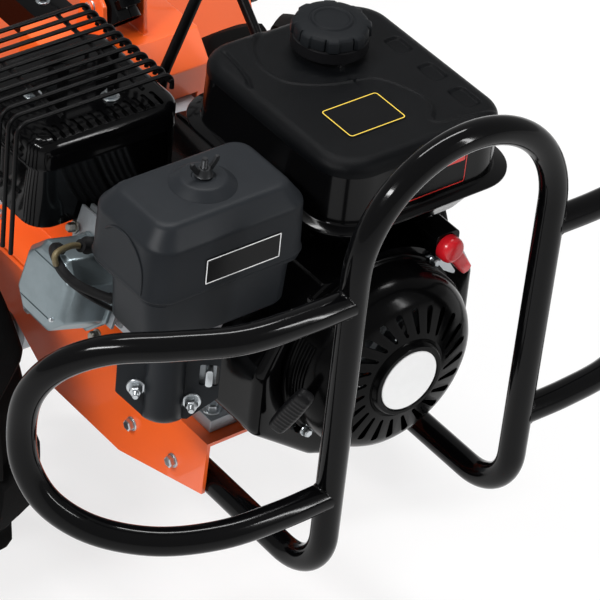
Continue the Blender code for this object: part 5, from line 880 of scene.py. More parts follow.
def saddle_places(side, height):
    """Points round the joint of a loop's end and the hoop's leg, each facing out of the seam."""
    places = []
    count = 40
    for angle in turns(count, 0.5):
        x = (TUBE_R - SEAM_SET_IN) * math.cos(angle)
        z = TUBE_R * math.sin(angle)
        reach = math.sqrt(max(0.0, TUBE_R**2 - x**2))
        at = Vector((HOOP_X + x, -side * (HOOP_HALF + reach), height + z))
        out = Vector((x, 0, z)).normalized() + Vector((x, -side * reach, 0)).normalized()
        places.append((at, out))
    return places


def make_guards():
    bm = bmesh.new()
    tube(bm, hoop_path(), TUBE_R, TUBE_WALL, 40)
    piece("front_hoop_look", bm, "gloss_black", "machine", "gloss_black", ("front_hoop",))
    for node_name, side in (("side_loop_right", 1), ("side_loop_left", -1)):
        bm = bmesh.new()
        tube(bm, loop_path(side), TUBE_R, TUBE_WALL, 40)
        piece(node_name + "_look", bm, "gloss_black", "machine", "gloss_black", (node_name,))
    places = []
    for side in (1, -1):
        for height in (LOOP_HIGH_Z, LOOP_LOW_Z):
            places += saddle_places(side, height)
    weld("guard_welds", places, "gloss_black", "machine", "gloss_black")


make_guards()


# Shapes shared by the pressed and moulded pieces


def even_loop(outline, count):
    """A closed outline as a number of points spread evenly along it."""
    points = [Vector(point) for point in outline]
    spans = [(points[(i + 1) % len(points)] - point).length for i, point in enumerate(points)]
    total = sum(spans)
    spread = []
    i = 0
    passed = 0.0
    for k in range(count):
        target = total * k / count
        while passed + spans[i] < target and i < len(points) - 1:
            passed += spans[i]
            i += 1
        share = (target - passed) / spans[i] if spans[i] > 1e-9 else 0.0
        spread.append(points[i].lerp(points[(i + 1) % len(points)], share))
    return spread


def band(bm, outline, width, axis, low, high):
    """A flat strip of one width just inside an outline."""
    inner = inset_outline(outline, width)
    loops = ((outline, low), (outline, high), (inner, high), (inner, low))
    ring_skin(bm, [[along_axis(axis, u, v, w) for u, v in loop] for loop, w in loops])


def outline_distance(places, outline, closed=True):
    """Distance from each place to an outline; where it is closed, places outside count below zero."""
    corners = np.array(outline)
    starts = corners if closed else corners[:-1]
    ends = np.roll(corners, -1, axis=0) if closed else corners[1:]
    nearest = np.full(len(places), np.inf)
    inside = np.zeros(len(places), bool)
    for start, end in zip(starts, ends):
        along = end - start
        share = np.clip(((places - start) @ along) / max(along @ along, 1e-12), 0, 1)
        nearest = np.minimum(nearest, np.linalg.norm(places - start - share[:, None] * along, axis=1))
        crosses = (start[1] > places[:, 1]) != (end[1] > places[:, 1])
        rise = end[1] - start[1]
        reach = start[0] + along[0] * (places[:, 1] - start[1]) / (rise if abs(rise) > 1e-12 else 1e-12)
        inside ^= crosses & (places[:, 0] < reach)
    return np.where(inside, nearest, -nearest) if closed else nearest


def ease(values, low, high):
    """From 0 to 1 between two values, flat at both ends."""
    share = np.clip((values - low) / (high - low), 0, 1)
    return share * share * (3 - 2 * share)


# Fuel tank and cap


def tank_outline(grow, radius, count=400):
    outline = rounded_rectangle(
        TANK_REAR - grow, TANK_FRONT + grow, TANK_RIGHT - grow, TANK_LEFT + grow, max(radius, 0.0005), 20
    )
    return even_loop(outline, count)


def low_top_outline():
    """The lower part of the tank's top: round about the neck, then along the left edge to the front."""
    bend = smooth_curve((
        (-0.12, 0.062, 0), (-0.1, 0.046, 0), (-0.091, 0.022, 0), (-0.077, 0.004, 0), (-0.058, -0.007, 0),
        (-0.038, -0.011, 0), (-0.017, -0.007, 0), (-0.003, 0.006, 0), (0.008, 0.026, 0), (0.014, 0.048, 0),
        (0.02, 0.067, 0), (0.04, 0.08, 0), (0.067, 0.088, 0), (0.086, 0.083, 0), (0.101, 0.072, 0),
        (0.108, 0.1, 0), (0.113, 0.13, 0), (0.116, 0.16, 0),
    ), 5)
    return [(point.x, point.y) for point in bend] + [(-0.12, 0.16)]


def top_relief(places):
    """How far the tank's top stands above its plateau at each place, and the depth of its low part."""
    into = outline_distance(places, low_top_outline())
    recess = TANK_RECESS * ease(into, -0.002, 0.002)
    height = -recess + 0.0008 * np.exp(-(((into + 0.003) / 0.0018) ** 2))
    for rear, front in POCKETS_X:
        pocket = rounded_rectangle(rear, front, TANK_LEFT - 0.034, TANK_LEFT - 0.018, 0.004, 5)
        height -= (TANK_POCKET - TANK_RECESS) * ease(outline_distance(places, pocket), -0.001, 0.001)
    groove = ((-0.091, -0.028), (-0.072, -0.029), (-0.052, -0.031), (-0.034, -0.035), (-0.015, -0.044))
    from_groove = outline_distance(places, groove, closed=False)
    height -= 0.0018 * (1 - ease(from_groove, 0.0008, 0.0026))
    return height, recess


def make_tank():
    flange = 0.0115
    lip = 0.0007
    bm = bmesh.new()
    layers = (
        (TANK_FLOOR, -0.03, 0.02), (TANK_FLOOR + 0.001, -0.026, 0.024), (TANK_FLOOR + 0.004, -0.021, 0.028),
        (TANK_SEAM - 0.012, -0.004, 0.038), (TANK_SEAM - 0.004, -0.0016, 0.04),
        (TANK_SEAM - 0.0022, 0.0, 0.041),
        (TANK_SEAM - 0.0015, 0.002, 0.042), (TANK_SEAM - 0.0015, flange - lip, 0.0458),
        (TANK_SEAM - lip, flange, 0.046), (TANK_SEAM + lip, flange, 0.046),
        (TANK_SEAM + 0.0015, flange - lip, 0.0458), (TANK_SEAM + 0.0015, 0.002, 0.042),
        (TANK_SEAM + 0.0024, 0.0004, 0.0405), (TANK_SEAM + 0.004, 0.0, 0.04),
        (TANK_TOP - 0.0142, -0.001, 0.039),
    )
    loft(bm, [[(u, v, z) for u, v in tank_outline(grow, radius, 200)] for z, grow, radius in layers])
    piece("tank_shell", bm, "tank_black", "machine", "gloss_black", ("fuel_tank",), crease=50)
    make_tank_top()
    bm = bmesh.new()
    turned(
        bm,
        ((NECK_R - 0.002, TANK_TOP - 0.006), (NECK_R, TANK_TOP - 0.006), (NECK_R, TANK_TOP + 0.01),
         (NECK_R + 0.0012, TANK_TOP + 0.011), (NECK_R, TANK_TOP + 0.012), (NECK_R - 0.002, TANK_TOP + 0.012)),
        (NECK_X, NECK_Y, 0), (0, 0, 1), 64,
    )
    piece("filler_neck", bm, "steel", "machine", "gloss_black")
    plates = (
        ("tank_top_plate", rounded_rectangle(0.04, 0.087, -0.012, 0.053, 0.005),
         "Z", TANK_TOP, "label_yellow"),
        ("tank_front_plate", rounded_rectangle(0.002, 0.092, 0.147, 0.181, 0.004),
         "X", TANK_FRONT, "label_red"),
    )
    for name, outline, axis, face, trim in plates:
        label_plate(name, outline, axis, face, trim, 0.0009)
    bm = bmesh.new()
    prism(bm, rounded_rectangle(0.036, 0.088, 0.1725, 0.1785, 0.0012), "X", TANK_FRONT, TANK_FRONT + 0.0007)
    piece("tank_front_band", bm, "label_red", "machine", "gloss_black")


def label_plate(name, outline, axis, face, trim, width, body="machine", slot="gloss_black", inset=0.0015):
    """A bare plate on a face, with a thin line of another colour just inside its edge."""
    bm = bmesh.new()
    prism(bm, outline, axis, face - 0.0012, face + 0.0004)
    piece(name, bm, "label_black", body, slot)
    bm = bmesh.new()
    band(bm, inset_outline(outline, inset), width, axis, face + 0.0002, face + 0.00055)
    piece(name + "_line", bm, trim, body, slot)


def make_tank_top():
    """The textured top: a rounded edge, then rings inward that take the pressing's relief."""
    edge = 0.014
    rows = []
    for k in range(9):
        turn = math.pi / 2 * k / 8
        inset = -0.001 - edge * (1 - math.cos(turn)) * 0.93
        rows.append((inset, math.sin(turn) ** 0.9, 0.039 - 0.01 * k / 8))
    rings = 72
    reach = (TANK_LEFT - TANK_RIGHT) / 2 + inset - 0.0015
    for k in range(1, rings + 1):
        rows.append((inset - reach * k / rings, 1.0, 0.029 * (1 - k / rings)))
    loops = []
    for grow, rise, radius in rows:
        places = np.array([tuple(point) for point in tank_outline(grow, radius, 460)])
        height, recess = top_relief(places)
        if rise < 1:
            levels = TANK_TOP - edge + (edge - recess) * rise
        else:
            levels = TANK_TOP + height
        loops.append([(x, y, z) for (x, y), z in zip(places, levels)])
    bm = bmesh.new()
    loops.insert(0, [(x, y, TANK_TOP - edge - 0.0001) for x, y, _ in loops[0]])
    loft(bm, loops)
    piece("tank_top", bm, "textured_black", "machine", "gloss_black", crease=60)


def cap_radius(angle, depth):
    """The cap's grip: eight broad pads that stand out, with a shallower face between two of them."""
    swing = (angle * CAP_LOBES / (2 * math.pi)) % 1.0
    pad = ease(np.array([swing]), 0.02, 0.08)[0] * (1 - ease(np.array([swing]), 0.4, 0.46)[0])
    notch = math.exp(-(((swing - 0.97) / 0.022) ** 2))
    return -0.002 * depth * (1 - pad) - 0.0022 * depth * notch


def make_cap():
    base = TANK_TOP + 0.003
    top = base + CAP_TALL
    middle = Vector((NECK_X, NECK_Y, 0))
    bm = bmesh.new()
    layers = (
        (base + CAP_TALL * 0.44, -0.005, 0.0), (base + CAP_TALL * 0.46, -0.0006, 1.0),
        (base + CAP_TALL * 0.48, 0.0, 1.0), (base + CAP_TALL * 0.8, -0.0006, 1.0),
        (base + CAP_TALL * 0.84, -0.0016, 0.9),
        (base + CAP_TALL * 0.87, -0.0032, 0.5), (base + CAP_TALL * 0.9, -0.0062, 0.1),
        (base + CAP_TALL * 0.935, -0.012, 0.0),
    )
    loops = []
    for z, grow, depth in layers:
        loop = []
        for angle in turns(384):
            radius = CAP_R + grow + cap_radius(angle, depth)
            loop.append(middle + Vector((*on_circle(radius, angle), z)))
        loops.append(loop)
    loft(bm, loops)
    crown = base + CAP_TALL * 0.93
    turned(
        bm,
        ((0, crown - 0.004), (CAP_R - 0.0124, crown - 0.004), (CAP_R - 0.0124, crown + 0.0001),
         (0.0215, crown + 0.0004), (0.0206, crown - 0.0006), (0.0198, crown + 0.0002), (0.0188, top - 0.0004),
         (0.0176, top), (0.0164, top - 0.0004), (0.0155, top - 0.0012), (0, top - 0.0009)),
        middle, (0, 0, 1), 128,
    )
    stand_in("fuel_cap_grip", bm, "cap_plastic", "fuel_cap", crease=40)
    bm = bmesh.new()
    inner = NECK_R + 0.0026
    turned(
        bm,
        ((inner, base), (CAP_R - 0.0022, base), (CAP_R - 0.001, base + 0.0012),
         (CAP_R - 0.0014, base + CAP_TALL * 0.4),
         (CAP_R - 0.0034, base + CAP_TALL * 0.445), (inner, base + CAP_TALL * 0.445)),
        middle, (0, 0, 1), 128,
    )
    # The skirt takes a darker black than the grip above it, as painted shade under the grip's pads.
    beside("fuel_cap_skirt", bm, "black_plastic", "fuel_cap")


# Air filter


def filter_outline(inset, radius=0.022, count=200):
    outline = rounded_rectangle(
        FILTER_REAR + inset, FILTER_FRONT - inset, FILTER_RIGHT + inset, FILTER_LEFT - inset, radius, 12
    )
    return even_loop(outline, count)


FILTER_MIDDLE = Vector(((FILTER_REAR + FILTER_FRONT) / 2, (FILTER_RIGHT + FILTER_LEFT) / 2, 0))


def make_filter():
    body = BODY_OF["air_filter_cover"]
    knee = FILTER_TOP - FILTER_CHAMFER
    seam = FILTER_SEAM
    layers = (
        (seam, 0.0012, 0.0225), (seam + 0.0004, 0.0004, 0.023), (seam + 0.0016, 0.0, 0.023),
        (seam + 0.0034, 0.0006, 0.023), (seam + 0.005, 0.001, 0.023), (knee - 0.003, 0.002, 0.023),
        (knee - 0.0006, 0.0024, 0.0228), (knee + 0.0012, 0.0034, 0.0222), (knee + 0.003, 0.005, 0.0212),
        (FILTER_TOP - 0.0036, 0.0134, 0.0165), (FILTER_TOP - 0.0016, 0.0156, 0.015),
        (FILTER_TOP - 0.0004, 0.0182, 0.014),
        (FILTER_TOP, 0.0215, 0.013),
    )
    bm = bmesh.new()
    loft(bm, [[(u, v, z) for u, v in filter_outline(inset, radius)] for z, inset, radius in layers])
    stand_in("filter_lid", bm, "filter_cover", "air_filter_cover", crease=50)
    bm = bmesh.new()
    top = FILTER_TOP
    turned(
        bm,
        ((0, top - 0.003), (0.031, top - 0.003), (0.03, top + 0.0002), (0.0288, top + 0.0012),
         (0.0226, top + 0.006),
         (0.021, top + 0.0071), (0.019, top + 0.0076), (0.011, top + 0.0079), (0.01, top + 0.007),
         (0.0, top + 0.007)),
        FILTER_MIDDLE, (0, 0, 1), 96,
    )
    beside("filter_boss", bm, "filter_cover", "air_filter_cover", crease=26)
    face = FILTER_RIGHT + 0.0012
    arc = smooth_curve((
        (0.047, face, 0.169), (0.055, face, 0.176), (0.066, face, 0.1795), (0.08, face, 0.1785),
        (0.092, face, 0.172), (0.1, face, 0.161), (0.1025, face, 0.148), (0.1025, face, 0.133),
    ), 8)
    bm = bmesh.new()
    tube(bm, arc, 0.0009, 0.0, 10)
    beside("filter_side_line", bm, "filter_cover", "air_filter_cover")
    label_plate(
        "filter_plate", rounded_rectangle(-0.19, -0.11, 0.1375, 0.164, 0.0012), "X", FILTER_FRONT - 0.0011,
        "label_white", 0.0009, body, SLOT_OF["air_filter_cover"], 0.0005,
    )
    make_filter_base()
    make_wing_nut()


def make_filter_base():
    """The pan that the lid sits on, its duct to the carburettor and the stud with its rolled thread."""
    bm = bmesh.new()
    pan = (
        (FILTER_SEAM - 0.005, 0.003, 0.021), (FILTER_SEAM - 0.004, 0.0018, 0.0215),
        (FILTER_SEAM - GAP, 0.0018, 0.0215)
    )
    loft(bm, [[(u, v, z) for u, v in filter_outline(inset, radius)] for z, inset, radius in pan])
    duct = []
    for z, inset in (
        (FILTER_FLOOR, 0.011), (FILTER_FLOOR + 0.001, 0.008), (FILTER_FLOOR + 0.003, 0.0055),
        (FILTER_FLOOR + 0.006, 0.004),
        (FILTER_SEAM - 0.003, 0.0024),
    ):
        outline = rounded_rectangle(
            FILTER_REAR + 0.03 + inset, FILTER_FRONT - inset, FILTER_RIGHT + inset,
            FILTER_LEFT - 0.012 - inset, 0.018, 10
        )
        duct.append([(u, v, z) for u, v in outline])
    loft(bm, duct)
    stand_in("filter_base", bm, "filter_cover", "air_filter_base", crease=40)
    bm = bmesh.new()
    profile = [(0, FILTER_SEAM - 0.003), (STUD_R, FILTER_SEAM - 0.003), (STUD_R, FILTER_TOP + 0.002)]
    profile += thread(STUD_R, 0.0004, FILTER_TOP + 0.002, FILTER_TOP + 0.0245, 0.001, 0.0003, 0.0008)
    profile += [(STUD_R - 0.0006, FILTER_TOP + 0.026), (0, FILTER_TOP + 0.026)]
    turned(bm, profile, FILTER_MIDDLE, (0, 0, 1), 32)
    beside("filter_stud", bm, "dark_bolt", "air_filter_base")


def make_wing_nut():
    seat = FILTER_TOP + 0.008 + GAP
    bm = bmesh.new()
    turned(
        bm,
        ((STUD_R + GAP, seat), (0.0078, seat), (0.0082, seat + 0.0008), (0.0074, seat + 0.0016),
         (0.0062, seat + 0.006),
         (0.0052, seat + 0.0082), (STUD_R + GAP, seat + 0.0082)),
        FILTER_MIDDLE, (0, 0, 1), 48,
    )
    for side in (-1, 1):
        outline = rounded_corners(
            ((0.0045, 0.0012), (0.0095, 0.0045), (0.0146, 0.0115), (0.0152, 0.016), (0.0118, 0.0164),
             (0.008, 0.01),
             (0.0045, 0.0075)),
            0.0012, 4,
        )
        shape = [(FILTER_MIDDLE.y + side * u, seat + v) for u, v in outline]
        prism(bm, shape, "X", FILTER_MIDDLE.x - 0.0015, FILTER_MIDDLE.x + 0.0015)
    stand_in("wing_nut", bm, "dark_bolt", "filter_wing_nut", edge=0.0004)


make_tank()
make_cap()
make_filter()


# Fan housing and starter


def shroud_outline(inset):
    """The fan housing seen from the front: a rounded body with cut corners and a flat top under the tank."""
    corners = [
        (-0.02, -0.126), (0.048, -0.126), (0.104, -0.088), (0.124, -0.03), (0.122, 0.04), (0.096, 0.086),
        (-0.05, 0.086), (-0.098, 0.056), (-0.124, 0.008), (-0.124, -0.058), (-0.052, -0.113),
    ]
    centre = Vector((0.0, -0.018))
    shrunk = []
    for point in even_loop(rounded_corners(corners, 0.018, 6), 220):
        away = point - centre
        shrunk.append(tuple(centre + away * (1 - inset / away.length)))
    return shrunk


def window_loop(x, radius):
    """A circle about the crank whose points lie in line with the housing's outline."""
    loop = []
    for u, v in shroud_outline(0):
        away = Vector((u, v)).normalized() * radius
        loop.append((x, away.x, away.y))
    return loop


def make_shroud():
    wall = 0.0016
    front = SHROUD_FRONT
    bm = bmesh.new()
    loops = [
        [(SHROUD_REAR, u, v) for u, v in shroud_outline(0)],
        [(SHROUD_REAR + 0.004, u, v) for u, v in shroud_outline(0.001)]
    ]
    edge = 0.01
    for k in range(7):
        turn = math.pi / 2 * k / 6
        loops.append([
            (front - edge + edge * math.sin(turn), u, v) for u,
            v in shroud_outline(0.001 + edge * (1 - math.cos(turn)))
        ])
    loops.append(window_loop(front, STARTER_R + 0.01))
    loops.append(window_loop(front - 0.0006, STARTER_R + 0.009))
    loops.append(window_loop(front - 0.0006, STARTER_R - 0.014))
    loops.append(window_loop(front - 0.003, STARTER_R - 0.014))
    for x, inset in ((front - wall - 0.001, edge), (front - edge, wall + 0.001), (SHROUD_REAR, wall + 0.001)):
        loops.append([(x, u, v) for u, v in shroud_outline(inset)])
    ring_skin(bm, loops)
    room = bmesh.new()
    box(room, (SHROUD_REAR - 0.01, -0.2, -0.2), (0.07 + 0.0015, 0.2, -0.106 + 0.0015))
    bm = carve(bm, room)
    stand_in("fan_housing", bm, "gloss_black", "fan_shroud", crease=35)
    bm = bmesh.new()
    low, high = SWITCH_LOW, SWITCH_HIGH
    outline = rounded_rectangle(low[1], high[1], low[2], high[2], 0.006, 6)
    prism(bm, outline, "X", low[0], high[0])
    for k in range(4):
        y = -0.074 + 0.016 * k
        prism(
            bm, rounded_rectangle(y, y + 0.0035, 0.058, 0.0805, 0.0014, 4), "X", front - 0.004, front + 0.003
        )
    beside("housing_box", bm, "gloss_black", "fan_shroud", edge=0.0008)
    bm = bmesh.new()
    plate = (
        (0.052, 0.0785), (0.06, 0.0785), (0.0862, 0.06), (0.094, 0.048), (0.094, 0.044), (0.082, 0.052),
        (0.056, 0.07)
    )
    prism(bm, rounded_corners(plate, 0.0016, 3), "X", front + 0.0004, front + 0.0022)
    piece("switch_tab", bm, "zinc", "machine", "zinc", edge=0.0004)


def make_starter():
    """The dished starter cover: slanted slots all round, a step round its middle and a bare white disc."""
    body = BODY_OF["recoil_cover"]
    rear = SHROUD_FRONT + GAP
    front = STARTER_FRONT
    face = STARTER_FACE_R
    wall = 0.0018
    rim = STARTER_R
    bm = bmesh.new()
    outer = [
        (rim + 0.004, rear), (rim + 0.004, rear + 0.0024), (rim + 0.0032, rear + 0.003),
        (rim + 0.0012, rear + 0.0031),
        (rim, rear + 0.0042), (rim - 0.001, front - 0.038), (rim - 0.0022, front - 0.031),
        (rim - 0.0052, front - 0.0245),
        (rim - 0.0098, front - 0.0185), (rim - 0.016, front - 0.0138), (rim - 0.023, front - 0.011),
        (face + 0.01, front - 0.0058), (face + 0.0072, front - 0.0052), (face + 0.006, front - 0.0058),
        (face + 0.005, front - 0.0062), (face + 0.004, front - 0.0052), (face + 0.003, front - 0.0012),
        (face + 0.0018, front), (face - 0.0014, front), (face - 0.0024, front - 0.0012), (0, front - 0.0012),
    ]
    inner = [
        (0, front - wall - 0.0012), (face, front - wall - 0.0012), (face + 0.006, front - 0.0062 - wall),
        (rim - 0.023, front - 0.011 - wall), (rim - 0.0112, front - 0.019 - wall),
        (rim - 0.003 - wall, front - 0.034),
        (rim - 0.001 - wall, rear),
    ]
    turned(bm, outer + inner, (0, 0, 0), (1, 0, 0), 144)
    slots = bmesh.new()
    count = 24
    for angle in turns(count, 0.5):
        turn = Matrix.Rotation(angle, 4, "X")
        lean = Matrix.Translation((0, 0.0575, 0)) @ Matrix.Rotation(math.radians(16), 4, "X")
        shape = [(-0.011, -0.0017), (0.011, -0.0036), (0.014, -0.0028), (0.015, 0.0), (0.014, 0.0028),
                 (0.011, 0.0036),
                 (-0.011, 0.0017), (-0.0126, 0.0)]
        prism(slots, shape, "X", front - 0.03, front + 0.01, turn @ lean)
    bm = carve(bm, slots)
    stand_in("starter_cover", bm, "starter_black", "recoil_cover", crease=35, edge=0.0005)
    bm = bmesh.new()
    for row in range(5):
        x = rear + 0.006 + 0.004 * row
        for first in (24, 152):
            points = []
            for k in range(22):
                angle = math.radians(first + 2.0 * k)
                points.append((x, *on_circle(rim - 0.0006, angle)))
            tube(bm, points, 0.0012, 0.0, 10)
    beside("starter_louvres", bm, "starter_black", "recoil_cover")
    places = []
    for angle in (48, 138, 228, 318):
        turn = math.radians(angle)
        places.append((Vector((rear + 0.0026, (rim + 0.0045) * math.cos(turn),
                               (rim + 0.0045) * math.sin(turn))), (1, 0, 0)))
    screws("starter_screws", places, "zinc", body, "zinc", across=0.008, head=0.005, flange=0.0115)
    bm = bmesh.new()
    turned(
        bm,
        ((0, front - 0.0014), (0.0308, front - 0.0014), (0.0308, front - 0.0006), (0.0304, front - 0.0002),
         (0, front - 0.0002)),
        (0, 0, 0), (1, 0, 0), 96,
    )
    beside("starter_disc", bm, "label_white", "recoil_cover", edge=0.0)


def make_pull_handle():
    """A moulded T-grip with ridges across its back and a rope into the cover's eye."""
    along = Vector(HANDLE_ALONG).normalized()
    away = Vector(PULL_OUT).normalized()
    across = along.cross(away).normalized()
    flat = across.cross(along).normalized()
    centre = Vector(HANDLE_AT)
    half = HANDLE_HALF
    bm = bmesh.new()
    loops = []
    steps = 60
    for k in range(steps + 1):
        t = -half + 2 * half * k / steps
        end = min(half - abs(t), 0.006) / 0.006
        swell = math.sqrt(max(0.0, 1 - (1 - end) ** 2)) * 0.55 + 0.45
        ridge = 0.0006 * max(0.0, math.cos(2 * math.pi * t / 0.006)) if abs(t) < half - 0.008 else 0.0
        wide = (0.009 - 0.0012 * (t / half) ** 2) * swell
        thick = (0.0068 - 0.0006 * (t / half) ** 2) * swell + ridge
        outline = rounded_rectangle(-wide, wide, -thick, thick, thick * 0.7, 5)
        loops.append([centre + along * t + across * u + flat * v for u, v in outline])
    loft(bm, loops)
    turned(
        bm,
        ((0, -0.016), (0.0042, -0.016), (0.0058, -0.006), (0.0058, 0.0), (0, 0.0)),
        centre, away, 24,
    )
    stand_in("pull_grip", bm, "black_plastic", "recoil_handle", crease=50)
    bm = bmesh.new()
    tube(bm, (centre + away * -0.05, centre + away * -0.01), 0.0019, 0.0, 16)
    beside("pull_rope", bm, "cable_sheath", "recoil_handle")


def make_switch():
    """The red stop switch: a domed boss that runs into a flat lever with a rounded end."""
    bm = bmesh.new()
    at = Vector(SWITCH_AT)
    turned(
        bm,
        ((0, 0), (0.0125, 0), (0.0128, 0.0008), (0.0126, 0.0075), (0.0118, 0.01), (0.01, 0.012),
         (0.007, 0.013),
         (0, 0.0133)),
        at, (1, 0, 0), 64,
    )
    arm = Vector(SWITCH_ARM).normalized()
    across = Vector((1, 0, 0)).cross(arm)
    outline = rounded_corners(
        ((0.0, -0.0078), (0.035, -0.0056), (0.0372, 0.0), (0.035, 0.0056), (0.0, 0.0078)), 0.0024, 5
    )
    layers = ((0.0015, 0.0008), (0.0023, 0.0), (0.0085, 0.0), (0.01, 0.0006), (0.0108, 0.0018))
    loops = []
    for out, inset in layers:
        level = at + Vector((out, 0, 0))
        loops.append([level + arm * u + across * v for u, v in inset_outline(outline, inset)])
    loft(bm, loops)
    stand_in("stop_switch", bm, "red_plastic", "engine_switch", crease=40)


# Cylinder


def cylinder_frame():
    """Local X stays the machine's X, local Y runs out along the cylinder and local Z stands square to it."""
    out = Vector((0, -math.cos(CYLINDER_TILT), math.sin(CYLINDER_TILT)))
    up = Vector((0, math.sin(CYLINDER_TILT), math.cos(CYLINDER_TILT)))
    place = Matrix((Vector((1, 0, 0)), out, up)).transposed().to_4x4()
    place.translation = Vector((CYLINDER_X, 0, 0))
    return place


CYLINDER = cylinder_frame()
HEAD_END = BARREL_OUT + HEAD_DEEP + 2 * GAP


def make_valve_cover():
    """The cast cap: a thin flange, eight-sided walls, a wide bevel and two grooves across its bare face."""
    deep = 0.053
    bm = bmesh.new()
    layers = (
        (0.0, 0.0006), (0.0006, 0.0), (0.0026, 0.0), (0.003, 0.0006), (0.0033, 0.0022), (0.0045, 0.003),
        (deep - 0.0072, 0.004), (deep - 0.0062, 0.0046), (deep - 0.0014, 0.0092), (deep - 0.0004, 0.0106),
        (deep, 0.0126),
    )
    loops = []
    for along, inset in layers:
        corners = rounded_rectangle(-0.043, 0.036, -0.058, 0.024, 0.02, 1)
        outline = even_loop(rounded_corners(inset_outline(even_corners(corners), inset), 0.0035, 5), 160)
        loops.append([CYLINDER @ Vector((u, HEAD_END + along, v)) for u, v in outline])
    loft(bm, loops)
    grooves = bmesh.new()
    for w in (0.0065, -0.039):
        box(
            grooves, (-0.06, HEAD_END + deep - 0.0009, w - 0.0007),
            (0.06, HEAD_END + deep + 0.01, w + 0.0007), CYLINDER
        )
    for w, reach in ((0.0065, 0.0275), (-0.039, 0.022)):
        box(
            grooves, (-reach, HEAD_END + deep - 0.0012, w - 0.0005),
            (reach, HEAD_END + deep + 0.01, w + 0.0005), CYLINDER
        )
    bm = carve(bm, grooves)
    body = BODY_OF["valve_cover"]
    stand_in("rocker_cap", bm, "rocker_silver", "valve_cover", crease=30, edge=0.0004)
    out = CYLINDER.to_3x3() @ Vector((0, 1, 0))
    places = [
        (CYLINDER @ Vector((u, HEAD_END + 0.003, v)), out) for u,
        v in ((-0.0385, -0.0525), (0.0315, -0.0525), (-0.0385, 0.0185))
    ]
    screws("rocker_cap_bolts", places, "zinc_dark", body, "zinc", across=0.008, head=0.007, flange=0.0125)
    screws(
        "rocker_cap_screw", [(CYLINDER @ Vector((0.0215, HEAD_END + deep - 0.0004, -0.037)), out)], "zinc",
        body, "zinc",
        across=0.0036, head=0.0016, flange=0.0048, flange_height=0.0012,
    )


def even_corners(outline):
    """An outline without points that fall on each other."""
    kept = []
    for point in outline:
        if not kept or (Vector(point) - Vector(kept[-1])).length > 1e-5:
            kept.append(point)
    return kept


def make_plug():
    """The spark plug's shell, its rubber boot with two ribs, and the lead in its woven sleeve."""
    axis = Vector((0.2, 0.97, 0.16)).normalized()
    root = Vector((0.012, BARREL_OUT + GAP + HEAD_DEEP, 0.0315))
    start = CYLINDER @ root
    out = CYLINDER.to_3x3() @ axis
    bm = bmesh.new()
    turned(
        bm,
        ((0, -0.018), (0.006, -0.018), (0.006, 0.0045), (0.0082, 0.0047), (0.0088, 0.0052), (0.0088, 0.0102),
         (0.0078, 0.0106),
         (0.0052, 0.0112), (0.0045, 0.0118), (0.0045, 0.026), (0, 0.026)),
        start, out, 6,
    )
    stand_in("plug_shell", bm, "steel", "spark_plug", edge=0.0004)
    bm = bmesh.new()
    turned(
        bm,
        ((0.005, 0.0112), (0.009, 0.0112), (0.0096, 0.012), (0.0096, 0.015), (0.0088, 0.016), (0.0088, 0.018),
         (0.0095, 0.019), (0.0093, 0.0215), (0.0078, 0.0245), (0.0074, 0.038), (0.008, 0.039), (0.008, 0.041),
         (0.0064, 0.043), (0.0058, 0.05), (0.0026, 0.05), (0.0026, 0.033), (0.005, 0.0315)),
        start, out, 48,
    )
    stand_in("plug_cap", bm, "black_rubber", "plug_boot", crease=45)
    first = start + out * 0.05
    route = smooth_curve((
        first, start + out * 0.066, (0.004, -0.262, 0.118), (0.004, -0.25, 0.09), (0.008, -0.215, 0.052),
        (0.026, -0.18, 0.03), (0.044, -0.15, 0.02), (SHROUD_REAR - 0.004, -0.118, 0.012),
        (SHROUD_REAR + 0.012, -0.1105, 0.01),
    ), 12)
    bm = bmesh.new()
    tube(bm, route, 0.0024, 0.0, 20)
    stand_in("ignition_lead", bm, "black_rubber", "ht_lead")
    bm = bmesh.new()
    tube(bm, route[2:30], 0.0029, 0.0, 20)
    beside("lead_sleeve", bm, "woven_sleeve", "ht_lead")


def make_shading_cowl():
    """The black sheet that leads the fan's air back over the crankcase and the barrel, with a rear skirt; its
    black also stands in for the shade under the tank there.
    """
    sheet = 0.0012
    line = [(0.086, 0.0628), (-0.084, 0.0628), (-0.1, 0.0664), (-0.1305, 0.0754)]
    outline = line + [(y, z + sheet) for y, z in reversed(line)]
    bm = bmesh.new()
    prism(bm, outline, "X", -0.0702, 0.06)
    skirt = ((0.092, -0.03), (0.147, -0.03), (0.147, 0.0352), (0.092, 0.0352))
    prism(bm, skirt, "X", -0.0372, -0.036, CYLINDER)
    for k in range(5):
        x = -0.058 + 0.016 * k
        prism(bm, rounded_rectangle(x - 0.0022, x + 0.0022, -0.084, -0.01, 0.0021, 4), "Z", 0.0635, 0.065)
    # The black enamel here is partly painted shade: it darkens the crankcase and barrel where the tank shades
    # them.
    beside("air_cowl", bm, "starter_black", "fan_shroud", edge=0.0004)
    places = [(Vector((x, -0.05, 0.064)), (0, 0, 1)) for x in (-0.066, 0.03)]
    screws(
        "air_cowl_screws", places, "zinc_dark", BODY_OF["fan_shroud"], "zinc", across=0.008, head=0.004,
        flange=0.0115
    )


def make_breather():
    """The rubber breather from the rocker cap round to the filter's duct."""
    route = smooth_curve((
        (-0.03, -0.23, 0.0905), (-0.026, -0.24, 0.1), (-0.012, -0.252, 0.1085), (0.006, -0.257, 0.106),
        (0.02, -0.252, 0.097), (0.034, -0.24, 0.09), (0.048, -0.228, 0.0868), (0.06, -0.218, 0.086),
    ), 10)
    bm = bmesh.new()
    tube(bm, route, 0.0042, 0.0, 28)
    for at in (4, -14):
        tube(
            bm, (route[at], route[at].lerp(route[at + 1], 0.9) + (route[at + 1] - route[at]) * 1.2), 0.005,
            0.0, 28
        )
    piece("breather_hose", bm, "black_rubber", BODY_OF["valve_cover"], SLOT_OF["ht_lead"], crease=40)


# Carburettor


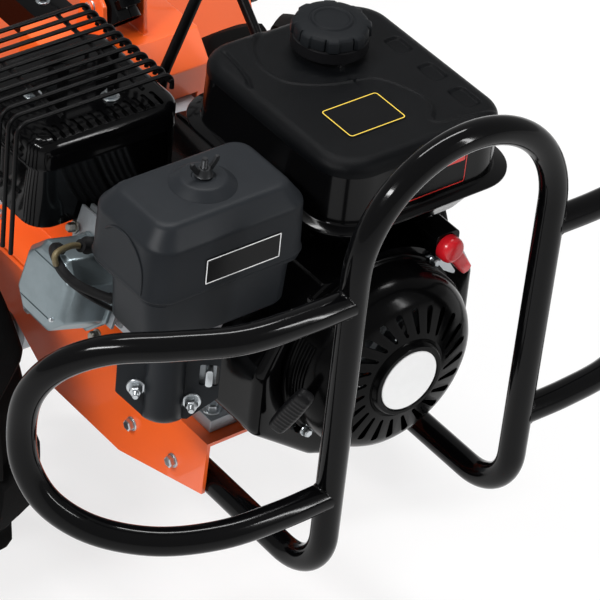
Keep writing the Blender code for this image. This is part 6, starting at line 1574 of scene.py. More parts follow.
def carb_frame():
    """Local Z points out of the carburettor's flange, local X runs between its studs."""
    out = Vector((0.8, -0.6, 0.0))
    across = Vector((0.6, 0.8, 0.0))
    place = Matrix((across, Vector((0, 0, 1)), out)).transposed().to_4x4()
    place.translation = Vector((0.08, -0.19, -0.01))
    return place


CARB = carb_frame()
CARB_PLATE = 0.0025
BULGE_R = 0.0155
BULGE_OUT = 0.02


def make_carb_cover():
    """The moulded cover: a flange each side, a bulge that closes below, the tap's slot and two nuts."""
    left, right, low, high = -0.043, 0.048, -0.027, 0.062
    bm = bmesh.new()
    loops = []
    rows = 40
    for k in range(rows + 1):
        v = low + (high - low) * k / rows
        rise = min(1.0, (v - low + 0.0002) / 0.017)
        bulge = BULGE_OUT * math.sqrt(max(0.0, 1 - (1 - rise) ** 2))
        clip = max(0.0, 0.026 - (v - low))
        front = [(left + clip, 0.0)]
        steps = 24
        for j in range(steps + 1):
            angle = math.pi * (1 - j / steps)
            u = (BULGE_R + 0.0022 * abs(math.cos(angle)) ** 3) * math.cos(angle)
            front.append((u, bulge * math.sin(angle) ** 0.85 if 0 < j < steps else 0.0))
        front.append((right - clip, 0.0))
        ring = [(u, GAP + CARB_PLATE + w) for u, w in front]
        ring += [(u * 0.985, GAP + max(0.0, w - 0.0004)) for u, w in reversed(front)]
        loops.append([CARB @ Vector((u, v, w)) for u, w in ring])
    loft(bm, loops)
    slot = bmesh.new()
    prism(slot, rounded_rectangle(0.03, 0.047, 0.0125, 0.0355, 0.002, 4), "Z", -0.01, 0.03, CARB)
    bm = carve(bm, slot)
    body = BODY_OF["carb_cover"]
    stand_in("tap_cover", bm, "filter_cover", "carb_cover", crease=35, edge=0.0005)
    out = CARB.to_3x3() @ Vector((0, 0, 1))
    seats = []
    bm = bmesh.new()
    for side in (-1, 1):
        local = Vector((side * 0.025, -side * 0.006, GAP + CARB_PLATE))
        seats.append((CARB @ local, out))
        profile = [(0, 0.004), (STUD_R, 0.004)]
        profile += thread(STUD_R, 0.0004, 0.0045, 0.0145, 0.001, 0.0003, 0.0007)
        profile += [(STUD_R - 0.0007, 0.0152), (0, 0.0152)]
        turned(bm, profile, CARB @ local, out, 24)
    piece("cover_studs", bm, "zinc", body, "zinc", crease=20)
    screws(
        "cover_nuts", seats, "zinc", body, "zinc", across=0.0105, head=0.008, flange=0.018,
        flange_height=0.0016
    )
    make_tap_lever()


def make_tap_lever():
    low = -0.004 + GAP
    bm = bmesh.new()
    outline = rounded_rectangle(0.035, 0.042, 0.014, 0.0325, 0.003, 5)
    layers = (
        (low, 0.0), (CARB_PLATE + 0.004, 0.0), (CARB_PLATE + 0.0048, 0.0004), (CARB_PLATE + 0.005, 0.0012)
    )
    loft(bm, [[CARB @ Vector((u, v, w)) for u, v in inset_outline(outline, inset)] for w, inset in layers])
    stand_in("tap_lever", bm, "zinc", "fuel_valve_lever", crease=40)


def make_case_details():
    """What is bolted to the cast case: foot bolts, the drain plug, the oil filler's ring and case screws."""
    deck = CASE_FOOT_Z + CASE_FOOT_TALL
    feet = [(Vector((x, y, deck)), (0, 0, 1)) for x in (-0.058, 0.044) for y in (-0.104, 0.104)]
    screws("foot_bolts", feet, "zinc", "machine", "zinc", across=0.012, head=0.007, flange=0.0185)
    bm = bmesh.new()
    turned(
        bm, ((0, 0), (0.0125, 0), (0.0125, 0.003), (0.01, 0.0036), (0.0098, 0.0016), (0, 0.0016)),
        (0.03, -0.098, deck), (0, 0, 1), 48
    )
    turned(bm, ((0, 0), (0.0085, 0), (0.0085, 0.009), (0.007, 0.01), (0, 0.01)), DRAIN_AT, (1, -0.2, 0), 6)
    turned(bm, ((0, -0.001), (0.011, -0.001), (0.011, 0.0012), (0, 0.0012)), DRAIN_AT, (1, -0.2, 0), 32)
    beside("drain_plug", bm, "zinc", "crankcase", edge=0.0004)
    rim = [(Vector((-0.05 + 0.024 * k, -0.0903, 0.046)), (0, -1, 0)) for k in range(4)]
    rim += [(Vector((-0.05 + 0.024 * k, 0.0883, 0.046)), (0, 1, 0)) for k in range(4)]
    screws("case_screws", rim, "zinc_dark", "machine", "zinc", across=0.008, head=0.005, flange=0.0115)


make_shroud()
make_starter()
make_pull_handle()
make_switch()
make_valve_cover()
make_plug()
make_shading_cowl()
make_breather()
make_carb_cover()
make_case_details()


# Muffler


def muffler_loop(z, inset, radius):
    outline = rounded_rectangle(
        MUFFLER_REAR + inset, MUFFLER_FRONT - inset, MUFFLER_RIGHT + inset, MUFFLER_LEFT - inset, radius, 8
    )
    return [Vector((u, v, z)) for u, v in outline]


def make_shield():
    """A pressed sheet box over the muffler: rounded top edge, a seam, slots along the top and the side."""
    top = MUFFLER_TOP
    floor = MUFFLER_FLOOR
    layers = [(floor, 0.0, 0.022), (floor + 0.003, 0.0005, 0.0215), (top - 0.03, 0.0005, 0.0215),
              (top - 0.029, 0.0, 0.022), (top - 0.026, 0.0, 0.022), (top - 0.025, 0.0006, 0.0214)]
    edge = 0.012
    for k in range(7):
        turn = math.pi / 2 * k / 6
        layers.append((top - edge + edge * math.sin(turn), 0.0006 + edge * (1 - math.cos(turn)),
                       0.0214 - 0.0009 * k))
    bm = bmesh.new()
    loft(bm, [muffler_loop(*layer) for layer in layers])
    s = MUFFLER_SHEET
    hollow = bmesh.new()
    inner = [(floor - 0.01, s, 0.02), (top - edge, s + 0.0006, 0.02)]
    for k in range(1, 5):
        turn = math.pi / 2 * k / 4
        inner.append((top - edge + (edge - s) * math.sin(turn), s + 0.0006 + edge * (1 - math.cos(turn)),
                      0.02 - 0.0012 * k))
    loft(hollow, [muffler_loop(*layer) for layer in inner])
    bm = carve(bm, hollow)
    cuts = bmesh.new()
    span = MUFFLER_LEFT - MUFFLER_RIGHT - 0.044
    for k in range(13):
        y = MUFFLER_RIGHT + 0.022 + span * k / 12
        prism(cuts, rounded_rectangle(MUFFLER_FRONT - 0.027, MUFFLER_FRONT - 0.007, y - 0.0022, y + 0.0022,
                                      0.0021, 4), "Z", top - 0.012, top + 0.01)
    for k in range(5):
        x = MUFFLER_REAR + 0.026 + 0.013 * k
        prism(
            cuts, rounded_rectangle(x - 0.0022, x + 0.0022, floor + 0.018, top - 0.032, 0.0021, 4), "Y",
            MUFFLER_RIGHT - 0.01, MUFFLER_RIGHT + 0.005
        )
    middle = (MUFFLER_RIGHT + MUFFLER_LEFT) / 2
    turned(
        cuts, ((0, -0.02), (0.013, -0.02), (0.013, 0.006), (0, 0.006)),
        (MUFFLER_REAR, middle, top - s - GAP - 0.03), (1, 0, 0), 40
    )
    for x, y in SHIELD_STUDS:
        turned(
            cuts, ((0, -0.006), (STUD_R + GAP, -0.006), (STUD_R + GAP, 0.01), (0, 0.01)), (x, y, top),
            (0, 0, 1), 32
        )
    bm = carve(bm, cuts)
    stand_in("heat_shield", bm, "gloss_black", "muffler_shield", crease=35)
    bm = bmesh.new()
    for x, y in SHIELD_STUDS:
        turned(bm, ((0, 0.0003), (0.0088, 0.0003), (0.0088, 0.0014), (0.0034, 0.0014), (0.0034, 0.0004),
                    (0, 0.0004)), (x, y, top), (0, 0, 1), 40)
        turned(bm, ((0.0034, 0.0015), (0.0052, 0.0015), (0.0058, 0.0021), (0.0058, 0.0058), (0.005, 0.0066),
                    (0.0034, 0.0066)), (x, y, top), (0, 0, 1), 6)
    piece("shield_nuts", bm, "zinc", BODY_OF["muffler"], "zinc", edge=0.0003)


def make_muffler_guard():
    """Round wires bent over the muffler, welded to cross wires under their tops and down both sides."""
    bm = bmesh.new()
    wire = GUARD_WIRE_R
    count = 11
    for k in range(count):
        x = GUARD_REAR + (GUARD_FRONT - GUARD_REAR) * k / (count - 1)
        low = (x, GUARD_RIGHT, GUARD_LOW)
        path = bent_path(
            (low, (x, GUARD_RIGHT, GUARD_TOP), (x, GUARD_LEFT, GUARD_TOP), (x, GUARD_LEFT, GUARD_LEFT_LOW)),
            0.012, 8
        )
        tube(bm, path, wire, 0.0, 16)
    stand_in("guard_wires", bm, "satin_black", "muffler_guard")
    bm = bmesh.new()
    inner = wire * 1.7
    beads = []
    for y, z, face in (
        (GUARD_RIGHT + inner, (GUARD_LOW + GUARD_TOP) / 2, (0, 1, 0)),
        (GUARD_RIGHT + inner, GUARD_TOP - 0.03, (0, 1, 0)),
        (GUARD_RIGHT + 0.045, GUARD_TOP - inner, (0, 0, -1)),
        (GUARD_LEFT - 0.035, GUARD_TOP - inner, (0, 0, -1)),
        (GUARD_LEFT - inner, GUARD_LEFT_LOW + 0.01, (0, -1, 0)),
    ):
        tube(bm, ((GUARD_REAR - 0.004, y, z), (GUARD_FRONT + 0.004, y, z)), wire, 0.0, 16)
        for k in range(count):
            x = GUARD_REAR + (GUARD_FRONT - GUARD_REAR) * k / (count - 1)
            beads.append((Vector((x, y, z)) - Vector(face) * inner / 2, face))
    for y in (MUFFLER_RIGHT + 0.06, MUFFLER_LEFT - 0.045):
        box(bm, (-0.148, y - 0.006, MUFFLER_TOP + GAP), (-0.132, y + 0.006, GUARD_TOP - wire))
    beside("guard_cross_wires", bm, "satin_black", "muffler_guard", edge=0.0003)
    weld(
        "guard_wire_welds", beads, "satin_black", BODY_OF["muffler_guard"], SLOT_OF["muffler_guard"],
        drop=0.0027, flatness=0.7
    )


# Bed and drive


def make_bed():
    """The folded bed with its bolts: two through the right side plate, two more through the left."""
    from_cad("engine_bed", "orange", "machine", "orange", edge=0.0014)
    places = []
    for side in (-1, 1):
        for x, z in ((-0.0437, -0.1622), (0.0222, -0.1592), (-0.215, -0.138), (-0.3, -0.138)):
            places.append((Vector((x, side * BED_HALF, z)), (0, side, 0)))
    screws("bed_bolts", places, "zinc", "machine", "zinc", across=0.0105, head=0.0055, flange=0.015)


def make_clutch():
    """The cast bell: stepped wall, webs round it and the ring of bolts that hold it to the crankcase."""
    front = CLUTCH_FRONT
    rear = CLUTCH_REAR
    radius = CLUTCH_R
    bm = bmesh.new()
    turned(bm, (
        (radius, front), (radius, front - 0.0085), (radius - 0.0012, front - 0.01),
        (radius - 0.007, front - 0.0125),
        (radius - 0.0085, front - 0.015), (radius - 0.013, rear + 0.024), (radius - 0.015, rear + 0.018),
        (radius - 0.028, rear + 0.003), (radius - 0.031, rear), (0.014, rear), (0.014, rear + 0.005),
        (radius - 0.032, rear + 0.005), (radius - 0.019, rear + 0.022), (radius - 0.013, front),
    ), (0, 0, 0), (1, 0, 0), 96)
    # The bell and its webs are shown in black enamel rather than bare casting, partly as painted shade for
    # the dark gap between the muffler and the tank.
    stand_in("clutch_bell", bm, "starter_black", "clutch_housing", crease=40)
    bm = bmesh.new()
    for angle in turns(10, 0.5):
        turn = Matrix.Rotation(angle, 4, "X")
        web = (
            (front - 0.009, radius - 0.003), (rear + 0.022, radius - 0.0115), (rear + 0.022, radius - 0.018),
            (front - 0.009, radius - 0.012)
        )
        loops = [[turn @ Vector((x, y, thick)) for x, y in web] for thick in (-0.0016, 0.0016)]
        loft(bm, loops)
    beside("clutch_webs", bm, "starter_black", "clutch_housing", edge=0.0005)
    places = []
    for k in range(6):
        angle = math.pi / 3 * k + 0.12
        places.append((Vector((front - 0.009, (radius - 0.0062) * math.cos(angle),
                               (radius - 0.0062) * math.sin(angle))), (-1, 0, 0)))
    screws(
        "clutch_bolts", places, "zinc", BODY_OF["clutch_housing"], "zinc", across=0.008, head=0.005,
        flange=0.0105
    )


def make_gearbox():
    """The reduction case with side covers, cover screws and a filler plug."""
    from_cad("gearbox", "cast_alloy", "machine", SLOT_OF["gearbox"], edge=0.0025)
    bm = bmesh.new()
    half = 0.056
    outline = rounded_corners(
        ((-0.205, 0.03), (-0.336, 0.03), (-0.336, -0.248), (-0.24, -0.258), (-0.205, -0.226)), 0.01, 6
    )
    for side in (-1, 1):
        loops = []
        for lift, inset in ((0.0, 0.0), (0.0035, 0.0), (0.005, 0.0015), (0.005, 0.006)):
            loops.append([Vector((u, side * (half + lift), v)) for u, v in inset_outline(outline, inset)])
        loft(bm, loops)
    beside("gearbox_covers", bm, "cast_alloy", "gearbox", edge=0.0005)
    places = []
    for side in (-1, 1):
        for u, v in even_loop(inset_outline(outline, 0.0062), 12):
            if math.hypot(u - AXLE_X, v - AXLE_Z) > 0.04 and abs(v + 0.138) > 0.022:
                places.append((Vector((u, side * (half + 0.005), v)), (0, side, 0)))
    screws("gearbox_screws", places, "zinc", "machine", "zinc", across=0.007, head=0.004, flange=0.0095)


def make_transmission_cover():
    from_cad("transmission_cover", "orange", "machine", "orange", edge=0.0014)
    places = []
    for side in (-1, 1):
        for x in (-0.24, -0.315):
            places.append((Vector((x, side * 0.1, -0.1035)), (0, 0, 1)))
        places.append((Vector((PIVOT_X, side * 0.0255, PIVOT_Z)), (0, side, 0)))
    screws("cover_bolts", places, "zinc", "machine", "zinc", across=0.0095, head=0.005, flange=0.013)


make_shield()
make_muffler_guard()
make_bed()
make_clutch()
make_gearbox()
make_transmission_cover()


# Wheels


def make_axle():
    """The axle with turned spacers, chamfered ends and a clip outside each hub."""
    middle = WHEEL_INNER + TYRE_WIDE / 2
    inner = middle - HUB_HALF - GAP
    outer = middle + HUB_HALF + GAP
    collar = AXLE_R + 0.005
    bm = bmesh.new()
    half = [
        (AXLE_R, AXLE_BOSS + GAP), (collar - 0.001, AXLE_BOSS + GAP), (collar, AXLE_BOSS + GAP + 0.001),
        (collar, inner - 0.001), (collar - 0.001, inner), (AXLE_R, inner), (AXLE_R, outer),
        (collar - 0.001, outer),
        (collar, outer + 0.001), (collar, outer + 0.005), (collar - 0.001, outer + 0.006),
        (AXLE_R, outer + 0.006),
        (AXLE_R, AXLE_END - 0.0015), (AXLE_R - 0.0015, AXLE_END), (0, AXLE_END),
    ]
    mirrored = [(radius, -along) for radius, along in reversed(half)]
    turned(bm, mirrored + half, (AXLE_X, 0, AXLE_Z), (0, 1, 0), 64)
    stand_in("axle", bm, "steel", "wheel_axle", crease=35)


def make_rim(name, side):
    """A pressed wheel: hub, disc with a raised ring and holes, barrel, rolled flanges and wheel bolts."""
    s = 0.0025
    half = RIM_HALF
    centre = Vector((AXLE_X, side * (WHEEL_INNER + TYRE_WIDE / 2), AXLE_Z))
    bore = AXLE_R + GAP
    bm = bmesh.new()
    turned(bm, (
        (bore, -HUB_HALF), (HUB_R - 0.001, -HUB_HALF), (HUB_R, -HUB_HALF + 0.001), (HUB_R, -s / 2 - 0.0015),
        (HUB_R + 0.002, -s / 2), (RIM_R - s - 0.004, -s / 2), (RIM_R - s, -s / 2 - 0.004),
        (RIM_R - s, -half + s + 0.003),
        (RIM_R - 0.001, -half + 0.001), (RIM_FLANGE_R - 0.002, -half), (RIM_FLANGE_R, -half + 0.0008),
        (RIM_FLANGE_R, -half + s - 0.0005), (RIM_FLANGE_R - 0.001, -half + s + 0.0004),
        (RIM_R + 0.0008, -half + s + 0.001),
        (RIM_R, -half + 2 * s), (RIM_R, half - 2 * s), (RIM_R + 0.0008, half - s - 0.001),
        (RIM_FLANGE_R - 0.001, half - s - 0.0004), (RIM_FLANGE_R, half - s + 0.0005),
        (RIM_FLANGE_R, half - 0.0008),
        (RIM_FLANGE_R - 0.002, half), (RIM_R - 0.001, half - 0.001), (RIM_R - s, half - s - 0.003),
        (RIM_R - s, s / 2 + 0.004),
        (RIM_R - s - 0.004, s / 2), (0.078, s / 2), (0.075, s / 2 + 0.002), (0.04, s / 2 + 0.002),
        (0.037, s / 2),
        (HUB_R + 0.002, s / 2), (HUB_R, s / 2 + 0.0015), (HUB_R, HUB_HALF - 0.001), (HUB_R - 0.001, HUB_HALF),
        (bore, HUB_HALF),
    ), centre, (0, side, 0), 128)
    holes = bmesh.new()
    for k in range(4):
        angle = math.radians(45 + 90 * k)
        at = centre + Vector((0.056 * math.cos(angle), -0.01, 0.056 * math.sin(angle)))
        turned(holes, ((0, 0), (0.0135, 0), (0.0135, 0.02), (0, 0.02)), at, (0, 1, 0), 40)
    bm = carve(bm, holes)
    body = BODY_OF[name]
    stand_in(name + "_look", bm, "silver_paint", name, crease=30)
    places = []
    for k in range(4):
        angle = math.radians(90 * k)
        at = centre + Vector((0.056 * math.cos(angle), side * (s / 2 + 0.002), 0.056 * math.sin(angle)))
        places.append((at, (0, side, 0)))
    screws(name + "_bolts", places, "zinc", body, SLOT_OF[name], across=0.013, head=0.007, flange=0.0185)


def lug_height(phase):
    """Height of a lug along one pitch, from its flat crest down two steep flanks."""
    distance = min(abs(phase - 0.25), abs(phase - 1.25), abs(phase + 0.75))
    return max(0.0, min(1.0, (0.26 - distance) / 0.045))


def make_tyre(name, side):
    """A lugged tyre: sidewalls with raised rings, and leaning lugs that meet at the crown."""
    half = TYRE_WIDE / 2
    bead = RIM_HALF - 0.0062
    bore = RIM_R + GAP
    crown = WHEEL_R - LUG_TALL
    one_side = (
        (crown, 1.0, 0.001), (crown, 1.0, half * 0.25), (crown - 0.0003, 1.0, half * 0.5),
        (crown - 0.001, 1.0, half - 0.012),
        (crown - 0.005, 0.98, half - 0.006), (0.176, 0.8, half - 0.0022), (0.17, 0.62, half - 0.0008),
        (0.1635, 0.25, half - 0.0004),
        (0.1605, 0.0, half - 0.0006), (0.16, 0.0, half - 0.0016), (0.156, 0.0, half - 0.0016),
        (0.1555, 0.0, half - 0.0006),
        (0.14, 0.0, half - 0.0006), (0.129, 0.0, half - 0.0016), (RIM_FLANGE_R + 0.012, 0.0, half - 0.003),
        (RIM_FLANGE_R + 0.006, 0.0, half - 0.0068), (RIM_FLANGE_R + 0.0025, 0.0, bead + 0.002),
        (bore + 0.001, 0.0, bead),
        (bore, 0.0, bead - 0.001), (bore, 0.0, bead - 0.009),
    )
    inner = (
        (RIM_FLANGE_R + 0.022, 0.0, half - 0.008), (crown - 0.014, 0.0, half - 0.012),
        (crown - 0.008, 0.0, half - 0.022),
    )
    section = [(r, lug, -w) for r, lug, w in reversed(one_side)] + list(one_side)
    section += list(inner) + [(r, lug, -w) for r, lug, w in reversed(inner)]
    centre = Vector((AXLE_X, side * (WHEEL_INNER + half), AXLE_Z))
    columns = []
    steps = LUG_PAIRS * 40
    bm = bmesh.new()
    for k in range(steps):
        column = []
        for radius, lug, along in section:
            lean = LUG_LEAN * abs(along) / half if lug > 0 else LUG_LEAN
            phase = (LUG_PAIRS * k / steps + (0.5 if along < 0 else 0.0)) % 1.0
            raised = radius + (WHEEL_R - crown) * lug * lug_height(phase)
            raised = min(raised, WHEEL_R)
            angle = 2 * math.pi * k / steps + lean
            column.append(bm.verts.new((
                centre.x + raised * math.cos(angle), centre.y + side * along,
                centre.z + raised * math.sin(angle),
            )))
        columns.append(column)
    for near, far in zip(columns, columns[1:] + columns[:1]):
        for i in range(len(section)):
            j = (i + 1) % len(section)
            bm.faces.new((near[i], near[j], far[j], far[i]))
    stand_in(name + "_look", bm, "tyre_rubber", name, crease=38)


# Tines and hood


def blade_loops(angle, y, bend):
    """One L-shaped blade with a sharpened edge: a flat arm, then a tip that sweeps sideways and back."""
    radial = Vector((math.cos(angle), 0, math.sin(angle)))
    along = Vector((-math.sin(angle), 0, math.cos(angle)))
    centre = Vector((TINE_X, y, TINE_Z))
    side = Vector((0, 1, 0))
    stations = (
        (0.03, 0.0, 0.0, 0.019, 0.003, 0.0), (0.075, 0.003, 0.0, 0.0185, 0.003, 0.0),
        (0.12, 0.006, 0.0, 0.018, 0.003, 0.0),
        (0.134, 0.008, 0.001, 0.0175, 0.003, 0.25), (0.146, 0.01, 0.004, 0.017, 0.003, 0.5),
        (0.156, 0.012, 0.009, 0.0165, 0.003, 0.75),
        (0.163, 0.014, 0.016, 0.016, 0.003, 1.0), (0.167, 0.016, 0.03, 0.0132, 0.0028, 1.1),
        (0.17, 0.018, TINE_SWEEP, 0.01, 0.0025, 1.2),
    )
    loops = []
    for radius, trail, out, half, thick, turn in stations:
        middle = centre + radial * radius + along * trail + side * bend * out
        face = (side * math.cos(min(turn, 1.2) * 1.2) - radial * bend * math.sin(min(turn,
                                                                                     1.2) * 1.2)).normalized()
        ring = []
        for u, v in ((-half, 0.35), (-half + 0.006, 1.0), (half - 0.002, 1.0), (half, 0.7)):
            ring.append(middle + along * u - face * thick * v)
        for u, v in ((half, 0.7), (half - 0.002, 1.0), (-half + 0.006, 1.0), (-half, 0.35)):
            ring.append(middle + along * u + face * thick * v)
        loops.append(ring)
    return loops


def make_gang(name, side):
    """One side's rotor: sleeve, two flanges, eight blades with two bolts each and a cross pin."""
    inner = TINE_CASE_HALF + 0.0015
    outer = TINE_FLANGES[1] + 0.026
    bore = TINE_SHAFT_R + GAP
    body = BODY_OF[name]
    slot = SLOT_OF[name]
    bm = bmesh.new()
    profile = [(bore, inner), (0.0202, inner), (0.021, inner + 0.0008)]
    for y in TINE_FLANGES:
        profile += [(0.021, y - 0.0055), (0.023, y - 0.0035), (0.0555, y - 0.0035), (0.056, y - 0.003),
                    (0.056, y + 0.003),
                    (0.0555, y + 0.0035), (0.023, y + 0.0035), (0.021, y + 0.0055)]
    profile += [(0.021, outer - 0.0008), (0.0202, outer), (bore, outer)]
    turned(bm, profile, (TINE_X, 0, TINE_Z), (0, side, 0), 72)
    stand_in(name + "_hub", bm, "tine_steel", name, crease=35)
    bm = bmesh.new()
    places = []
    for row, y in enumerate(TINE_FLANGES):
        for k in range(BLADES):
            angle = 2 * math.pi * (k + 0.5 * row + (0.25 if side > 0 else 0)) / BLADES
            bend = side * (1 if k % 2 else -1)
            loft(bm, blade_loops(angle, side * y, bend))
            for reach, shift in ((0.036, -0.008), (0.046, 0.009)):
                radial = Vector((math.cos(angle), 0, math.sin(angle)))
                along = Vector((-math.sin(angle), 0, math.cos(angle)))
                at = Vector((TINE_X, side * (y + 0.0035), TINE_Z)) + radial * reach + along * shift
                places.append((at, (0, side, 0)))
    beside(name + "_blades", bm, "tine_steel", name, crease=30, edge=0.0003)
    screws(name + "_bolts", places, "zinc_dark", body, slot, across=0.011, head=0.006, flange=0.015)
    bm = bmesh.new()
    pin_y = side * (outer - 0.01)
    cylinder_between(bm, 0.004, (TINE_X, pin_y, TINE_Z - 0.0245), (TINE_X, pin_y, TINE_Z + 0.0245), 24)
    beside(name + "_pin", bm, "zinc", name, edge=0.0005)


def make_hood():
    """The hood and its flap keep their folded form; bolts hold its ribs and its hinge lugs are welded on."""
    from_cad("tine_hood", "orange", BODY_OF["tine_hood"], "orange", edge=0.0012)
    from_cad("rear_flap", "orange", BODY_OF["rear_flap"], "orange", edge=0.0008)
    places = []
    for side in (-1, 1):
        for k in range(4):
            places.append((Vector((-0.6 - 0.07 * k, side * 0.2, 0.034)), (0, 0, 1)))
        for x in (-0.64, -0.76):
            places.append((Vector((x, side * HOOD_HALF, -0.02)), (0, side, 0)))
    screws("hood_bolts", places, "zinc", "machine", "zinc", across=0.0095, head=0.005, flange=0.013)
    seam = []
    for y in (-0.315, 0.0, 0.315):
        for k in range(9):
            seam.append((Vector((-0.9455, y - 0.01 + 0.0025 * k, -0.0496)), (-0.3, 0, 1)))
    weld("hinge_welds", seam, "orange", "machine", "orange", drop=0.0022)


def make_knob(name, side):
    """A lobed hand knob on its stud, with a cupped face."""
    x, z = KNOB_AT
    face = HOOD_HALF + GAP
    bm = bmesh.new()
    loops = []
    layers = ((0.0, 0.0112, 0.0), (0.0006, 0.012, 0.0), (0.007, 0.012, 0.0), (0.009, 0.0132, 0.3),
              (0.0104, 0.016, 0.8),
              (0.0115, 0.0172, 1.0), (0.0205, 0.0172, 1.0), (0.0228, 0.0162, 1.0), (0.0245, 0.0142, 0.9),
              (0.025, 0.012, 0.8),
              (0.0246, 0.01, 0.4), (0.024, 0.006, 0.0))
    for out, radius, wave in layers:
        ring = []
        for angle in turns(96):
            r = radius + 0.0008 * wave * math.cos(6 * angle)
            ring.append(Vector((x + r * math.cos(angle), side * (face + out), z + r * math.sin(angle))))
        loops.append(ring)
    loft(bm, loops)
    stand_in(name + "_grip", bm, "black_plastic", name, crease=40)
    bm = bmesh.new()
    back = HOOD_HALF - 0.003 - GAP
    turned(bm, ((0, back - 0.005), (0.0062, back - 0.005), (0.007, back - 0.0042), (0.007, back),
                (0.004, back), (0.004, face), (0, face)),
           (x, 0, z), (0, side, 0), 6)
    beside(name + "_nut", bm, "zinc", name, edge=0.0003)


def make_stake():
    """The stake, its clamp screw and the beam over the hood."""
    from_cad("depth_stake", "steel", BODY_OF["depth_stake"], SLOT_OF["depth_stake"], edge=0.001)
    from_cad("rear_beam", "gloss_black", "machine", "gloss_black", edge=0.0012)
    tip = STAKE_X - 0.006 - GAP
    bm = bmesh.new()
    profile = [(0, 0.0), (0.004, 0.0), (0.005, 0.001)]
    profile += thread(0.005, 0.0005, 0.0015, 0.0385, 0.0012, 0.0004, 0.0009)
    profile += [(0.005, 0.04), (0.0072, 0.0412), (0.008, 0.0422), (0.008, 0.0532), (0.007, 0.054), (0, 0.054)]
    turned(bm, profile, (tip, 0, SCREW_Z), (-1, 0, 0), 40)
    turned(
        bm, ((0, -0.03), (0.003, -0.03), (0.004, -0.029), (0.004, 0.029), (0.003, 0.03), (0, 0.03)),
        (tip - 0.048, 0, SCREW_Z), (0, 1, 0), 32
    )
    stand_in("clamp_screw_look", bm, "zinc", "stake_screw", crease=35)
    places = []
    for x in (-0.4, -0.47, -0.72, -0.8):
        places.append((Vector((x, 0, 0.0663)), (0, 0, 1)))
    screws("beam_bolts", places, "zinc", "machine", "zinc", across=0.0105, head=0.0055, flange=0.015)


make_axle()
for rim_name, tyre_name, rim_side in (
    ("wheel_rim_right", "tyre_right", -1), ("wheel_rim_left", "tyre_left", 1)
):
    make_rim(rim_name, rim_side)
    make_tyre(tyre_name, rim_side)
for gang_name, gang_side in (("tine_gang_right", -1), ("tine_gang_left", 1)):
    make_gang(gang_name, gang_side)
make_hood()
make_knob("hood_knob_right", -1)
make_knob("hood_knob_left", 1)
make_stake()


# Handlebar and controls


def bar_corners(side):
    return (
        Vector((GRIP_REAR + 0.004, side * BAR_HALF, GRIP_Z)),
        Vector((GRIP_FRONT + 0.14, side * BAR_HALF, GRIP_Z - 0.01)),
        Vector((HEAD_X, side * 0.06, HEAD_Z)),
    )


def bar_line():
    rear, front, _ = bar_corners(1)
    return (Vector((front.x, 0, front.z)) - Vector((rear.x, 0, rear.z))).normalized()


def bar_height(x):
    """Height of the handlebar's straight end at a place along it."""
    rear, front, _ = bar_corners(1)
    share = (x - rear.x) / (front.x - rear.x)
    return rear.z + (front.z - rear.z) * share


def make_handlebar():
    """One bent tube with its mast, gusset plates, the levers' brackets and the cables' anchor."""
    right = bar_corners(-1)
    left = bar_corners(1)
    body = BODY_OF["handlebar"]
    slot = SLOT_OF["handlebar"]
    along = (Vector((HEAD_X, 0, HEAD_Z)) - Vector((PIVOT_X, 0, PIVOT_Z))).normalized()
    out = Vector((along.z, 0, -along.x))
    top = Vector((HEAD_X, 0, HEAD_Z))
    pivot = Vector((PIVOT_X, 0, PIVOT_Z))
    bm = bmesh.new()
    tube(bm, bent_path(right + tuple(reversed(left)), 0.05, 14), BAR_R, 0.002, 36)
    stand_in("handlebar_tube", bm, "gloss_black", "handlebar")
    bm = bmesh.new()
    tube(bm, (pivot - along * 0.024, top - along * (BAR_R - 0.003)), MAST_R, 0.0025, 48)
    bore = bmesh.new()
    cylinder_between(bore, 0.0064, (PIVOT_X, -0.05, PIVOT_Z), (PIVOT_X, 0.05, PIVOT_Z), 40)
    bm = carve(bm, bore)
    beside("mast_tube", bm, "gloss_black", "handlebar", crease=40)
    bm = bmesh.new()
    for side in (-1, 1):
        sheet = (
            top - along * 0.06 + Vector((0, side * MAST_R * 0.9, 0)), top + Vector((0, side * 0.052, -0.003)),
            top - along * 0.012 + Vector((0, side * 0.016, 0)),
        )
        loft(bm, [[corner + out * thick for corner in sheet] for thick in (-0.002, 0.002)])
        z = bar_height(LEVER_X)
        base = side * BAR_HALF
        ends = (base - side * 0.009, base - side * 0.003)
        face = ((LEVER_X - 0.012, z - BAR_R + 0.001), (LEVER_X + 0.012, z - BAR_R + 0.001),
                (LEVER_X + 0.007, z - LEVER_DROP - 0.008), (LEVER_X - 0.007, z - LEVER_DROP - 0.008))
        prism(bm, face, "Y", min(ends), max(ends))
    loops = []
    for reach in (-0.014, -0.005):
        base = pivot + along * reach
        loops.append([base + out * lift + Vector((0, y, 0))
                      for y, lift in ((-0.011, 0.016), (0.011, 0.016), (0.011, 0.026), (-0.011, 0.026))])
    loft(bm, loops)
    beside("bar_brackets", bm, "gloss_black", "handlebar", edge=0.0006)
    bm = bmesh.new()
    for side in (-1, 1):
        base = side * BAR_HALF
        z = bar_height(LEVER_X) - LEVER_DROP
        cylinder_between(bm, 0.003, (LEVER_X, base - side * 0.006, z), (LEVER_X, base + side * 0.006, z), 24)
        turned(bm, ((0, 0.0038), (0.0054, 0.0038), (0.006, 0.0044), (0.006, 0.0062), (0.0052, 0.007),
                    (0, 0.007)),
               (LEVER_X, base, z), (0, side, 0), 32)
    beside("lever_pins", bm, "zinc", "handlebar", edge=0.0002)
    beads = []
    for angle in turns(40):
        around = out * math.cos(angle) + Vector((0, 1, 0)) * math.sin(angle)
        reach = math.sqrt(max(0.0, BAR_R**2 - (MAST_R * math.cos(angle)) ** 2))
        beads.append((top - along * reach + around * MAST_R, around - along))
    weld("mast_weld", beads, "gloss_black", body, slot, drop=0.0026)


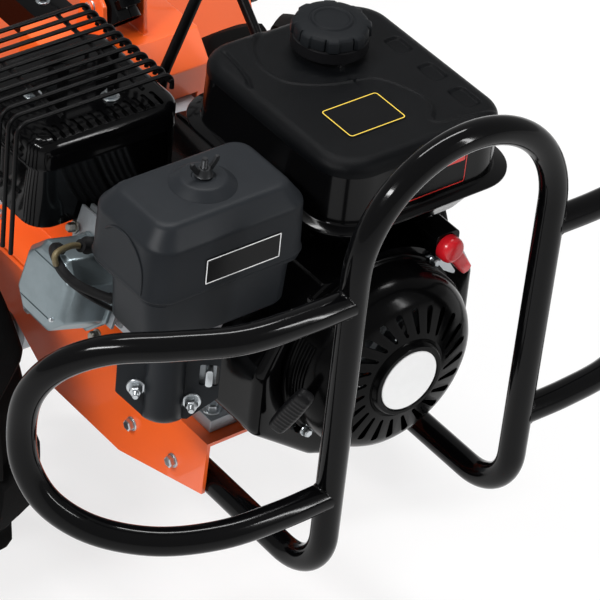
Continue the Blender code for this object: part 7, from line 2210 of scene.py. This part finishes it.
def make_grip(name, side):
    """A ribbed rubber sleeve with a closed end and a collar."""
    rear = bar_corners(side)[0]
    length = GRIP_FRONT - GRIP_REAR
    profile = [
        (0, -0.004), (GRIP_R - 0.0035, -0.004), (GRIP_R - 0.001, -0.003), (GRIP_R, -0.001), (GRIP_R, 0.006)
    ]
    ribs = 16
    pitch = (length - 0.026) / ribs
    for k in range(ribs):
        start = 0.008 + pitch * k
        profile += [(GRIP_R - 0.0016, start), (GRIP_R - 0.0016, start + pitch * 0.28),
                    (GRIP_R - 0.0003, start + pitch * 0.42),
                    (GRIP_R, start + pitch * 0.55), (GRIP_R - 0.0003, start + pitch * 0.85)]
    profile += [(GRIP_R - 0.001, length - 0.014), (GRIP_R + 0.003, length - 0.011),
                (GRIP_R + 0.004, length - 0.0095),
                (GRIP_R + 0.004, length - 0.0065), (GRIP_R + 0.003, length - 0.005),
                (BAR_R + GAP, length - 0.005),
                (BAR_R + GAP, -GAP), (0, -GAP)]
    bm = bmesh.new()
    turned(bm, profile, rear, bar_line(), 72)
    stand_in(name + "_sleeve", bm, "black_rubber", name, crease=35)


def make_hand_lever(name, look, side, reach):
    """A pressed lever with a rolled edge and a rounded tip, thicker round its pin."""
    z = bar_height(LEVER_X) - LEVER_DROP
    base = side * BAR_HALF
    drops = ((0.0, 0.0), (0.25, -0.01), (0.6, -0.006), (1.0, -0.001))
    spine = smooth_curve([(LEVER_X - reach * share, 0, z + drop) for share, drop in drops], 10)
    top = [(p.x, p.z + 0.006) for p in spine]
    bottom = [(p.x, p.z - 0.006) for p in reversed(spine)]
    tip = []
    for k in range(1, 8):
        angle = math.pi / 2 + math.pi * k / 8
        tip.append((LEVER_X - reach + 0.006 * math.cos(angle) * 0.6, z - 0.001 + 0.006 * math.sin(angle)))
    nose = [
        (LEVER_X + 0.0145, z - 0.0035), (LEVER_X + 0.016, z - 0.002), (LEVER_X + 0.016, z + 0.003),
        (LEVER_X + 0.0145, z + 0.0045)
    ]
    bm = bmesh.new()
    low, high = sorted((base - side * (0.003 - GAP), base + side * 0.0035))
    prism(bm, top + tip + bottom + nose, "Y", low, high)
    bore = bmesh.new()
    cylinder_between(bore, 0.0034, (LEVER_X, base - 0.02, z), (LEVER_X, base + 0.02, z), 32)
    bm = carve(bm, bore)
    stand_in(name + "_look", bm, look, name, edge=0.0009)


def ball(bm, centre, radius, rings=14, steps=40):
    profile = []
    for k in range(rings * 2 + 1):
        angle = -math.pi / 2 + math.pi * k / (rings * 2)
        profile.append((max(0.0, radius * math.cos(angle)) if 0 < k < rings * 2 else 0,
                        radius * math.sin(angle)))
    turned(bm, profile, centre, (0, 0, 1), steps)


def rod_knob(name, cad_node, corners, radius, collar):
    """A ball knob on the end of a lever's rod, with its collar's outline along the rod."""
    end = Vector(corners[-1])
    bm = bmesh.new()
    ball(bm, end, radius)
    turned(bm, collar, end, Vector(corners[-2]) - end, 40)
    beside(name, bm, "black_plastic", cad_node)


def make_shift_lever():
    start = Vector((SHIFT_X, 0, 0.044))
    corners = (start, (SHIFT_X + 0.006, 0.004, 0.1), (SHIFT_X + 0.008, 0.056, 0.225), (-0.5, 0.085, 0.4))
    bm = bmesh.new()
    tube(bm, bent_path(corners, 0.03, 12), ROD_R, 0.0, 28)
    ball(bm, start, 0.008)
    stand_in("shift_rod", bm, "satin_black", "shift_lever")
    collar = ((0, 0.012), (0.0105, 0.012), (0.01, 0.0165), (0.0082, 0.022), (0, 0.022))
    rod_knob("shift_knob", "shift_lever", corners, 0.017, collar)


def make_drive_lever():
    x, z = DRIVE_PIVOT
    bend = (x, DRIVE_ROD_Y, z)
    corners = ((x, BED_HALF - 0.008, z), bend, (-0.3, DRIVE_ROD_Y, 0.032), (-0.6, DRIVE_ROD_Y, 0.31))
    bm = bmesh.new()
    tube(bm, bent_path(corners, 0.012, 10), ROD_R, 0.0, 28)
    for low, high in ((BED_HALF - 0.011, BED_HALF - 0.004 - GAP), (BED_HALF + GAP, BED_HALF + 0.006)):
        washer = (
            (0, low), (0.0085, low), (0.0095, low + 0.001), (0.0095, high - 0.001), (0.0085, high), (0, high),
        )
        turned(bm, washer, (x, 0, z), (0, 1, 0), 32)
    stand_in("drive_rod", bm, "satin_black", "drive_lever", crease=40)
    collar = ((0, 0.011), (0.01, 0.011), (0.0095, 0.0155), (0.008, 0.021), (0, 0.021))
    rod_knob("drive_knob", "drive_lever", corners, 0.016, collar)


def make_cable(name, route):
    """A sheathed cable with crimped ferrules at both ends."""
    path = smooth_curve(route, 12)
    bm = bmesh.new()
    tube(bm, path, 0.0025, 0.0, 20)
    stand_in(name + "_sheath", bm, "cable_sheath", name)
    bm = bmesh.new()
    for at, ahead in ((path[0], path[1]), (path[-1], path[-2])):
        line = (ahead - at).normalized()
        turned(bm, ((0, 0.0004), (0.0028, 0.0004), (0.0033, 0.001), (0.0033, 0.005), (0.0029, 0.0056),
                    (0.0032, 0.0062),
                    (0.0032, 0.012), (0.0027, 0.013), (0, 0.013)), at, line, 28)
    beside(name + "_ferrules", bm, "zinc", name)


CLUTCH_ROUTE = (
    (-0.2667, 0.006, 0.146), (-0.276, 0.0062, 0.1551), (-0.296, 0.022, 0.177), (-0.34, 0.085, 0.215),
    (-0.4, 0.15, 0.262), (-0.5, 0.208, 0.325), (-0.66, 0.25, 0.4), (-0.84, 0.272, 0.465),
    (-1.01, 0.2895, 0.499),
)
THROTTLE_ROUTE = (
    (-0.2667, -0.006, 0.146), (-0.35, -0.006, 0.2271), (-0.45, -0.006, 0.3247), (-0.55, -0.012, 0.42),
    (-0.615, -0.05, 0.472), (-0.72, -0.13, 0.496), (-0.86, -0.222, 0.502), (-1.01, -0.2895, 0.499),
)
make_handlebar()
make_grip("grip_right", -1)
make_grip("grip_left", 1)
make_hand_lever("clutch_lever", "satin_black", 1, 0.12)
make_hand_lever("throttle_lever", "black_plastic", -1, 0.05)
make_shift_lever()
make_drive_lever()
make_cable("clutch_cable", CLUTCH_ROUTE)
make_cable("throttle_cable", THROTTLE_ROUTE)


# Pieces whose CAD form is already right


def make_the_rest():
    """Every CAD node that nothing stands for yet keeps its own form, with joined faces and softened edges."""
    stood_for = set()
    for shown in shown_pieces():
        stood_for.update(shown.get("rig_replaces", []))
    for cad_node in frame["nodes"]:
        if cad_node in stood_for:
            continue
        slot = SLOT_OF[cad_node]
        from_cad(cad_node, slot, BODY_OF[cad_node], slot)


make_the_rest()


# Stage


def lit_backdrop(name, brightness):
    """A pale matt surface that the camera and reflections see nearly white, with the object's shadow kept."""
    made, tree, shader = blank_material(name)
    shader.inputs["Base Color"].default_value = (0.86, 0.86, 0.86, 1.0)
    shader.inputs["Roughness"].default_value = 0.7
    rays = node(tree, "ShaderNodeLightPath").outputs
    seen = maths(tree, "MAXIMUM", rays["Is Camera Ray"], rays["Is Glossy Ray"])
    seen = maths(tree, "MAXIMUM", seen, rays["Is Transmission Ray"])
    share = maths(tree, "MULTIPLY", seen, brightness)
    glow = node(tree, "ShaderNodeEmission", {"Color": (1.0, 1.0, 1.0, 1.0), "Strength": 1.0})
    shares = {0: share, 1: shader.outputs["BSDF"], 2: glow.outputs["Emission"]}
    both = node(tree, "ShaderNodeMixShader", shares)
    feed(tree, both.outputs["Shader"], tree.nodes["Material Output"].inputs["Surface"])
    return made


def make_floor():
    mesh = bpy.data.meshes.new("floor")
    half = 150.0
    mesh.from_pydata(
        [(-half, -half, 0), (half, -half, 0), (half, half, 0), (-half, half, 0)], [], [(0, 1, 2, 3)]
    )
    mesh.materials.append(lit_backdrop("pale_floor", 0.72))
    floor = bpy.data.objects.new("floor", mesh)
    bpy.context.collection.objects.link(floor)
    floor.location.z = -0.0015


def make_world():
    world = bpy.data.worlds.new("studio")
    bpy.context.scene.world = world
    world.use_nodes = True
    tree = world.node_tree
    sky = tree.nodes["Background"]
    sky.inputs["Color"].default_value = (1.0, 1.0, 1.0, 1.0)
    seen = node(tree, "ShaderNodeLightPath").outputs["Is Camera Ray"]
    level = node(tree, "ShaderNodeMapRange", {"Value": seen, "To Min": 0.42, "To Max": 1.0})
    feed(tree, level.outputs["Result"], sky.inputs["Strength"])


def softbox(name, at, target, width, height, power):
    lamp = bpy.data.lights.new(name, "AREA")
    lamp.shape = "RECTANGLE"
    lamp.size = width
    lamp.size_y = height
    lamp.energy = power
    made = bpy.data.objects.new(name, lamp)
    bpy.context.collection.objects.link(made)
    made.location = Vector(at)
    made.rotation_euler = (Vector(target) - Vector(at)).to_track_quat("-Z", "Y").to_euler()


def make_lights():
    middle = MACHINE + Vector((0.02, -0.02, 0.05))
    softbox("key_strip", MACHINE + Vector((0.2, -2.6, 2.6)), middle, 1.8, 0.28, 118.0)
    softbox("top_strip", MACHINE + Vector((-0.9, 0.4, 3.0)), middle, 2.2, 0.3, 84.0)
    softbox("side_strip", MACHINE + Vector((2.6, 1.4, 1.6)), middle, 0.17, 1.9, 45.0)


def make_camera():
    lens = bpy.data.cameras.new("camera")
    lens.lens = LENS
    lens.sensor_width = 36.0
    lens.clip_end = 400.0
    camera = bpy.data.objects.new("camera", lens)
    bpy.context.collection.objects.link(camera)
    right = CAMERA_RIGHT.normalized()
    back = right.cross(CAMERA_UP).normalized()
    up = back.cross(right)
    turn = Matrix((right, up, back)).transposed().to_4x4()
    camera.matrix_world = Matrix.Translation(CAMERA_AT + MACHINE) @ turn
    bpy.context.scene.camera = camera


make_floor()
make_world()
make_lights()
make_camera()
bpy.context.scene.view_settings.view_transform = "Standard"
